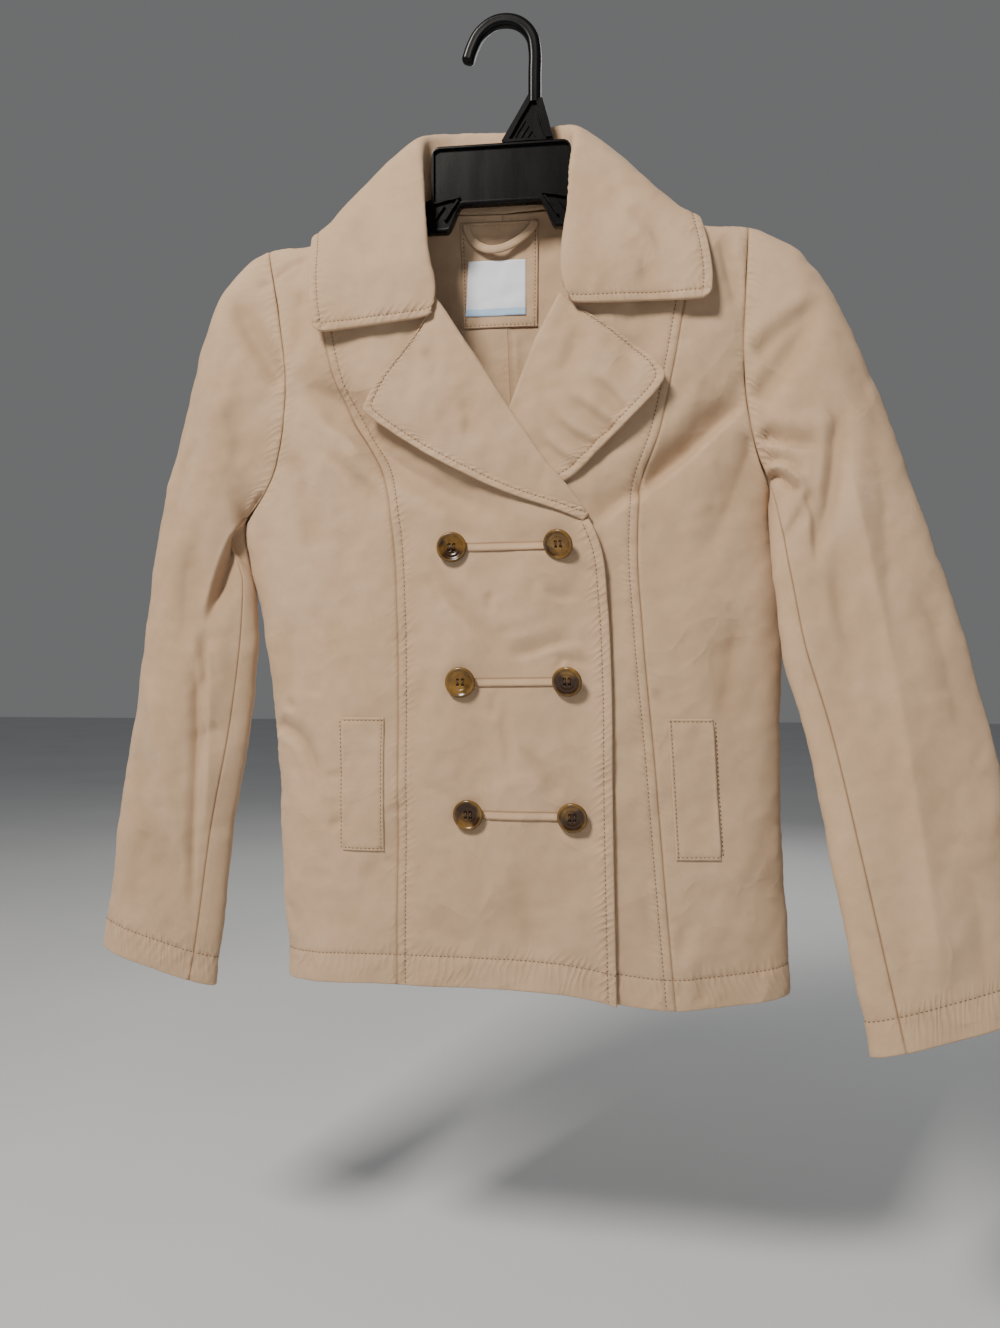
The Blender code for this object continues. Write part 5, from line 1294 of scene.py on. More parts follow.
@dataclass
class BodyPanels:
    """Side fronts, centre fronts and backs, with their topstitching."""
    twill: bpy.types.Material
    thread: bpy.types.Material
    pitch_across: float = 3.0
    pitch_down: float = 2.6
    coarser_back: float = 1.2
    hole_rows: int = 90
    seam_rows: int = 120
    columns: int = 60
    hem_rounds: int = 4
    under_depth: float = 0.9
    under_edge: tuple[float, float] = (-12.0, -1.0)
    under_top: tuple[float, float] = (-402.0, -376.0)
    side_ease: tuple[float, float] = (0.5, 9.0)
    armhole_ease: tuple[float, float] = (-1.0, 5.0)
    armhole_foot: tuple[float, float] = (-378.0, -362.0)
    cuts: tuple[PanelCut, ...] = (
        PanelCut(Side.RIGHT, "side", ARMHOLE_TRIM, PLAIN, 0.4),
        PanelCut(Side.RIGHT, "center", replace(PRINCESS_SEAM, sink=0.25, sink_width=0.9, swell=0.05,
                                               seed=1.1), LAP_EDGE, 1.3),
        PanelCut(Side.LEFT, "side", ARMHOLE_TRIM, PLAIN, 2.2),
        PanelCut(Side.LEFT, "center", replace(PRINCESS_SEAM, sink=0.45, swell=0.1, seed=3.4), BARE,
                 3.1),
        PanelCut(Side.RIGHT, "back", ARMHOLE_TRIM, PLAIN, 4.0),
        PanelCut(Side.LEFT, "back", ARMHOLE_TRIM, CENTER_BACK, 4.9),
    )

    def outer_edge(self, side: Side, face: Face) -> tuple[Array, Array]:
        """(across, down) pairs down the armhole and the side seam, and the steps along them."""
        turns = np.linspace(0, 2, self.hole_rows)
        hole = along(ARMHOLE[(side, face)], (np.sin(np.pi / 2 * (turns - 1)) + 1) / 2)
        pairs = chart_of(hole)
        pairs[0, 1] = 0.0
        pairs[-1, 0] = int(side)
        hem_z = HEM[0].z if side == Side.RIGHT else HEM[-1].z
        hem_down = pairs[-1, 1]
        for _ in range(self.hem_rounds):
            corner = BODY.place(np.array([float(side)]), np.array([hem_down]), face)
            hem_down = chart_of(np.array([[corner[0, 0], hem_z]]))[0, 1]
        down = np.linspace(pairs[-1, 1], hem_down, self.seam_rows + 1)[1:]
        pairs = np.concatenate([pairs, np.stack([np.full(len(down), float(side)), down], 1)])
        places = BODY.place(pairs[:, 0], pairs[:, 1], face)
        return pairs, arc_steps(places[:, [0, 2]])

    def level_edge(self, x_from: float, x_to: float, hem: bool) -> Array:
        """(across, down) pairs along the shoulder line or the hem."""
        x = np.linspace(x_from, x_to, self.columns)
        if hem:
            return chart_of(np.stack([x, through(column(HEM, "x"), column(HEM, "z"), x)], 1))
        return shoulder_pairs(x)

    def chart_grid(self, cut: PanelCut) -> Array:
        """Parameter grid of a panel, from its outer side to its inner one."""
        outer, steps = self.outer_edge(cut.side, cut.face)
        first, last = (float(BODY.place(outer[k, 0], outer[k, 1], cut.face)[0]) for k in (0, -1))
        seam = PRINCESS[cut.side]
        if cut.part == "back":
            neck = NECK_BACK[:4] if cut.side == Side.RIGHT else NECK_BACK[:2:-1]
            x = np.concatenate([np.linspace(first, neck[0].x, self.columns),
                                np.linspace(neck[0].x, neck[-1].x, self.columns // 2)[1:]])
            top = shoulder_pairs(x)
            top[self.columns:] = chart_of(along(neck, np.linspace(0, 1, self.columns // 2)[1:]))
            neck_end = np.array(neck[-1])
            seam_line = neck_end + (np.array(CENTER_BACK_FOOT) - neck_end) * steps[:, None]
            start, end = outer, chart_of(seam_line)
            share = arc_steps(BODY.place(top[:, 0], top[:, 1], cut.face)[:, [0, 2]])
            even = np.linspace(0, 1, len(top))
            top = resampled(top, share, even)
            bottom = self.level_edge(last, CENTER_BACK_FOOT.x, True)
            bottom = resampled(bottom, np.linspace(0, 1, len(bottom)), even)
        elif cut.part == "side":
            start, end = outer, chart_of(along(seam, steps))
            end[0, 1] = 0.0
            top = self.level_edge(first, seam[0].x, False)
            bottom = self.level_edge(last, seam[-1].x, True)
        else:
            run = FRONT_EDGE[cut.side]
            start, end = chart_of(along(seam, steps)), chart_of(along(run, steps))
            start[0, 1] = end[0, 1] = 0.0
            top = self.level_edge(seam[0].x, run[0].x, False)
            bottom = self.level_edge(seam[-1].x, run[-1].x, True)
        top[0], top[-1], bottom[0], bottom[-1] = start[0], end[0], start[-1], end[-1]
        return coons(top, bottom, start, end)

    def level(self, cut: PanelCut, places: Array) -> Array:
        """How far the panel lies off the body's face: the lap above it, the lapped front below."""
        x, z = places[..., 0], places[..., 2]
        if cut.name == "front_right_center":
            return LAP.height(x, z)
        if cut.name == "front_left_center":
            lap = FRONT_EDGE[Side.RIGHT][9:]
            lap_x = through(column(lap, "z"), column(lap, "x"), z)
            under = 1 - smoothstep(*self.under_edge, x - lap_x)
            return -self.under_depth * under * (1 - smoothstep(*self.under_top, z))
        return np.zeros_like(x)

    def cloth(self, cut: PanelCut) -> ClothGrid:
        """The panel's cloth, with its creases and trims."""
        top = PLAIN if cut.part != "center" else Trim(sink=0.5)
        trims = {Edge.TOP: top, Edge.BOTTOM: replace(HEMMED, seed=cut.seed),
                 Edge.START: cut.start, Edge.END: cut.end}
        pitch = self.coarser_back if cut.face == Face.BACK else 1.0
        rows = Spacing(PLAIN_STEPS, HEM_STEPS, self.pitch_down * pitch)
        columns = Spacing(*(STITCHED_STEPS if trim.stitch else PLAIN_STEPS
                            for trim in (cut.start, cut.end)), self.pitch_across * pitch)
        chart = regrid(self.chart_grid(cut), rows, columns,
                       lambda pairs: BODY.place(pairs[..., 0], pairs[..., 1], cut.face))
        places = BODY.place(chart[..., 0], chart[..., 1], cut.face)
        normals = BODY.normal(chart[..., 0], chart[..., 1], cut.face)
        places = inset(places + normals * self.level(cut, places)[..., None])
        cloth = ClothGrid(places, normals, trims)
        ease = smoothstep(*self.side_ease, np.abs(places[..., 1]))
        if cut.part != "center":
            below = 1 - smoothstep(*self.armhole_foot, places[..., 2])
            ease = ease * np.maximum(smoothstep(*self.armhole_ease, cloth.gaps[Edge.START]), below)
        relief = FRONT_RELIEF if cut.face == Face.FRONT else BACK_RELIEF
        cloth.shape(relief.height(places, ease))
        return cloth

    def build(self) -> None:
        """Makes the six panels, and one mesh of stitches for each."""
        for cut in self.cuts:
            cloth = self.cloth(cut)
            piece = shell(cut.name + "_cloth", cloth, self.twill)
            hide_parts(cut.name)
            sewn = stitching(cut.name + "_stitches", stitch_lines(cloth, tuple(Edge)), self.thread)


# ---------------------------------------------------------------- sleeves

@dataclass
class Sleeves:
    """Upper and under sleeve of each arm."""
    twill: bpy.types.Material
    thread: bpy.types.Material
    pitch_across: float = 3.3
    pitch_down: float = 2.9
    front_seam: tuple[float, float] = (1.80, 1.42)
    back_seam: tuple[float, float] = (1.35, 1.30)
    flat_upper: tuple[float, float] = (0.240, 0.610)
    flat_under: tuple[float, float] = (0.085, 0.420)
    area_upper: float = 0.104
    area_under: float = 0.0215
    fold_ease: tuple[float, float] = (0.02, 0.16)
    underarm_ease: tuple[float, float] = (0.01, 0.12)
    head_ease: tuple[float, float] = (-1.0, 5.0)
    rows_read: int = 160
    turns_read: int = 90

    def grid(self, under: bool) -> Array:
        """(turn, row) pairs of the upper or the under sleeve, armhole to cuff."""
        last = len(SLEEVE[Side.RIGHT]) - 1
        row = np.linspace(0, last, self.rows_read)[:, None] * np.ones((1, self.turns_read))
        share = row[:, :1] / last
        front = -(self.front_seam[0] + (self.front_seam[1] - self.front_seam[0]) * share)
        back = self.back_seam[0] + (self.back_seam[1] - self.back_seam[0]) * share
        low, high = (back, front + 4) if under else (front, back)
        turn = low + (high - low) * np.linspace(0, 1, self.turns_read)[None, :]
        return np.stack([turn, row], -1)

    def cloth(self, side: Side, under: bool) -> ClothGrid:
        """One sleeve piece's cloth, with its creases and trims."""
        surface = SleeveSurface(side)
        columns = Spacing(PLAIN_STEPS, PLAIN_STEPS, self.pitch_across)
        rows = Spacing(PLAIN_STEPS, HEM_STEPS, self.pitch_down)
        grid = regrid(self.grid(under), rows, columns,
                      lambda pairs: surface.place(pairs[..., 0], pairs[..., 1]))
        turn, row = grid[..., 0], grid[..., 1]
        places, normals = surface.place(turn, row), surface.normal(turn, row)
        cuff = replace(HEMMED, seed=5.0 + side, pucker=0.38)
        head = Trim(sink=0.6, sink_width=1.1, pucker=0.34, pitch=8.0, reach=10.0, seed=1.0 + side)
        trims = {Edge.TOP: head, Edge.BOTTOM: cuff, Edge.START: SLEEVE_SEAM, Edge.END: SLEEVE_SEAM}
        cloth = ClothGrid(inset(places), normals, trims)
        turned = wrapped(turn)
        fold = np.abs(turned)
        ease = smoothstep(*self.fold_ease, fold) * smoothstep(*self.underarm_ease, 2 - fold)
        ease = ease * smoothstep(*self.head_ease, cloth.gaps[Edge.TOP])
        relief = sum(SLEEVE_RELIEF[(side, face)].height(places, ease * (np.sign(turned) == int(face)))
                     for face in Face)
        ripples = sum(ripple.height(places) for ripple in RIPPLES)
        cloth.shape(relief - ripples)
        return cloth

    def build(self) -> None:
        """Makes the four pieces and their cuff stitching."""
        for side in Side:
            for under in (False, True):
                name = f"sleeve_{side.name.lower()}_{'under' if under else 'upper'}"
                cloth = self.cloth(side, under)
                piece = shell(name + "_cloth", cloth, self.twill)
                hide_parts(name)
                sewn = stitching(name + "_stitches", stitch_lines(cloth, (Edge.BOTTOM,)),
                                 self.thread)


# ---------------------------------------------------------------- collar and lapels

@dataclass
class CollarPiece:
    """One-piece collar: up the stand, over the roll and down the fall."""
    twill: bpy.types.Material
    thread: bpy.types.Material
    thick: float = 1.6
    pitch: float = 2.2
    roll_handle: float = 9.0
    handle_share: float = 0.45
    bulge: float = 11.7
    bulge_shift: float = 0.12
    corner: float = 6.5
    edge_lift: float = 3.0
    lift_reach: float = 40.0
    flat: tuple[float, float] = (0.560, 0.150)
    area: float = 0.066

    def cloth(self) -> ClothGrid:
        """The collar's cloth.

        Across it run two cubic curves, from the seam up to the roll and from the roll down to
        the edge, whose tangents meet; the fall's is bowed outwards by the bulge.
        """
        at = np.linspace(0, len(COLLAR) - 1, 420)
        read = rows_at(COLLAR, at)
        seam, roll, edge = (np.stack([read[f"{part}_{axis}"] for axis in "xyz"], 1)
                            for part in ("seam", "roll", "edge"))
        rise, fall = unit(roll - seam), unit(edge - roll)
        turn = unit(rise + fall)
        stand = np.linalg.norm(roll - seam, axis=1)
        handle = np.minimum(self.roll_handle, self.handle_share * stand)[:, None]
        out = unit(np.cross(fall, np.gradient(roll, axis=0)))
        out = out * np.where(np.einsum("ij,ij->i", out, turn) < 0, -1, 1)[:, None]
        bulge = self.bulge * np.sqrt(np.sin(np.pi * np.linspace(0, 1, len(at))))[:, None]
        middle = (roll + edge) / 2 + out * bulge + (edge - roll) * self.bulge_shift
        step = np.linspace(0, 1, 40)[:, None, None]
        places = np.concatenate([
            cubic(seam, seam + rise * handle, roll - turn * handle, roll, step),
            cubic(roll, roll + turn * handle, middle, edge, step[1:])])
        places = regrid(places, Spacing((), STITCHED_STEPS, self.pitch),
                        Spacing(STITCHED_STEPS, STITCHED_STEPS, self.pitch))
        normals = unit(np.cross(np.gradient(places, axis=1), np.gradient(places, axis=0)))
        sign = np.sign((normals[-20:, 20:-20, 2]).sum())
        if sign > 0:
            places = places + normals * self.thick
        normals = normals * sign
        hem = Trim(stitch=STITCH_AT, free=True, swell=0.16, groove=0.42, pucker=0.28, pitch=7.0,
                   seed=0.7)
        trims = {Edge.TOP: BARE, Edge.BOTTOM: hem, Edge.START: hem, Edge.END: hem}
        cloth = ClothGrid(places, normals, trims, self.thick)
        cloth.round_corner(Edge.BOTTOM, Edge.START, self.corner)
        cloth.round_corner(Edge.BOTTOM, Edge.END, self.corner)
        front = smoothstep(4.0, 12.0, -places[..., 1])
        lift = 1 - smoothstep(0.0, self.lift_reach, cloth.gaps[Edge.BOTTOM])
        cloth.shape(COLLAR_RELIEF.height(places, front) * 0.8 + self.edge_lift * lift * front)
        return cloth

    def build(self) -> None:
        """Makes the collar and its edge stitching."""
        cloth = self.cloth()
        piece = shell("collar_cloth", cloth, self.twill)
        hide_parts("collar")
        lines = stitch_lines(cloth, (Edge.BOTTOM, Edge.START, Edge.END), STITCH_AT - 0.3)
        sewn = stitching("collar_stitches", lines, self.thread)


@dataclass
class Lapels:
    """Facings that wrap the fronts' roll edges and lie turned out on them."""
    twill: bpy.types.Material
    thread: bpy.types.Material
    thick: float = 1.2
    roll_radius: float = 1.7
    base: float = -0.6
    tuck: float = 6.5
    lift_power: float = 1.6
    extra_lift: dict[Side, float] = field(default_factory=lambda: {Side.RIGHT: 2.8, Side.LEFT: 4.5})
    flat: dict[Side, tuple[float, float]] = field(default_factory=lambda: {
        Side.RIGHT: (0.095, 0.230), Side.LEFT: (0.120, 0.170)})
    area: dict[Side, float] = field(default_factory=lambda: {Side.RIGHT: 0.0135, Side.LEFT: 0.0115})

    def cloth(self, side: Side) -> ClothGrid:
        """One lapel's cloth.

        Across it run the part tucked inside, a half circle round the roll edge, and the leaf,
        which stands off the front by its lift times the share of its width to the power 1.6.
        """
        table = LAPEL[side]
        at = np.linspace(0, len(table) - 1, 260)
        read = rows_at(table, at)
        roll = np.stack([read["roll_x"], read["roll_z"]], 1)
        edge = np.stack([read["edge_x"], read["edge_z"]], 1)
        run = np.gradient(roll, axis=0)
        out = unit(np.stack([-run[:, 1], run[:, 0]], 1))
        out = out * np.where((out * (edge - roll)).sum(1) < 0, -1, 1)[:, None]
        radius, base = self.roll_radius, self.base
        tuck = np.linspace(self.tuck, radius, 4)[:-1]
        angle = np.radians(np.linspace(-90, 90, 11))
        share = np.linspace(0, 1, 60)[1:, None, None]
        start = roll + out * radius
        flat = np.concatenate([
            roll + out * tuck[:, None, None],
            roll + out * (radius * (1 - np.cos(angle)))[:, None, None],
            start + (edge - start) * share])
        raised = read["lift"] + self.extra_lift[side] * np.sin(np.pi * np.linspace(0, 1, len(at)))
        lift = base + radius + raised * share[..., 0] ** self.lift_power
        level = np.concatenate([
            np.full((len(tuck), len(at)), base - radius),
            (base + radius * np.sin(angle))[:, None] + np.zeros(len(at)), lift])
        flat, level = flat.swapaxes(0, 1), level.T
        level = level + (LAP.height(flat[..., 0], flat[..., 1]) if side == Side.RIGHT else 0.0)
        face, normal = BODY.over(flat[..., 0], flat[..., 1], Face.FRONT)
        places = face + normal * level[..., None]
        places = regrid(places, Spacing((0.5, 1.2), (0.5, 1.2), 2.2),
                        Spacing((), STITCHED_STEPS, 1.6))
        normals = unit(np.cross(np.gradient(places, axis=0), np.gradient(places, axis=1)))
        normals = normals * -np.sign(normals[:, -12:, 1].sum())
        hem = Trim(stitch=STITCH_AT, free=True, swell=0.16, groove=0.45, pucker=0.34, pitch=6.6,
                   seed=1.9)
        trims = {Edge.TOP: BARE, Edge.BOTTOM: BARE, Edge.START: BARE, Edge.END: hem}
        cloth = ClothGrid(places + normals * self.thick / 2, normals, trims, self.thick)
        ease = smoothstep(6.0, 16.0, cloth.gaps[Edge.START])
        cloth.shape(LAPEL_RELIEF[side].height(places, ease) * (0.25 + 0.75 * ease))
        return cloth

    def build(self) -> None:
        """Makes both lapels and their edge stitching."""
        for side in Side:
            name = f"lapel_{side.name.lower()}"
            cloth = self.cloth(side)
            piece = shell(name + "_cloth", cloth, self.twill)
            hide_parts(name)
            sewn = stitching(name + "_stitches", stitch_lines(cloth, (Edge.END,)), self.thread)


# ---------------------------------------------------------------- pieces on the panels

def plate_grid(corners: Sequence[tuple[float, float]], pitch: float) -> tuple[Array, Array]:
    """(x, z) over a four-sided plate: the bilinear surface of its corners, read evenly."""
    (ax, az), (bx, bz), (cx, cz), (dx, dz) = corners
    wide = math.hypot(bx - ax, bz - az)
    tall = math.hypot(dx - ax, dz - az)
    u = np.linspace(0, 1, max(int(wide / pitch), 6) + 1)[None, :]
    v = np.linspace(0, 1, max(int(tall / pitch), 6) + 1)[:, None]
    x = (ax * (1 - u) + bx * u) * (1 - v) + (dx * (1 - u) + cx * u) * v
    z = (az * (1 - u) + bz * u) * (1 - v) + (dz * (1 - u) + cz * u) * v
    return x, z


def fine_plate(places: Array, normals: Array, pitch: float) -> tuple[Array, Array]:
    """A plate's points and directions, read again with close lines beside all four edges."""
    both = Spacing(PLATE_STEPS, PLATE_STEPS, pitch)
    values = regrid(np.concatenate([places, normals], -1), both, both)
    return values[..., :3], unit(values[..., 3:])


@dataclass(frozen=True)
class Welt:
    """A pocket welt and the side on which its pocket opens."""
    side: Side
    x_top: float
    z_top: float
    x_foot: float
    z_foot: float


@dataclass
class Welts:
    """Pocket welts on the side fronts, stitched down on three sides."""
    twill: bpy.types.Material
    thread: bpy.types.Material
    width: float = 33.0
    level: float = 0.35
    thick: float = 1.2
    stitch: float = 1.9
    open_lift: float = 0.9
    pairs: tuple[Welt, ...] = (
        Welt(Side.RIGHT, -106.5, -551.0, -106.5, -655.0),
        Welt(Side.LEFT, 146.0, -550.5, 152.0, -656.5))

    def cloth(self, welt: Welt) -> ClothGrid:
        """One welt's cloth; its open edge stands off by a falling exponential."""
        half = self.width / 2 * -welt.side
        x, z = plate_grid(((welt.x_top - half, welt.z_top), (welt.x_top + half, welt.z_top),
                           (welt.x_foot + half, welt.z_foot), (welt.x_foot - half, welt.z_foot)), 1.0)
        face, normals = BODY.over(x, z, Face.FRONT)
        places, normals = fine_plate(face + normals * (self.level + self.thick), normals, 2.3)
        sewn = Trim(stitch=self.stitch, free=True, swell=0.15, groove=0.35, pucker=0.16, pitch=6.0,
                    reach=3.0, seed=float(welt.side))
        opened = Trim(free=True, pucker=0.1, pitch=11.0, reach=8.0)
        trims = {Edge.TOP: sewn, Edge.BOTTOM: sewn, Edge.START: opened, Edge.END: sewn}
        cloth = ClothGrid(places, normals, trims, self.thick)
        cloth.shape(FRONT_RELIEF.height(places)
                    + self.open_lift * np.exp(-cloth.gaps[Edge.START] / 4.0)
                    * smoothstep(1.0, 9.0, np.minimum(cloth.gaps[Edge.TOP], cloth.gaps[Edge.BOTTOM])))
        return cloth

    def beside_opening(self, welt: Welt) -> tuple[Array, Array]:
        """The line on the front just outside the welt's open edge, for its stitching."""
        away = self.width / 2 + 2.2
        z = np.linspace(welt.z_top - 1.0, welt.z_foot + 1.0, 90)
        share = (z - welt.z_top) / (welt.z_foot - welt.z_top)
        x = welt.x_top + (welt.x_foot - welt.x_top) * share + welt.side * away
        face, normals = BODY.over(x, z, Face.FRONT)
        return face + normals * FRONT_RELIEF.height(face)[:, None], normals

    def build(self) -> None:
        """Makes both welts and their stitching."""
        for welt in self.pairs:
            name = f"welt_{welt.side.name.lower()}"
            cloth = self.cloth(welt)
            piece = shell(name + "_cloth", cloth, self.twill)
            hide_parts(name)
            lines = stitch_lines(cloth, (Edge.TOP, Edge.BOTTOM, Edge.END))
            sewn = stitching(name + "_stitches", lines + [self.beside_opening(welt)], self.thread)
            f"front_{welt.side.name.lower()}_side"


@dataclass
class Bands:
    """Narrow tucks sewn across the lap between the buttons of each row."""
    twill: bpy.types.Material
    height: float = 6.6
    past_button: float = 4.0
    level: float = 0.25
    top_rise: float = 0.22
    foot_rise: float = 1.05

    def build(self) -> None:
        """Makes the bands: low at the top line, higher towards the tucked lower line."""
        for row in BUTTON_ROWS:
            half = self.height / 2
            start, end = row.x_right, row.x_left + self.past_button
            x, z = plate_grid(((start, row.z_right + half), (end, row.z_left + half),
                               (end, row.z_left - half), (start, row.z_right - half)), 0.7)
            face, normals = BODY.over(x, z, Face.FRONT)
            base = face + normals * (LAP.height(x, z) + self.level)[..., None]
            cloth = ClothGrid(base, normals, {edge: BARE for edge in Edge}, self.top_rise)
            down = np.linspace(0, 1, x.shape[0])[:, None]
            rise = self.top_rise + (self.foot_rise - self.top_rise) * smoothstep(0.05, 0.8, down)
            waver = 0.12 * np.sin(x / 9.0 + row.z_left) * np.sin(x / 23.0)
            cloth.shape(FRONT_RELIEF.height(face) + rise + waver * down)
            # Painted shade: dark lines along the band's tucked lower edge and along its top edge.
            cloth.painted_shade = np.clip(cloth.painted_shade + smoothstep(0.84, 0.92, down)
                                 + 1.0 - smoothstep(0.10, 0.24, down), 0, 1)
            piece = shell(f"band_{row.name}_cloth", cloth, self.twill)
            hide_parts("band_" + row.name)


PATCH_CORNERS = ((26, -146), (-38, -146), (-36, -231), (25, -231))
LABEL_CORNERS = ((15.5, -176.5), (-31.5, -176.5), (-34, -221.5), (15.5, -221.5))
LABEL_BAND_Z = -216.0


@dataclass
class BackNeck:
    """Patch, bare label and hanging loop inside the back neck."""
    twill: bpy.types.Material
    thread: bpy.types.Material
    label: bpy.types.Material
    cloth_thick: float = 1.2
    gap: float = 0.35
    patch_thick: float = 1.0
    patch_wave: float = 0.15
    label_thick: float = 0.6
    label_wave: float = 0.35
    loop_start: float = -33.0
    loop_span: float = 57.0
    loop_top: float = -147.0
    loop_sag: float = 21.5
    loop_round: float = 0.7
    loop_lean: float = 0.78
    loop_stand_off: float = 3.0
    loop_half: float = 3.1
    loop_thick: float = 1.0

    def plate(self, corners: Sequence[tuple[float, float]], top: float, thick: float, trim: Trim,
              wave: float) -> ClothGrid:
        """A plate on the back's inner face, its seen face `top` inside the back's outer face."""
        face, outward = BODY.over(*plate_grid(corners, 1.0), Face.BACK)
        face, normals = fine_plate(face, -outward, 2.0)
        cloth = ClothGrid(face + normals * top, normals, {edge: trim for edge in Edge}, thick)
        cloth.shape(wave * np.sin(face[..., 0] / 9.0) * np.sin(face[..., 2] / 13.0)
                    - BACK_RELIEF.height(face, 0.0))
        return cloth

    def loop(self, top: float) -> ClothGrid:
        """The loop: a tape along half a sine arch turned down, standing off at its foot."""
        at = np.linspace(0, 1, 120)
        x = self.loop_start + self.loop_span * at
        z = self.loop_top - self.loop_sag * np.sin(np.pi * at ** self.loop_lean) ** self.loop_round
        level = top + 0.5 + self.loop_stand_off * np.sin(np.pi * at) ** 2
        slope = unit(np.stack([np.gradient(x), np.gradient(z)], 1))
        across = np.linspace(-1, 1, 11)[:, None]
        x = x - slope[:, 1] * self.loop_half * across
        z = z + slope[:, 0] * self.loop_half * across
        face, outward = BODY.over(x, z, Face.BACK)
        places = face - outward * (level + self.loop_thick)[..., None]
        cloth = ClothGrid(places, -outward, {edge: BARE for edge in Edge}, self.loop_thick)
        cloth.shape(0.45 * (1 - across ** 2) - 0.35 * np.exp(-((across - 0.45) / 0.12) ** 2)
                    + np.zeros_like(x))
        return cloth

    def build(self) -> None:
        """Makes the patch, the label and the loop."""
        patch_top = self.cloth_thick + 2 * self.gap + self.patch_thick
        sewn = Trim(stitch=1.9, free=True, swell=0.15, groove=0.3, pucker=0.14, pitch=6.5, reach=3.0)
        patch = self.plate(PATCH_CORNERS, patch_top, self.patch_thick, sewn, self.patch_wave)
        piece = shell("back_neck_patch_cloth", patch, self.twill)
        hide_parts("back_neck_patch")
        lines = stitch_lines(patch, (Edge.BOTTOM, Edge.START, Edge.END))
        stitches = stitching("back_neck_patch_stitches", lines, self.thread)
        label_top = patch_top + self.gap + self.label_thick
        tag = self.plate(LABEL_CORNERS, label_top, self.label_thick, BARE, self.label_wave)
        label = shell("neck_label_cloth", tag, self.label, Slot.LABEL)
        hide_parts("neck_label")
        loop = shell("hanger_loop_cloth", self.loop(label_top + 0.4), self.twill)
        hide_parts("hanger_loop")


# ---------------------------------------------------------------- buttons

def frame_at(normal: Array) -> tuple[Array, Array]:
    """Two directions across a normal: one level, one upward."""
    across = unit(np.cross((0.0, 0.0, 1.0), normal))
    return across, np.cross(normal, across)


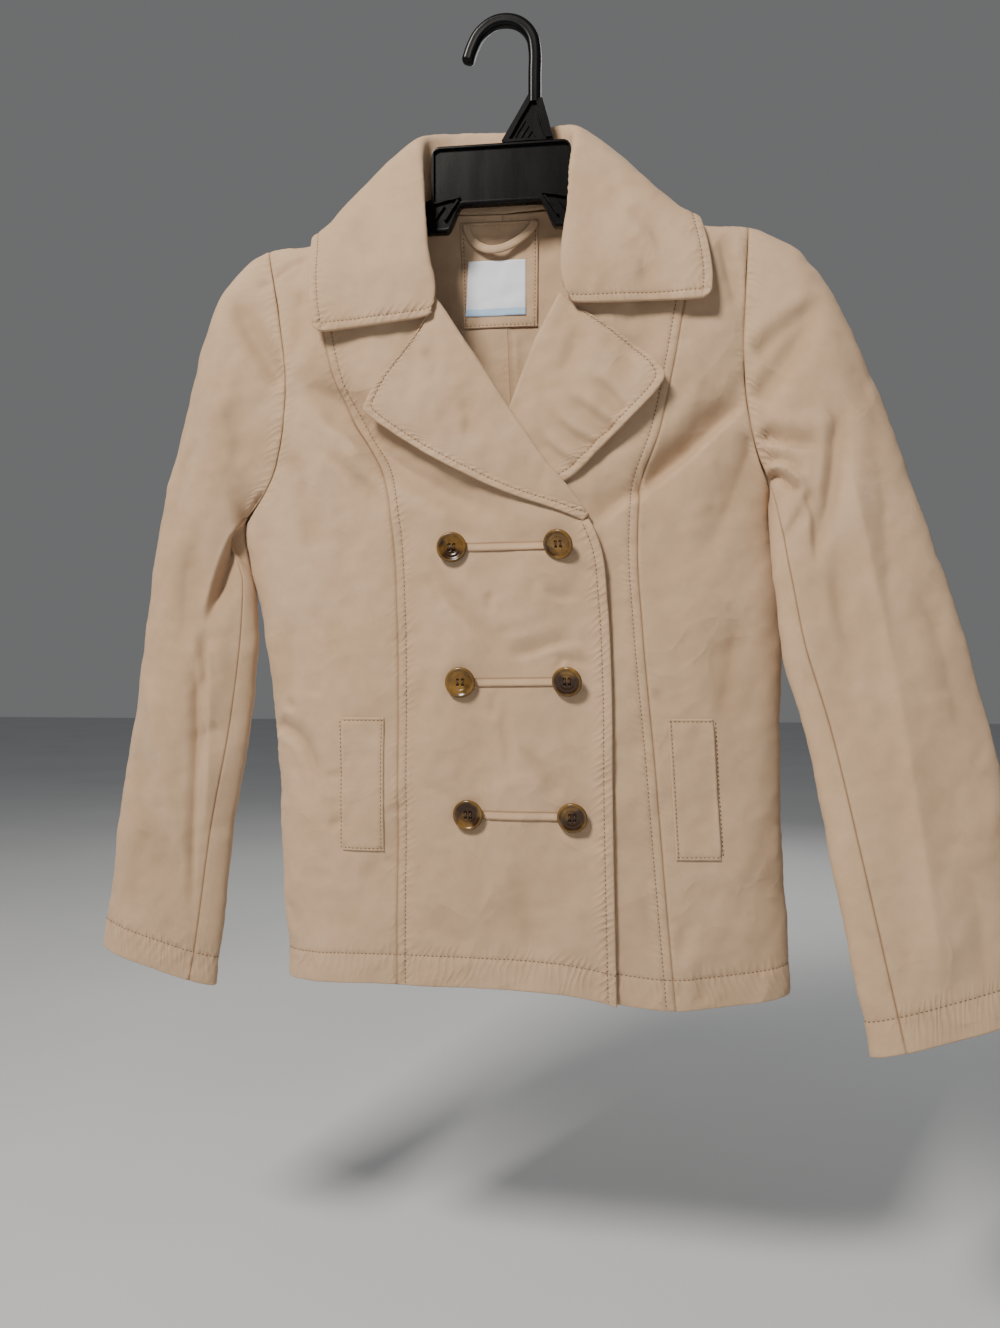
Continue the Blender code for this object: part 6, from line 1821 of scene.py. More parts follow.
@dataclass
class Buttons:
    """Six rimmed buttons with four holes, sewn on with crossed thread and a thread shank."""
    horn: bpy.types.Material
    thread: bpy.types.Material
    radius: float = 11.8
    sectors: int = 64
    hole_pitch: float = 1.9
    hole_radius: float = 1.0
    hole_depth: float = 1.7
    stand: float = 0.4
    gap: float = 0.35
    band: float = 1.0
    droop: tuple[float, float] = (-0.6, -0.8)
    profile: tuple[tuple[float, float], ...] = (
        (0.0, 2.0), (3.6, 2.0), (5.6, 2.15), (6.4, 2.5), (7.0, 2.45), (8.0, 2.5), (8.9, 2.75),
        (9.6, 3.15), (10.2, 3.45), (10.8, 3.4), (11.3, 3.05), (11.65, 2.5), (11.8, 1.9))
    under: tuple[tuple[float, float], ...] = (
        (11.7, 1.5), (11.4, 1.1), (10.6, 0.5), (9.3, 0.05), (8.0, 0.0), (4.0, 0.0), (0.0, 0.0))

    def disc(self) -> tuple[Array, Array]:
        """Points and faces of a button about +Z.

        The face is a height over rings and sectors, read from the profile and sunk by the
        depth inside the four holes; the underside is a second run of rings.
        """
        ring = np.concatenate([np.linspace(0.15, 4.6, 17), np.linspace(5.0, 11.8, 20)])
        top = np.stack([ring, through([p[0] for p in self.profile], [p[1] for p in self.profile],
                                      ring)], 1)
        section = np.concatenate([top, np.array(self.under)[:-1]])
        angle = np.linspace(0, 2 * np.pi, self.sectors + 1)[:-1]
        x, y = section[:, :1] * np.cos(angle), section[:, :1] * np.sin(angle)
        z = section[:, 1:] + np.zeros_like(x)
        for side, up in ((-1, -1), (-1, 1), (1, -1), (1, 1)):
            gap = np.hypot(x - side * self.hole_pitch, y - up * self.hole_pitch)
            hole = 1 - smoothstep(self.hole_radius - 0.15, self.hole_radius + 0.3, gap)
            hole[len(top):] = 0
            z = z - self.hole_depth * hole
        points = np.stack([x, y, z], -1).reshape(-1, 3)
        rings = len(section)
        quads = grid_quads(rings, self.sectors, wrap=True)
        ring = np.arange(self.sectors)
        caps = [fan(len(points), ring, flip=True),
                fan(len(points) + 1, ring + (rings - 1) * self.sectors)]
        points = np.concatenate([points, [(0, 0, self.profile[0][1]), (0, 0, 0.0)]])
        return points, np.concatenate([quads, *caps])

    def seat(self, x: float, z: float, tilt: float) -> tuple[Array, Array, Array]:
        """Where a button's underside sits, its direction, and the cloth's direction there."""
        at_x, at_z = np.array([x]), np.array([z])
        face, normal = BODY.over(at_x, at_z, Face.FRONT)
        angle = math.radians(tilt)
        height = LAP.height(at_x, at_z)[0] + self.gap + self.band + max(
            self.stand, 0.8 * (self.radius - 2.5) * math.sin(angle) + 0.2)
        relief = FRONT_RELIEF.height(face)[0]
        lean = np.array([self.droop[0], 0.0, self.droop[1]]) * math.sin(angle)
        way = unit(normal[0] * math.cos(angle) + lean)
        return face[0] + normal[0] * (height + relief * 0.5), way, normal[0]

    def cord_tube(self, line: Array, radius: float) -> tuple[Array, Array]:
        """A thin tube of six sides along a short run of points."""
        way = unit(np.gradient(line, axis=0))
        side = unit(np.cross(way, (0.3, 0.2, 0.93)))
        up = np.cross(way, side)
        angle = np.linspace(0, 2 * np.pi, 7)[:-1]
        ring = side[:, None] * np.cos(angle)[:, None] + up[:, None] * np.sin(angle)[:, None]
        points = line[:, None] + ring * radius
        quads = grid_quads(len(line), 6, wrap=True)
        ends = [np.array([[0, 3, 2, 1], [0, 5, 4, 3]]),
                np.array([[0, 1, 2, 3], [0, 3, 4, 5]]) + 6 * (len(line) - 1)]
        return points.reshape(-1, 3), np.concatenate([quads, *ends])

    def sewing(self, place: Array, way: Array, cloth: Array) -> list[tuple[Array, Array]]:
        """Thread over the holes in two bars, and the wrapped shank under the button."""
        across, up = frame_at(way)
        tubes = []
        bow = np.linspace(0, 1, 9)
        for side in (-1, 1):
            for shift in (-0.28, 0.28):
                y = self.hole_pitch * (1 - 2 * bow)
                x = side * self.hole_pitch + shift
                z = 1.1 + 1.35 * np.sin(np.pi * bow) ** 0.5
                line = place + x * across + y[:, None] * up + z[:, None] * way
                tubes.append(self.cord_tube(line, 0.3))
        turns = np.linspace(0, 1, 90)
        foot = place - cloth * 3.2
        axis = foot + (place + way * 0.2 - foot) * turns[:, None]
        spin = turns * 2 * np.pi * 6.5
        wide = 1.25 + 0.35 * np.cos(turns * 2 * np.pi) ** 2
        line = axis + wide[:, None] * (np.cos(spin)[:, None] * across + np.sin(spin)[:, None] * up)
        tubes.append(self.cord_tube(line, 0.34))
        return tubes

    def build(self) -> None:
        """Makes the six buttons and one mesh of their thread."""
        disc, faces = self.disc()
        tubes = []
        turn = 0
        for row in BUTTON_ROWS:
            for side, x, z, tilt in (("right", row.x_right, row.z_right, row.tilt_right),
                                     ("left", row.x_left, row.z_left, row.tilt_left)):
                place, way, cloth = self.seat(x, z, tilt)
                across, up = frame_at(way)
                points = place + disc[:, :1] * across + disc[:, 1:2] * up + disc[:, 2:] * way
                own = disc[:, :2] + np.array([37.0, 53.0]) * turn
                # Mask of the raised rim, where the horn finish paints a highlight.
                rim = smoothstep(9.2, 10.4, np.hypot(disc[:, 0], disc[:, 1])) * (disc[:, 2] > 1.6)
                marks = np.stack([rim, 0 * rim, 0 * rim], -1)
                name = f"button_{side}_{row.name}"
                piece = finish_mesh(name + "_horn", points, faces, Slot.HORN, self.horn, own,
                                    marks, angle=75.0)
                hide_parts(name)
                tubes += self.sewing(place, way, cloth)
                turn += 1
        start = np.cumsum([0] + [len(points) for points, _ in tubes[:-1]])
        finish_mesh("button_threads", np.concatenate([points for points, _ in tubes]),
                    np.concatenate([quads + s for (_, quads), s in zip(tubes, start)]), Slot.TWILL,
                    self.thread)


# ---------------------------------------------------------------- hanger

@dataclass
class Hanger:
    """Moulded hanger: a hook with an I-shaped section, a ribbed gusset, a bar and two arms."""
    plastic: bpy.types.Material
    rod: float = 5.1
    hook_line: Run = (
        (25.5, -62.0), (25.5, -40.0), (25.5, -20.0), (23.8, -10.5), (19.0, -2.5), (11.5, 3.2),
        (3.0, 5.4), (-6.0, 4.6), (-13.5, 0.8), (-20.0, -5.5), (-24.6, -14.0), (-29.2, -27.5))
    bar_top: float = -93.5
    bar_foot: float = -141.5
    bar_half: float = 56.0
    bar_corner: float = 7.0
    middle: float = -1.3
    half_thick: float = 4.5
    rib_start: float = 31.0
    rib_end: float = 44.0
    rib_drop: float = 21.0
    arm_start: float = 60.0
    arm_end: float = 174.0
    arm_drop: float = 21.0
    rim: float = 3.2
    recess: float = 2.6

    def hook(self) -> bpy.types.Object:
        """The hook: a rounded square section carried along its line, hollowed on both faces.

        The section is a superellipse of power 2.8; its two broad faces sink by 1.1 mm in a bell
        round their middles, which leaves a rim along the inner and the outer edge. The tip
        closes over the last 4 mm by a quarter ellipse.
        """
        line = along(self.hook_line, np.linspace(0, 1, 170))
        gone = np.concatenate([[0.0], np.cumsum(np.hypot(*np.diff(line, axis=0).T))])
        way = unit(np.gradient(line, axis=0))
        for _ in range(12):
            way[1:-1] = unit(way[:-2] + way[1:-1] * 2 + way[2:])
        left = np.clip((gone[-1] - gone) / 4.0, 0, 1)
        close = np.sqrt(1 - (1 - left) ** 2) * 0.98 + 0.02
        angle = np.linspace(0, 2 * np.pi, 49)[:-1]
        power = 2 / 2.8
        side = np.sign(np.cos(angle)) * np.abs(np.cos(angle)) ** power
        deep = np.sign(np.sin(angle)) * np.abs(np.sin(angle)) ** power
        hollow = 0.35 * np.exp(-(side / 0.42) ** 2)
        deep = np.sign(deep) * np.maximum(np.abs(deep) * self.rod - hollow, 0) * 0.93
        out_x = -way[:, 1][:, None] * side * self.rod * close[:, None]
        out_z = way[:, 0][:, None] * side * self.rod * close[:, None]
        points = np.stack([line[:, :1] + out_x, deep[None] * close[:, None], line[:, 1:] + out_z], -1)
        points = points.reshape(-1, 3)
        quads = [grid_quads(len(line), len(angle), wrap=True)]
        for end, base in ((0, 0), (1, (len(line) - 1) * len(angle))):
            quads.append(fan(len(points), np.arange(len(angle)) + base, flip=end == 1))
            points = np.concatenate([points, points[base:base + len(angle)].mean(0)[None]])
        return finish_mesh("hanger_hook_rod", points, np.concatenate(quads), Slot.PLASTIC,
                           self.plastic)

    def prism(self, outline: Array, low: float, high: float, bevel: float = 0.35
              ) -> tuple[Array, Array]:
        """A bevelled plate: a convex or star-shaped outline of (x, z) between two depths."""
        centre = outline.mean(0)
        inner = outline + unit(centre - outline) * bevel
        rings = [(inner, low), (outline, low + bevel), (outline, high - bevel), (inner, high)]
        points = np.concatenate([np.stack([ring[:, 0], np.full(len(ring), y), ring[:, 1]], 1)
                                 for ring, y in rings])
        count = len(outline)
        quads = [grid_quads(4, count, wrap=True)]
        ends = np.array([[centre[0], low, centre[1]], [centre[0], high, centre[1]]])
        quads.append(fan(4 * count, np.arange(count)))
        quads.append(fan(4 * count + 1, np.arange(count) + 3 * count, flip=True))
        return np.concatenate([points, ends]), np.concatenate(quads)

    def beam(self, a: tuple[float, float], b: tuple[float, float], wide: float, low: float,
             high: float) -> tuple[Array, Array]:
        """A straight bevelled rib between two places."""
        start, end = np.array(a, float), np.array(b, float)
        way = unit(end - start)
        side = np.array([-way[1], way[0]]) * wide / 2
        steps = np.linspace(0, 1, 5)[:, None]
        one, two = start + side + (end - start) * steps, end - side + (start - end) * steps
        return self.prism(np.concatenate([one, two]), low, high)

    def gusset(self) -> list[tuple[Array, Array]]:
        """The web under the rod, its two legs, its foot and the slanted ribs between them."""
        foot = self.bar_top + 0.6
        parts = [self.prism(np.array([(20.9, -57), (30.1, -57), (35.0, -75), (40.0, foot),
                                      (22.0, foot), (1.0, foot), (10.5, -75)], float), -1.4, 1.4)]
        parts.append(self.beam((22.6, -57.5), (1.2, foot - 0.2), 4.4, -4.0, 4.0))
        parts.append(self.beam((29.2, -60.0), (38.0, foot - 0.4), 5.6, -4.2, 4.2))
        parts.append(self.beam((26.0, -68.0), (33.4, foot - 0.3), 1.4, -3.0, 3.0))
        for x in (7.5, 12.5, 17.5, 22.5):
            parts.append(self.beam((x, foot), (x + 0.46 * (30 - x), foot + 1.15 * (27 - x) * 0.75),
                                   1.3, -2.4, 2.4))
        parts.append(self.beam((0.6, foot + 0.6), (40.2, foot + 0.6), 2.2, -4.2, 4.2))
        return parts

    def section_z(self, x: Array) -> tuple[Array, Array, Array]:
        """Top, foot and half thickness of the hanger's body at each x."""
        reach = np.abs(x - self.middle)
        into = np.clip((reach - self.bar_half + self.bar_corner) / self.bar_corner, 0, 1)
        bar_top = self.bar_top - self.bar_corner * (1 - np.sqrt(1 - into ** 2))
        shoulder = through(column(SHOULDER, "reach"), column(SHOULDER, "z"), np.abs(x))
        inside = reach <= self.bar_half
        top = np.where(inside, bar_top, shoulder - 1.2 - 0.9)
        foot = self.bar_foot - self.rib_drop * smoothstep(self.rib_start, self.rib_end, reach)
        foot = foot - np.where(inside, 0.0, self.arm_drop * smoothstep(self.arm_start, self.arm_end,
                                                                       reach))
        half = self.half_thick - 1.6 * smoothstep(120.0, self.arm_end, reach)
        return top, foot, half

    def body(self) -> tuple[Array, Array]:
        """Bar and arms: a web with a raised rim all round, as a grid of x and height.

        Across the height the half thickness is the rim's at both edges and the web's between,
        joined by smooth steps over 0.8 mm; the rim's own corners are rounded off.
        """
        reaches = np.concatenate([np.linspace(0, 48.5, 50)[1:], np.linspace(49, 56, 22),
                                  np.linspace(56.02, 62, 8), np.linspace(63, self.arm_end, 70)])
        x = self.middle + np.concatenate([-reaches[::-1], [0.0], reaches])
        top, foot, half = self.section_z(x)
        tall = (top - foot)[:, None]
        near = np.array([0.0, 0.25, 0.7, 1.4, 2.2, 2.7, 3.1, 3.5, 4.2])
        squeeze = np.minimum(1.0, tall / (2 * near[-1] + 2))
        share = np.linspace(0, 1, 16)[None, 1:-1]
        low, high = near * squeeze, tall - near[::-1] * squeeze
        gone = np.concatenate([low, low[:, -1:] + (high[:, :1] - low[:, -1:]) * share, high], 1)
        edge = np.minimum(gone, tall - gone)
        ends = np.minimum(np.abs(x - x[0]), np.abs(x - x[-1]))[:, None]
        corner = np.abs(np.abs(x - self.middle) - self.bar_half)[:, None]
        wall = np.minimum(np.minimum(edge, ends), corner + 0.6)
        rim = 1 - smoothstep(self.rim - 0.8, self.rim, wall)
        round_off = np.sqrt(np.clip(1 - (1 - np.clip(edge / 0.9, 0, 1)) ** 2, 0.02, 1))
        deep = half[:, None] * (0.55 + 0.45 * round_off) - self.recess * (1 - rim) * (
            half[:, None] / self.half_thick)
        z = top[:, None] - gone
        wide = np.broadcast_to(x[:, None], z.shape)
        front, back = np.stack([wide, -deep, z], -1), np.stack([wide, deep, z], -1)
        rows, columns = z.shape
        around = np.concatenate([front, back[:, ::-1]], 1)
        points = around.reshape(-1, 3)
        quads = [grid_quads(rows, 2 * columns, wrap=True)]
        for end in (0, rows - 1):
            first = np.arange(columns - 1) + end * 2 * columns
            mirror = end * 2 * columns + 2 * columns - 1 - np.arange(columns - 1)
            cap = np.stack([first, mirror, mirror - 1, first + 1], 1)
            quads.append(cap if end == 0 else cap[:, ::-1])
        return points, np.concatenate(quads)

    def corner_ribs(self) -> list[tuple[Array, Array]]:
        """Slanted ribs and a level ledge at each lower corner of the bar."""
        parts = []
        for side in (-1, 1):
            def at(reach: float, z: float) -> tuple[float, float]:
                """A place at this reach to the side."""
                return (self.middle + side * reach, z)
            parts.append(self.beam(at(54.5, -139.0), at(33.0, -134.8), 1.6, -4.3, 4.3))
            parts.append(self.beam(at(34.5, -137.0), at(45.5, -153.0), 1.6, -4.5, 4.5))
            parts.append(self.beam(at(46.0, -141.0), at(55.0, -154.0), 1.3, -4.0, 4.0))
        return parts

    def build(self) -> None:
        """Makes the hook with its gusset, and the body with its ribs."""
        rod = self.hook()
        points, quads = joined(self.gusset())
        gusset = finish_mesh("hanger_gusset", points, quads, Slot.PLASTIC, self.plastic, angle=40.0)
        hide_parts("hanger_hook")
        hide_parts("hanger_hook")
        body = finish_mesh("hanger_bar_and_arms", *self.body(), Slot.PLASTIC, self.plastic,
                           angle=50.0)
        ribs = finish_mesh("hanger_corner_ribs", *joined(self.corner_ribs()), Slot.PLASTIC,
                           self.plastic, angle=40.0)
        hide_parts("hanger_body")
        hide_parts("hanger_body")


def joined(parts: Sequence[tuple[Array, Array]]) -> tuple[Array, Array]:
    """Several meshes' points and faces as one, each turned outwards first."""
    points, quads, count = [], [], 0
    for own, faces in parts:
        points.append(own)
        quads.append(outwards(own, faces) + count)
        count += len(own)
    return np.concatenate(points), np.concatenate(quads)


# ---------------------------------------------------------------- finishes

class Nodes:
    """A short way to place and join shader nodes in one tree."""

    def __init__(self, tree: bpy.types.NodeTree) -> None:
        """Keeps the tree."""
        self.tree = tree

    def feed(self, node: bpy.types.Node, inputs: dict[str | int, object]) -> None:
        """Sets inputs, by socket name or number, to values or to other nodes' outputs."""
        for socket, value in inputs.items():
            if isinstance(value, bpy.types.NodeSocket):
                self.tree.links.new(value, node.inputs[socket])
            else:
                node.inputs[socket].default_value = value

    def add(self, kind: str, inputs: dict[str | int, object] | None = None,
            **settings: object) -> bpy.types.Node:
        """A new node with these settings and inputs."""
        node = self.tree.nodes.new(kind)
        for name, value in settings.items():
            setattr(node, name, value)
        self.feed(node, inputs or {})
        return node

    def math(self, operation: str, *values: object) -> bpy.types.NodeSocket:
        """The result of a Math node."""
        return self.add("ShaderNodeMath", dict(enumerate(values)), operation=operation).outputs[0]

    def times(self, first: object, second: object) -> bpy.types.NodeSocket:
        """The product of two values."""
        return self.math("MULTIPLY", first, second)

    def plus(self, first: object, second: object) -> bpy.types.NodeSocket:
        """The sum of two values."""
        return self.math("ADD", first, second)

    def noise(self, vector: bpy.types.NodeSocket, scale: object, detail: float = 3.0,
              roughness: float = 0.5) -> bpy.types.NodeSocket:
        """The factor of a noise texture."""
        return self.add("ShaderNodeTexNoise", {"Vector": vector, "Scale": scale, "Detail": detail,
                                               "Roughness": roughness}).outputs["Fac"]

    def ramp(self, value: bpy.types.NodeSocket, low: float, high: float, to_low: float = 0.0,
             to_high: float = 1.0) -> bpy.types.NodeSocket:
        """A value mapped from one range to another, held at its ends."""
        return self.add("ShaderNodeMapRange", {0: value, 1: low, 2: high, 3: to_low, 4: to_high},
                        clamp=True).outputs[0]

    def mix(self, share: object, first: object, second: object) -> bpy.types.NodeSocket:
        """Two colours mixed by a share."""
        return self.add("ShaderNodeMix", {0: share, 6: first, 7: second}, data_type="RGBA",
                        blend_type="MIX").outputs[2]

    def split(self, vector: bpy.types.NodeSocket) -> bpy.types.NodeOutputs:
        """A vector's three parts."""
        return self.add("ShaderNodeSeparateXYZ", {0: vector}).outputs

    def place(self) -> bpy.types.NodeSocket:
        """The shaded point, in the piece's own metres."""
        return self.add("ShaderNodeTexCoord").outputs["Object"]

    def cloth_map(self) -> bpy.types.NodeSocket:
        """The distances over the cloth."""
        return self.add("ShaderNodeUVMap", uv_map="weave").outputs[0]

    def marks(self) -> bpy.types.NodeSocket:
        """The masks of painted shade and puckers, or of a button's painted rim highlight."""
        return self.add("ShaderNodeAttribute", attribute_name="marks").outputs["Vector"]

    def group(self, tree: bpy.types.NodeTree, inputs: dict[str | int, object]
              ) -> bpy.types.NodeOutputs:
        """A shader group's outputs for these inputs."""
        return self.add("ShaderNodeGroup", inputs, node_tree=tree).outputs

    def bump(self, height: bpy.types.NodeSocket, distance: float, strength: float,
             normal: bpy.types.NodeSocket | None = None) -> bpy.types.NodeSocket:
        """The normal bent by a height, over another normal if there is one."""
        under = {} if normal is None else {"Normal": normal}
        return self.add("ShaderNodeBump", {"Strength": strength, "Distance": distance,
                                           "Height": height, **under}).outputs[0]


def new_group(name: str, inputs: dict[str, tuple[str, object]], outputs: Sequence[str]
              ) -> tuple[bpy.types.NodeTree, Nodes, bpy.types.NodeOutputs, bpy.types.Node]:
    """An empty shader group with named sockets.

    Args:
        name: the group's name.
        inputs: socket name to its type and its default.
        outputs: names of its outputs, all of them numbers.

    Returns:
        The group, a placer for it, the outputs of its input node, and its output node.
    """
    tree = bpy.data.node_groups.new(name, "ShaderNodeTree")
    for socket, (kind, value) in inputs.items():
        made = tree.interface.new_socket(socket, in_out="INPUT", socket_type="NodeSocket" + kind)
        if value is not None:
            made.default_value = value
    for socket in outputs:
        tree.interface.new_socket(socket, in_out="OUTPUT", socket_type="NodeSocketFloat")
    nodes = Nodes(tree)
    return tree, nodes, nodes.add("NodeGroupInput").outputs, nodes.add("NodeGroupOutput")


def weave_group(yarns: float = 2100.0) -> bpy.types.NodeTree:
    """Diagonal twill over a UV map in metres: a height, and a mask of its dark furrows.

    Bands run diagonally at the pitch, bent a little by noise, and are cut across by the filling
    yarns, so many a metre; slubs are noise stretched along the yarns.
    """
    tree, nodes, given, result = new_group(
        "twill_weave", {"Vector": ("Vector", None), "Lines per metre": ("Float", 1300.0),
                        "Slub": ("Float", 0.5)}, ("Height", "Furrow"))
    parts = nodes.split(given["Vector"])
    across, down = parts[0], parts[1]
    wander = nodes.noise(given["Vector"], 260.0, 2.0)
    bent = nodes.plus(nodes.times(nodes.plus(across, down), given["Lines per metre"]),
                      nodes.times(wander, 0.9))
    wave = nodes.math("SINE", nodes.times(bent, 2 * math.pi))
    cross = nodes.math("SINE", nodes.times(down, 2 * math.pi * yarns))
    stretched = nodes.add("ShaderNodeCombineXYZ", {0: nodes.times(across, 900.0),
                                                   1: nodes.times(down, 110.0)})
    slub = nodes.math("SUBTRACT", nodes.noise(stretched.outputs[0], 1.0, 2.0), 0.5)
    height = nodes.plus(nodes.times(wave, 0.5), nodes.times(cross, 0.2))
    nodes.feed(result, {"Height": nodes.plus(height, nodes.times(slub, given["Slub"])),
                        "Furrow": nodes.ramp(wave, -1.0, 0.4, 1.0, 0.0)})
    return tree


def pucker_group() -> bpy.types.NodeTree:
    """Fine puckers beside stitching, over a UV map in metres.

    Along each way of the map the profile is 1 - 2|sin| at the pitch, slanted a little and
    shifted by noise, times that way's share in the marks.
    """
    tree, nodes, given, result = new_group(
        "seam_puckers", {"Vector": ("Vector", None), "Marks": ("Vector", None),
                         "Pitch": ("Float", 0.0062)}, ("Height",))
    place, share = nodes.split(given["Vector"]), nodes.split(given["Marks"])
    wander = nodes.times(nodes.noise(given["Vector"], 42.0, 2.0), 9.0)
    profiles = []
    for way, other, mark in ((1, 0, 1), (0, 1, 2)):
        slanted = nodes.plus(place[way], nodes.times(place[other], 0.3))
        turns = nodes.math("DIVIDE", slanted, given["Pitch"])
        crest = nodes.math("ABSOLUTE", nodes.math("SINE", nodes.plus(
            nodes.times(turns, math.pi), wander)))
        profile = nodes.math("SUBTRACT", 1.0, nodes.times(crest, 2.0))
        profiles.append(nodes.times(profile, share[mark]))
    nodes.feed(result, {"Height": nodes.plus(*profiles)})
    return tree


def crumple_group() -> bpy.types.NodeTree:
    """Sharp little wrinkles left by washing: ridged noise, kept where a broad noise is high."""
    tree, nodes, given, result = new_group(
        "washed_crumple", {"Vector": ("Vector", None), "Scale": ("Float", 22.0)}, ("Height",))
    ridges = nodes.add("ShaderNodeTexNoise", {
        "Vector": given["Vector"], "Scale": given["Scale"], "Detail": 2.5,
        "Roughness": 0.5, "Lacunarity": 2.1, "Offset": 0.9, "Gain": 1.2, "Distortion": 0.9},
        noise_type="RIDGED_MULTIFRACTAL", normalize=True)
    kept = nodes.ramp(nodes.noise(given["Vector"], 11.0, 2.0), 0.38, 0.66, 0.15, 1.0)
    nodes.feed(result, {"Height": nodes.times(ridges.outputs["Fac"], kept)})
    return tree


def mottle_group() -> bpy.types.NodeTree:
    """Uneven dye and wash: a broad and a fine noise over a vector, mapped round 0.5."""
    scales = {"Broad": 9.0, "Fine": 90.0}
    tree, nodes, given, result = new_group(
        "wash_mottle", {"Vector": ("Vector", None),
                        **{name: ("Float", scale) for name, scale in scales.items()}}, tuple(scales))
    nodes.feed(result, {name: nodes.noise(given["Vector"], given[name], 4.0, 0.6)
                        for name in scales})
    return tree


@dataclass(frozen=True)
class Finish:
    """What every finish shares: its name and its shader's fixed values."""
    name: str
    roughness: float

    def start(self) -> tuple[bpy.types.Material, Nodes, bpy.types.Node]:
        """A new material, a placer for its tree and its Principled shader."""
        material = bpy.data.materials.new(self.name)
        material.use_nodes = True
        shader = material.node_tree.nodes["Principled BSDF"]
        shader.inputs["Roughness"].default_value = self.roughness
        return material, Nodes(material.node_tree), shader


@dataclass(frozen=True)
class Twill(Finish):
    """Washed cotton twill: warm base with paler patches of uneven wash, painted shade in seams, stitch
    grooves and crease troughs, and a diagonal weave.
    """
    base: Color
    deep: Color
    pale: Color
    weave: bpy.types.NodeTree
    mottle: bpy.types.NodeTree
    puckers: bpy.types.NodeTree
    crumple: bpy.types.NodeTree
    lines: float = 1300.0
    bump: float = 0.5
    sheen: float = 0.12

    def make(self) -> bpy.types.Material:
        """The finish as a material."""
        material, nodes, shader = self.start()
        uv, place, marks = nodes.cloth_map(), nodes.place(), nodes.marks()
        weave = nodes.group(self.weave, {"Vector": uv, "Lines per metre": self.lines})
        wash = nodes.group(self.mottle, {"Vector": place})
        color = nodes.mix(nodes.ramp(wash["Broad"], 0.35, 0.68), self.base, self.pale)
        # The last mix paints shade: the first mark darkens seams, stitch grooves, crease troughs and
        # band edges towards deep.
        for share in (nodes.ramp(wash["Fine"], 0.4, 0.75, 0.0, 0.12),
                      nodes.times(weave["Furrow"], 0.16),
                      nodes.times(nodes.split(marks)[0], 0.78)):
            color = nodes.mix(share, color, self.deep)
        normal = nodes.bump(weave["Height"], 0.00012, self.bump)
        pucker = nodes.group(self.puckers, {"Vector": uv, "Marks": marks})[0]
        crumple = nodes.group(self.crumple, {"Vector": place})[0]
        for height, deep, strength in ((pucker, 0.0006, 0.9), (crumple, 0.0016, 0.4),
                                       (nodes.noise(place, 210.0, 4.0, 0.6), 0.0006, 0.25)):
            normal = nodes.bump(height, deep, strength, normal)
        nodes.feed(shader, {
            "Base Color": color, "Normal": normal,
            "Roughness": nodes.ramp(wash["Fine"], 0.3, 0.7, self.roughness - 0.05,
                                    self.roughness + 0.06),
            "Sheen Weight": self.sheen, "Sheen Roughness": 0.5, "Specular IOR Level": 0.18})
        return material


@dataclass(frozen=True)
class SewingThread(Finish):
    """Spun polyester thread with a twisted lay: its own tone a little darker than the cloth, painted
    dark brown beyond that as the shade of the needle holes and grooves along each stitch.
    """
    base: Color
    deep: Color

    def make(self) -> bpy.types.Material:
        """The finish as a material."""
        material, nodes, shader = self.start()
        lay = nodes.noise(nodes.place(), 1500.0, 2.0)
        nodes.feed(shader, {
            "Base Color": nodes.mix(nodes.ramp(lay, 0.35, 0.65), self.base, self.deep),
            "Normal": nodes.bump(lay, 0.00015, 0.5)})
        return material


@dataclass(frozen=True)
class LabelCloth(Finish):
    """Bare woven label: white damask with a pale blue lower band."""
    white: Color
    blue: Color
    furrow: Color
    band_top: float
    weave: bpy.types.NodeTree
    lines: float = 2400.0

    def make(self) -> bpy.types.Material:
        """The finish as a material; the band is cut off by the height of the point."""
        material, nodes, shader = self.start()
        height = nodes.split(nodes.place())[2]
        band = nodes.ramp(height, self.band_top - 0.0004, self.band_top + 0.0006, 1.0, 0.0)
        weave = nodes.group(self.weave, {"Vector": nodes.cloth_map(),
                                         "Lines per metre": self.lines})
        nodes.feed(shader, {
            "Base Color": nodes.mix(nodes.times(weave["Furrow"], 0.12),
                                    nodes.mix(band, self.white, self.blue), self.furrow),
            "Normal": nodes.bump(weave["Height"], 0.00008, 0.4)})
        return material


@dataclass(frozen=True)
class Horn(Finish):
    """Tortoiseshell resin: amber with dark brown clouds under a clear coat, and a painted highlight in
    honey round each button's raised rim.
    """
    amber: Color
    honey: Color
    brown: Color

    def make(self) -> bpy.types.Material:
        """The finish as a material; the clouds follow each button's own flat map."""
        material, nodes, shader = self.start()
        uv = nodes.cloth_map()
        fleck = nodes.noise(uv, 420.0, 3.0)
        # The first mark is the raised rim, painted paler towards honey as a highlight.
        rim = nodes.split(nodes.marks())[0]
        color = nodes.mix(nodes.ramp(nodes.noise(uv, 55.0, 3.0), 0.38, 0.62), self.amber, self.honey)
        color = nodes.mix(nodes.ramp(nodes.noise(uv, 62.0, 2.0, 0.4), 0.42, 0.56), color, self.brown)
        color = nodes.mix(nodes.ramp(fleck, 0.5, 0.75, 0.0, 0.35), color, self.brown)
        nodes.feed(shader, {
            "Base Color": nodes.mix(nodes.times(rim, 0.45), color, self.honey),
            "Roughness": nodes.ramp(fleck, 0.3, 0.8, self.roughness, self.roughness + 0.14),
            "Normal": nodes.bump(fleck, 0.0002, 0.12),
            "Coat Weight": 0.12, "Coat Roughness": 0.08, "Specular IOR Level": 0.38})
        return material


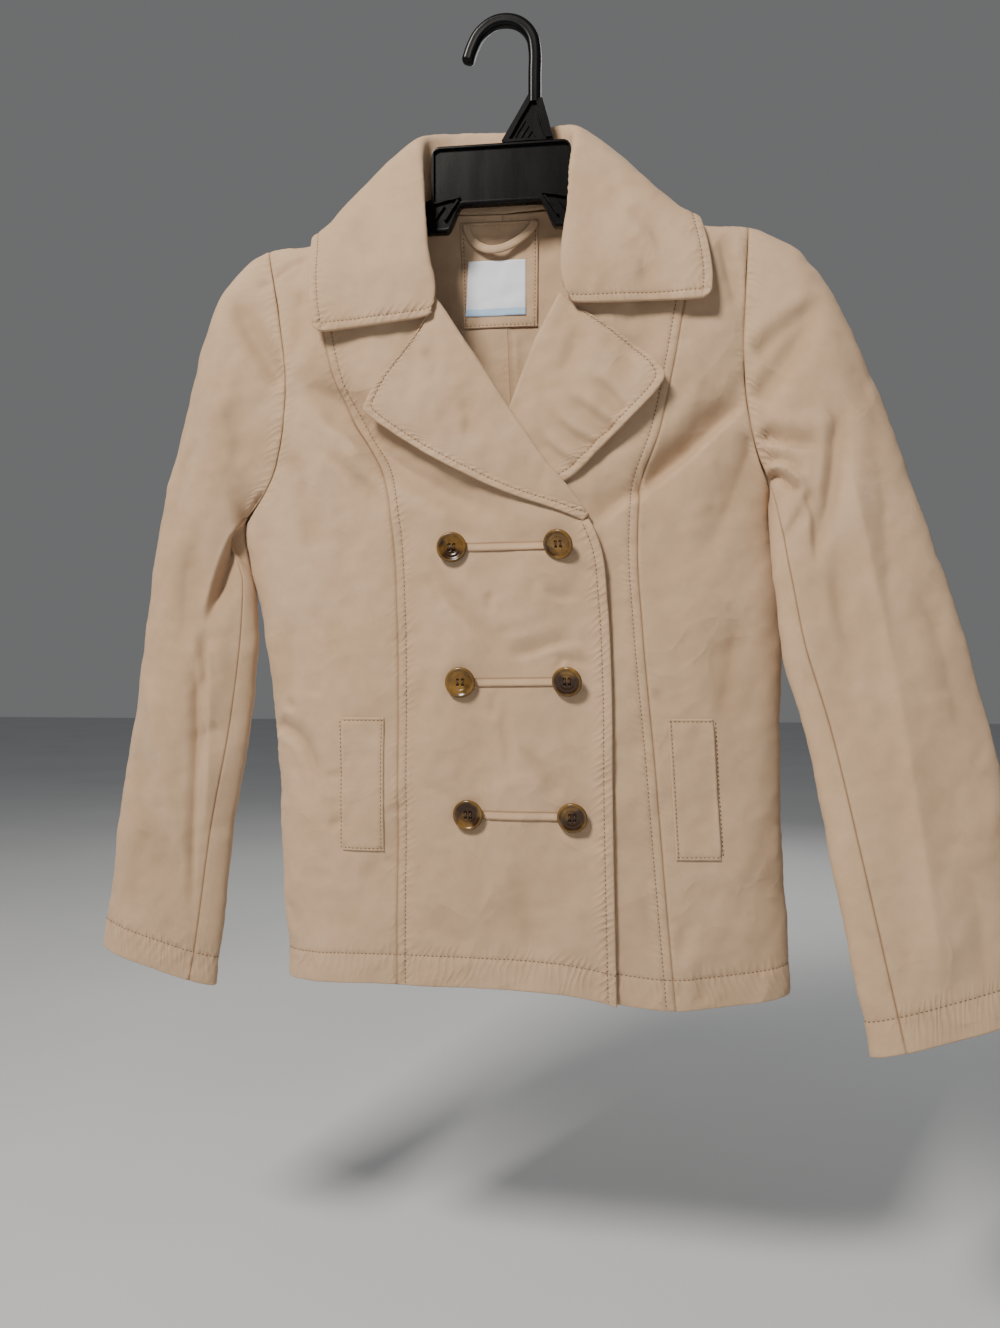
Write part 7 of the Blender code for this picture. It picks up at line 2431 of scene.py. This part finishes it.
@dataclass(frozen=True)
class MouldedPlastic(Finish):
    """Black injection-moulded plastic: near-black, faint flow marks, fine scuffs."""
    base: Color
    scuffed: Color

    def make(self) -> bpy.types.Material:
        """The finish as a material."""
        material, nodes, shader = self.start()
        place = nodes.place()
        drawn = nodes.add("ShaderNodeMapping", {"Vector": place, "Scale": (1, 1, 0.25)}).outputs[0]
        flow = nodes.noise(drawn, 60.0, 4.0, 0.6)
        scuff = nodes.noise(place, 900.0, 3.0, 0.7)
        flow_rough = nodes.ramp(flow, 0.3, 0.7, self.roughness - 0.03, self.roughness + 0.03)
        nodes.feed(shader, {
            "Base Color": nodes.mix(nodes.ramp(scuff, 0.6, 0.8, 0.0, 0.5), self.base, self.scuffed),
            "Roughness": nodes.plus(flow_rough, nodes.ramp(scuff, 0.55, 0.8, 0.0, 0.05)),
            "Normal": nodes.bump(flow, 0.0004, 0.15), "Specular IOR Level": 0.14})
        return material


# ---------------------------------------------------------------- room

class Lamp(NamedTuple):
    """A soft square light, aimed at the middle of the coat."""
    name: str
    at: tuple[float, float, float]
    size: float
    power: float
    color: tuple[float, float, float]


@dataclass(frozen=True)
class Studio:
    """Pale floor, soft lights and the camera."""
    floor_z: float = -1.05
    floor_half: float = 9.0
    floor_colors: tuple[Color, Color] = ((0.58, 0.60, 0.62, 1), (0.62, 0.64, 0.66, 1))
    floor_roughness: float = 0.9
    sky: Color = (0.86, 0.87, 0.88, 1.0)
    sky_strength: float = 0.18
    middle: tuple[float, float, float] = (0.02, 0.0, -0.42)
    lamps: tuple[Lamp, ...] = (
        Lamp("key", (-0.82, -1.52, 1.16), 0.5, 79.0, (1.0, 0.94, 0.86)),
        Lamp("fill", (0.9, -1.5, -1.0), 1.2, 4.6, (0.80, 0.90, 1.0)),
        Lamp("back", (0.6, 2.0, 0.6), 1.5, 18.0, (1.0, 0.97, 0.93)))
    camera_at: tuple[float, float, float] = (0.102535, -0.819305, -0.508857)
    camera_turn: float = 7.3
    sensor: float = 36.0
    lens: float = 27.98
    clip: tuple[float, float] = (0.05, 50.0)

    def put(self, name: str, data: bpy.types.ID) -> bpy.types.Object:
        """An object for this data, linked into the scene."""
        thing = bpy.data.objects.new(name, data)
        bpy.context.scene.collection.objects.link(thing)
        return thing

    def floor(self) -> None:
        """A wide plain floor well below the hem."""
        half, z = self.floor_half, self.floor_z
        mesh = bpy.data.meshes.new("floor")
        mesh.from_pydata([(-half, -half, z), (half, -half, z), (half, half, z), (-half, half, z)],
                         [], [(0, 1, 2, 3)])
        material, nodes, shader = Finish("floor_paint", self.floor_roughness).start()
        share = nodes.ramp(nodes.noise(nodes.place(), 2.5), 0.3, 0.7)
        nodes.feed(shader, {"Base Color": nodes.mix(share, *self.floor_colors)})
        mesh.materials.append(material)
        self.put("floor", mesh)

    def light(self, lamp: Lamp) -> None:
        """One of the lights."""
        data = bpy.data.lights.new(lamp.name, "AREA")
        data.shape, data.size, data.energy, data.color = "SQUARE", lamp.size, lamp.power, lamp.color
        thing = self.put(lamp.name, data)
        thing.location = lamp.at
        way = Vector(self.middle) - Vector(lamp.at)
        thing.rotation_euler = way.to_track_quat("-Z", "Y").to_euler()

    def build(self) -> None:
        """Floor, world, lights and camera."""
        self.floor()
        world = bpy.data.worlds.new("studio")
        world.use_nodes = True
        background = world.node_tree.nodes["Background"]
        background.inputs["Color"].default_value = self.sky
        background.inputs["Strength"].default_value = self.sky_strength
        bpy.context.scene.world = world
        for lamp in self.lamps:
            self.light(lamp)
        camera = bpy.data.cameras.new("camera")
        camera.sensor_width, camera.lens = self.sensor, self.lens
        camera.clip_start, camera.clip_end = self.clip
        thing = self.put("camera", camera)
        thing.location = self.camera_at
        thing.rotation_euler = (math.radians(90), 0.0, math.radians(self.camera_turn))
        bpy.context.scene.camera = thing


def main() -> None:
    """Builds the coat, the hanger and the studio."""
    logging.basicConfig(level=logging.INFO, format="%(message)s")
    Studio().build()
    weave = weave_group()
    # deep colours the weave's furrows, the fine uneven dye and the painted shade of seams, creases and
    # band edges.
    twill = Twill("khaki_twill", 0.86, (0.545, 0.375, 0.235, 1), (0.270, 0.155, 0.080, 1),
                  (0.590, 0.415, 0.272, 1), weave, mottle_group(),
                  pucker_group(), crumple_group()).make()
    # The thread's dark brown is partly its own tone and partly painted shade of needle holes and
    # stitch grooves.
    thread = SewingThread("khaki_thread", 0.6, (0.095, 0.052, 0.028, 1),
                          (0.055, 0.030, 0.016, 1)).make()
    label = LabelCloth("bare_label", 0.7, (0.82, 0.84, 0.92, 1), (0.42, 0.62, 0.86, 1),
                       (0.55, 0.58, 0.68, 1), LABEL_BAND_Z * MM, weave).make()
    # honey also paints the highlight on each button's raised rim.
    horn = Horn("tortoiseshell", 0.16, (0.125, 0.062, 0.014, 1), (0.230, 0.125, 0.030, 1),
                (0.030, 0.012, 0.003, 1)).make()
    plastic = MouldedPlastic("black_plastic", 0.27, (0.0040, 0.0036, 0.0040, 1),
                             (0.012, 0.011, 0.012, 1)).make()
    BodyPanels(twill, thread).build()
    Sleeves(twill, thread).build()
    CollarPiece(twill, thread).build()
    Lapels(twill, thread).build()
    Welts(twill, thread).build()
    Bands(twill).build()
    BackNeck(twill, thread, label).build()
    Buttons(horn, thread).build()
    Hanger(plastic).build()


if __name__ == "__main__":
    main()
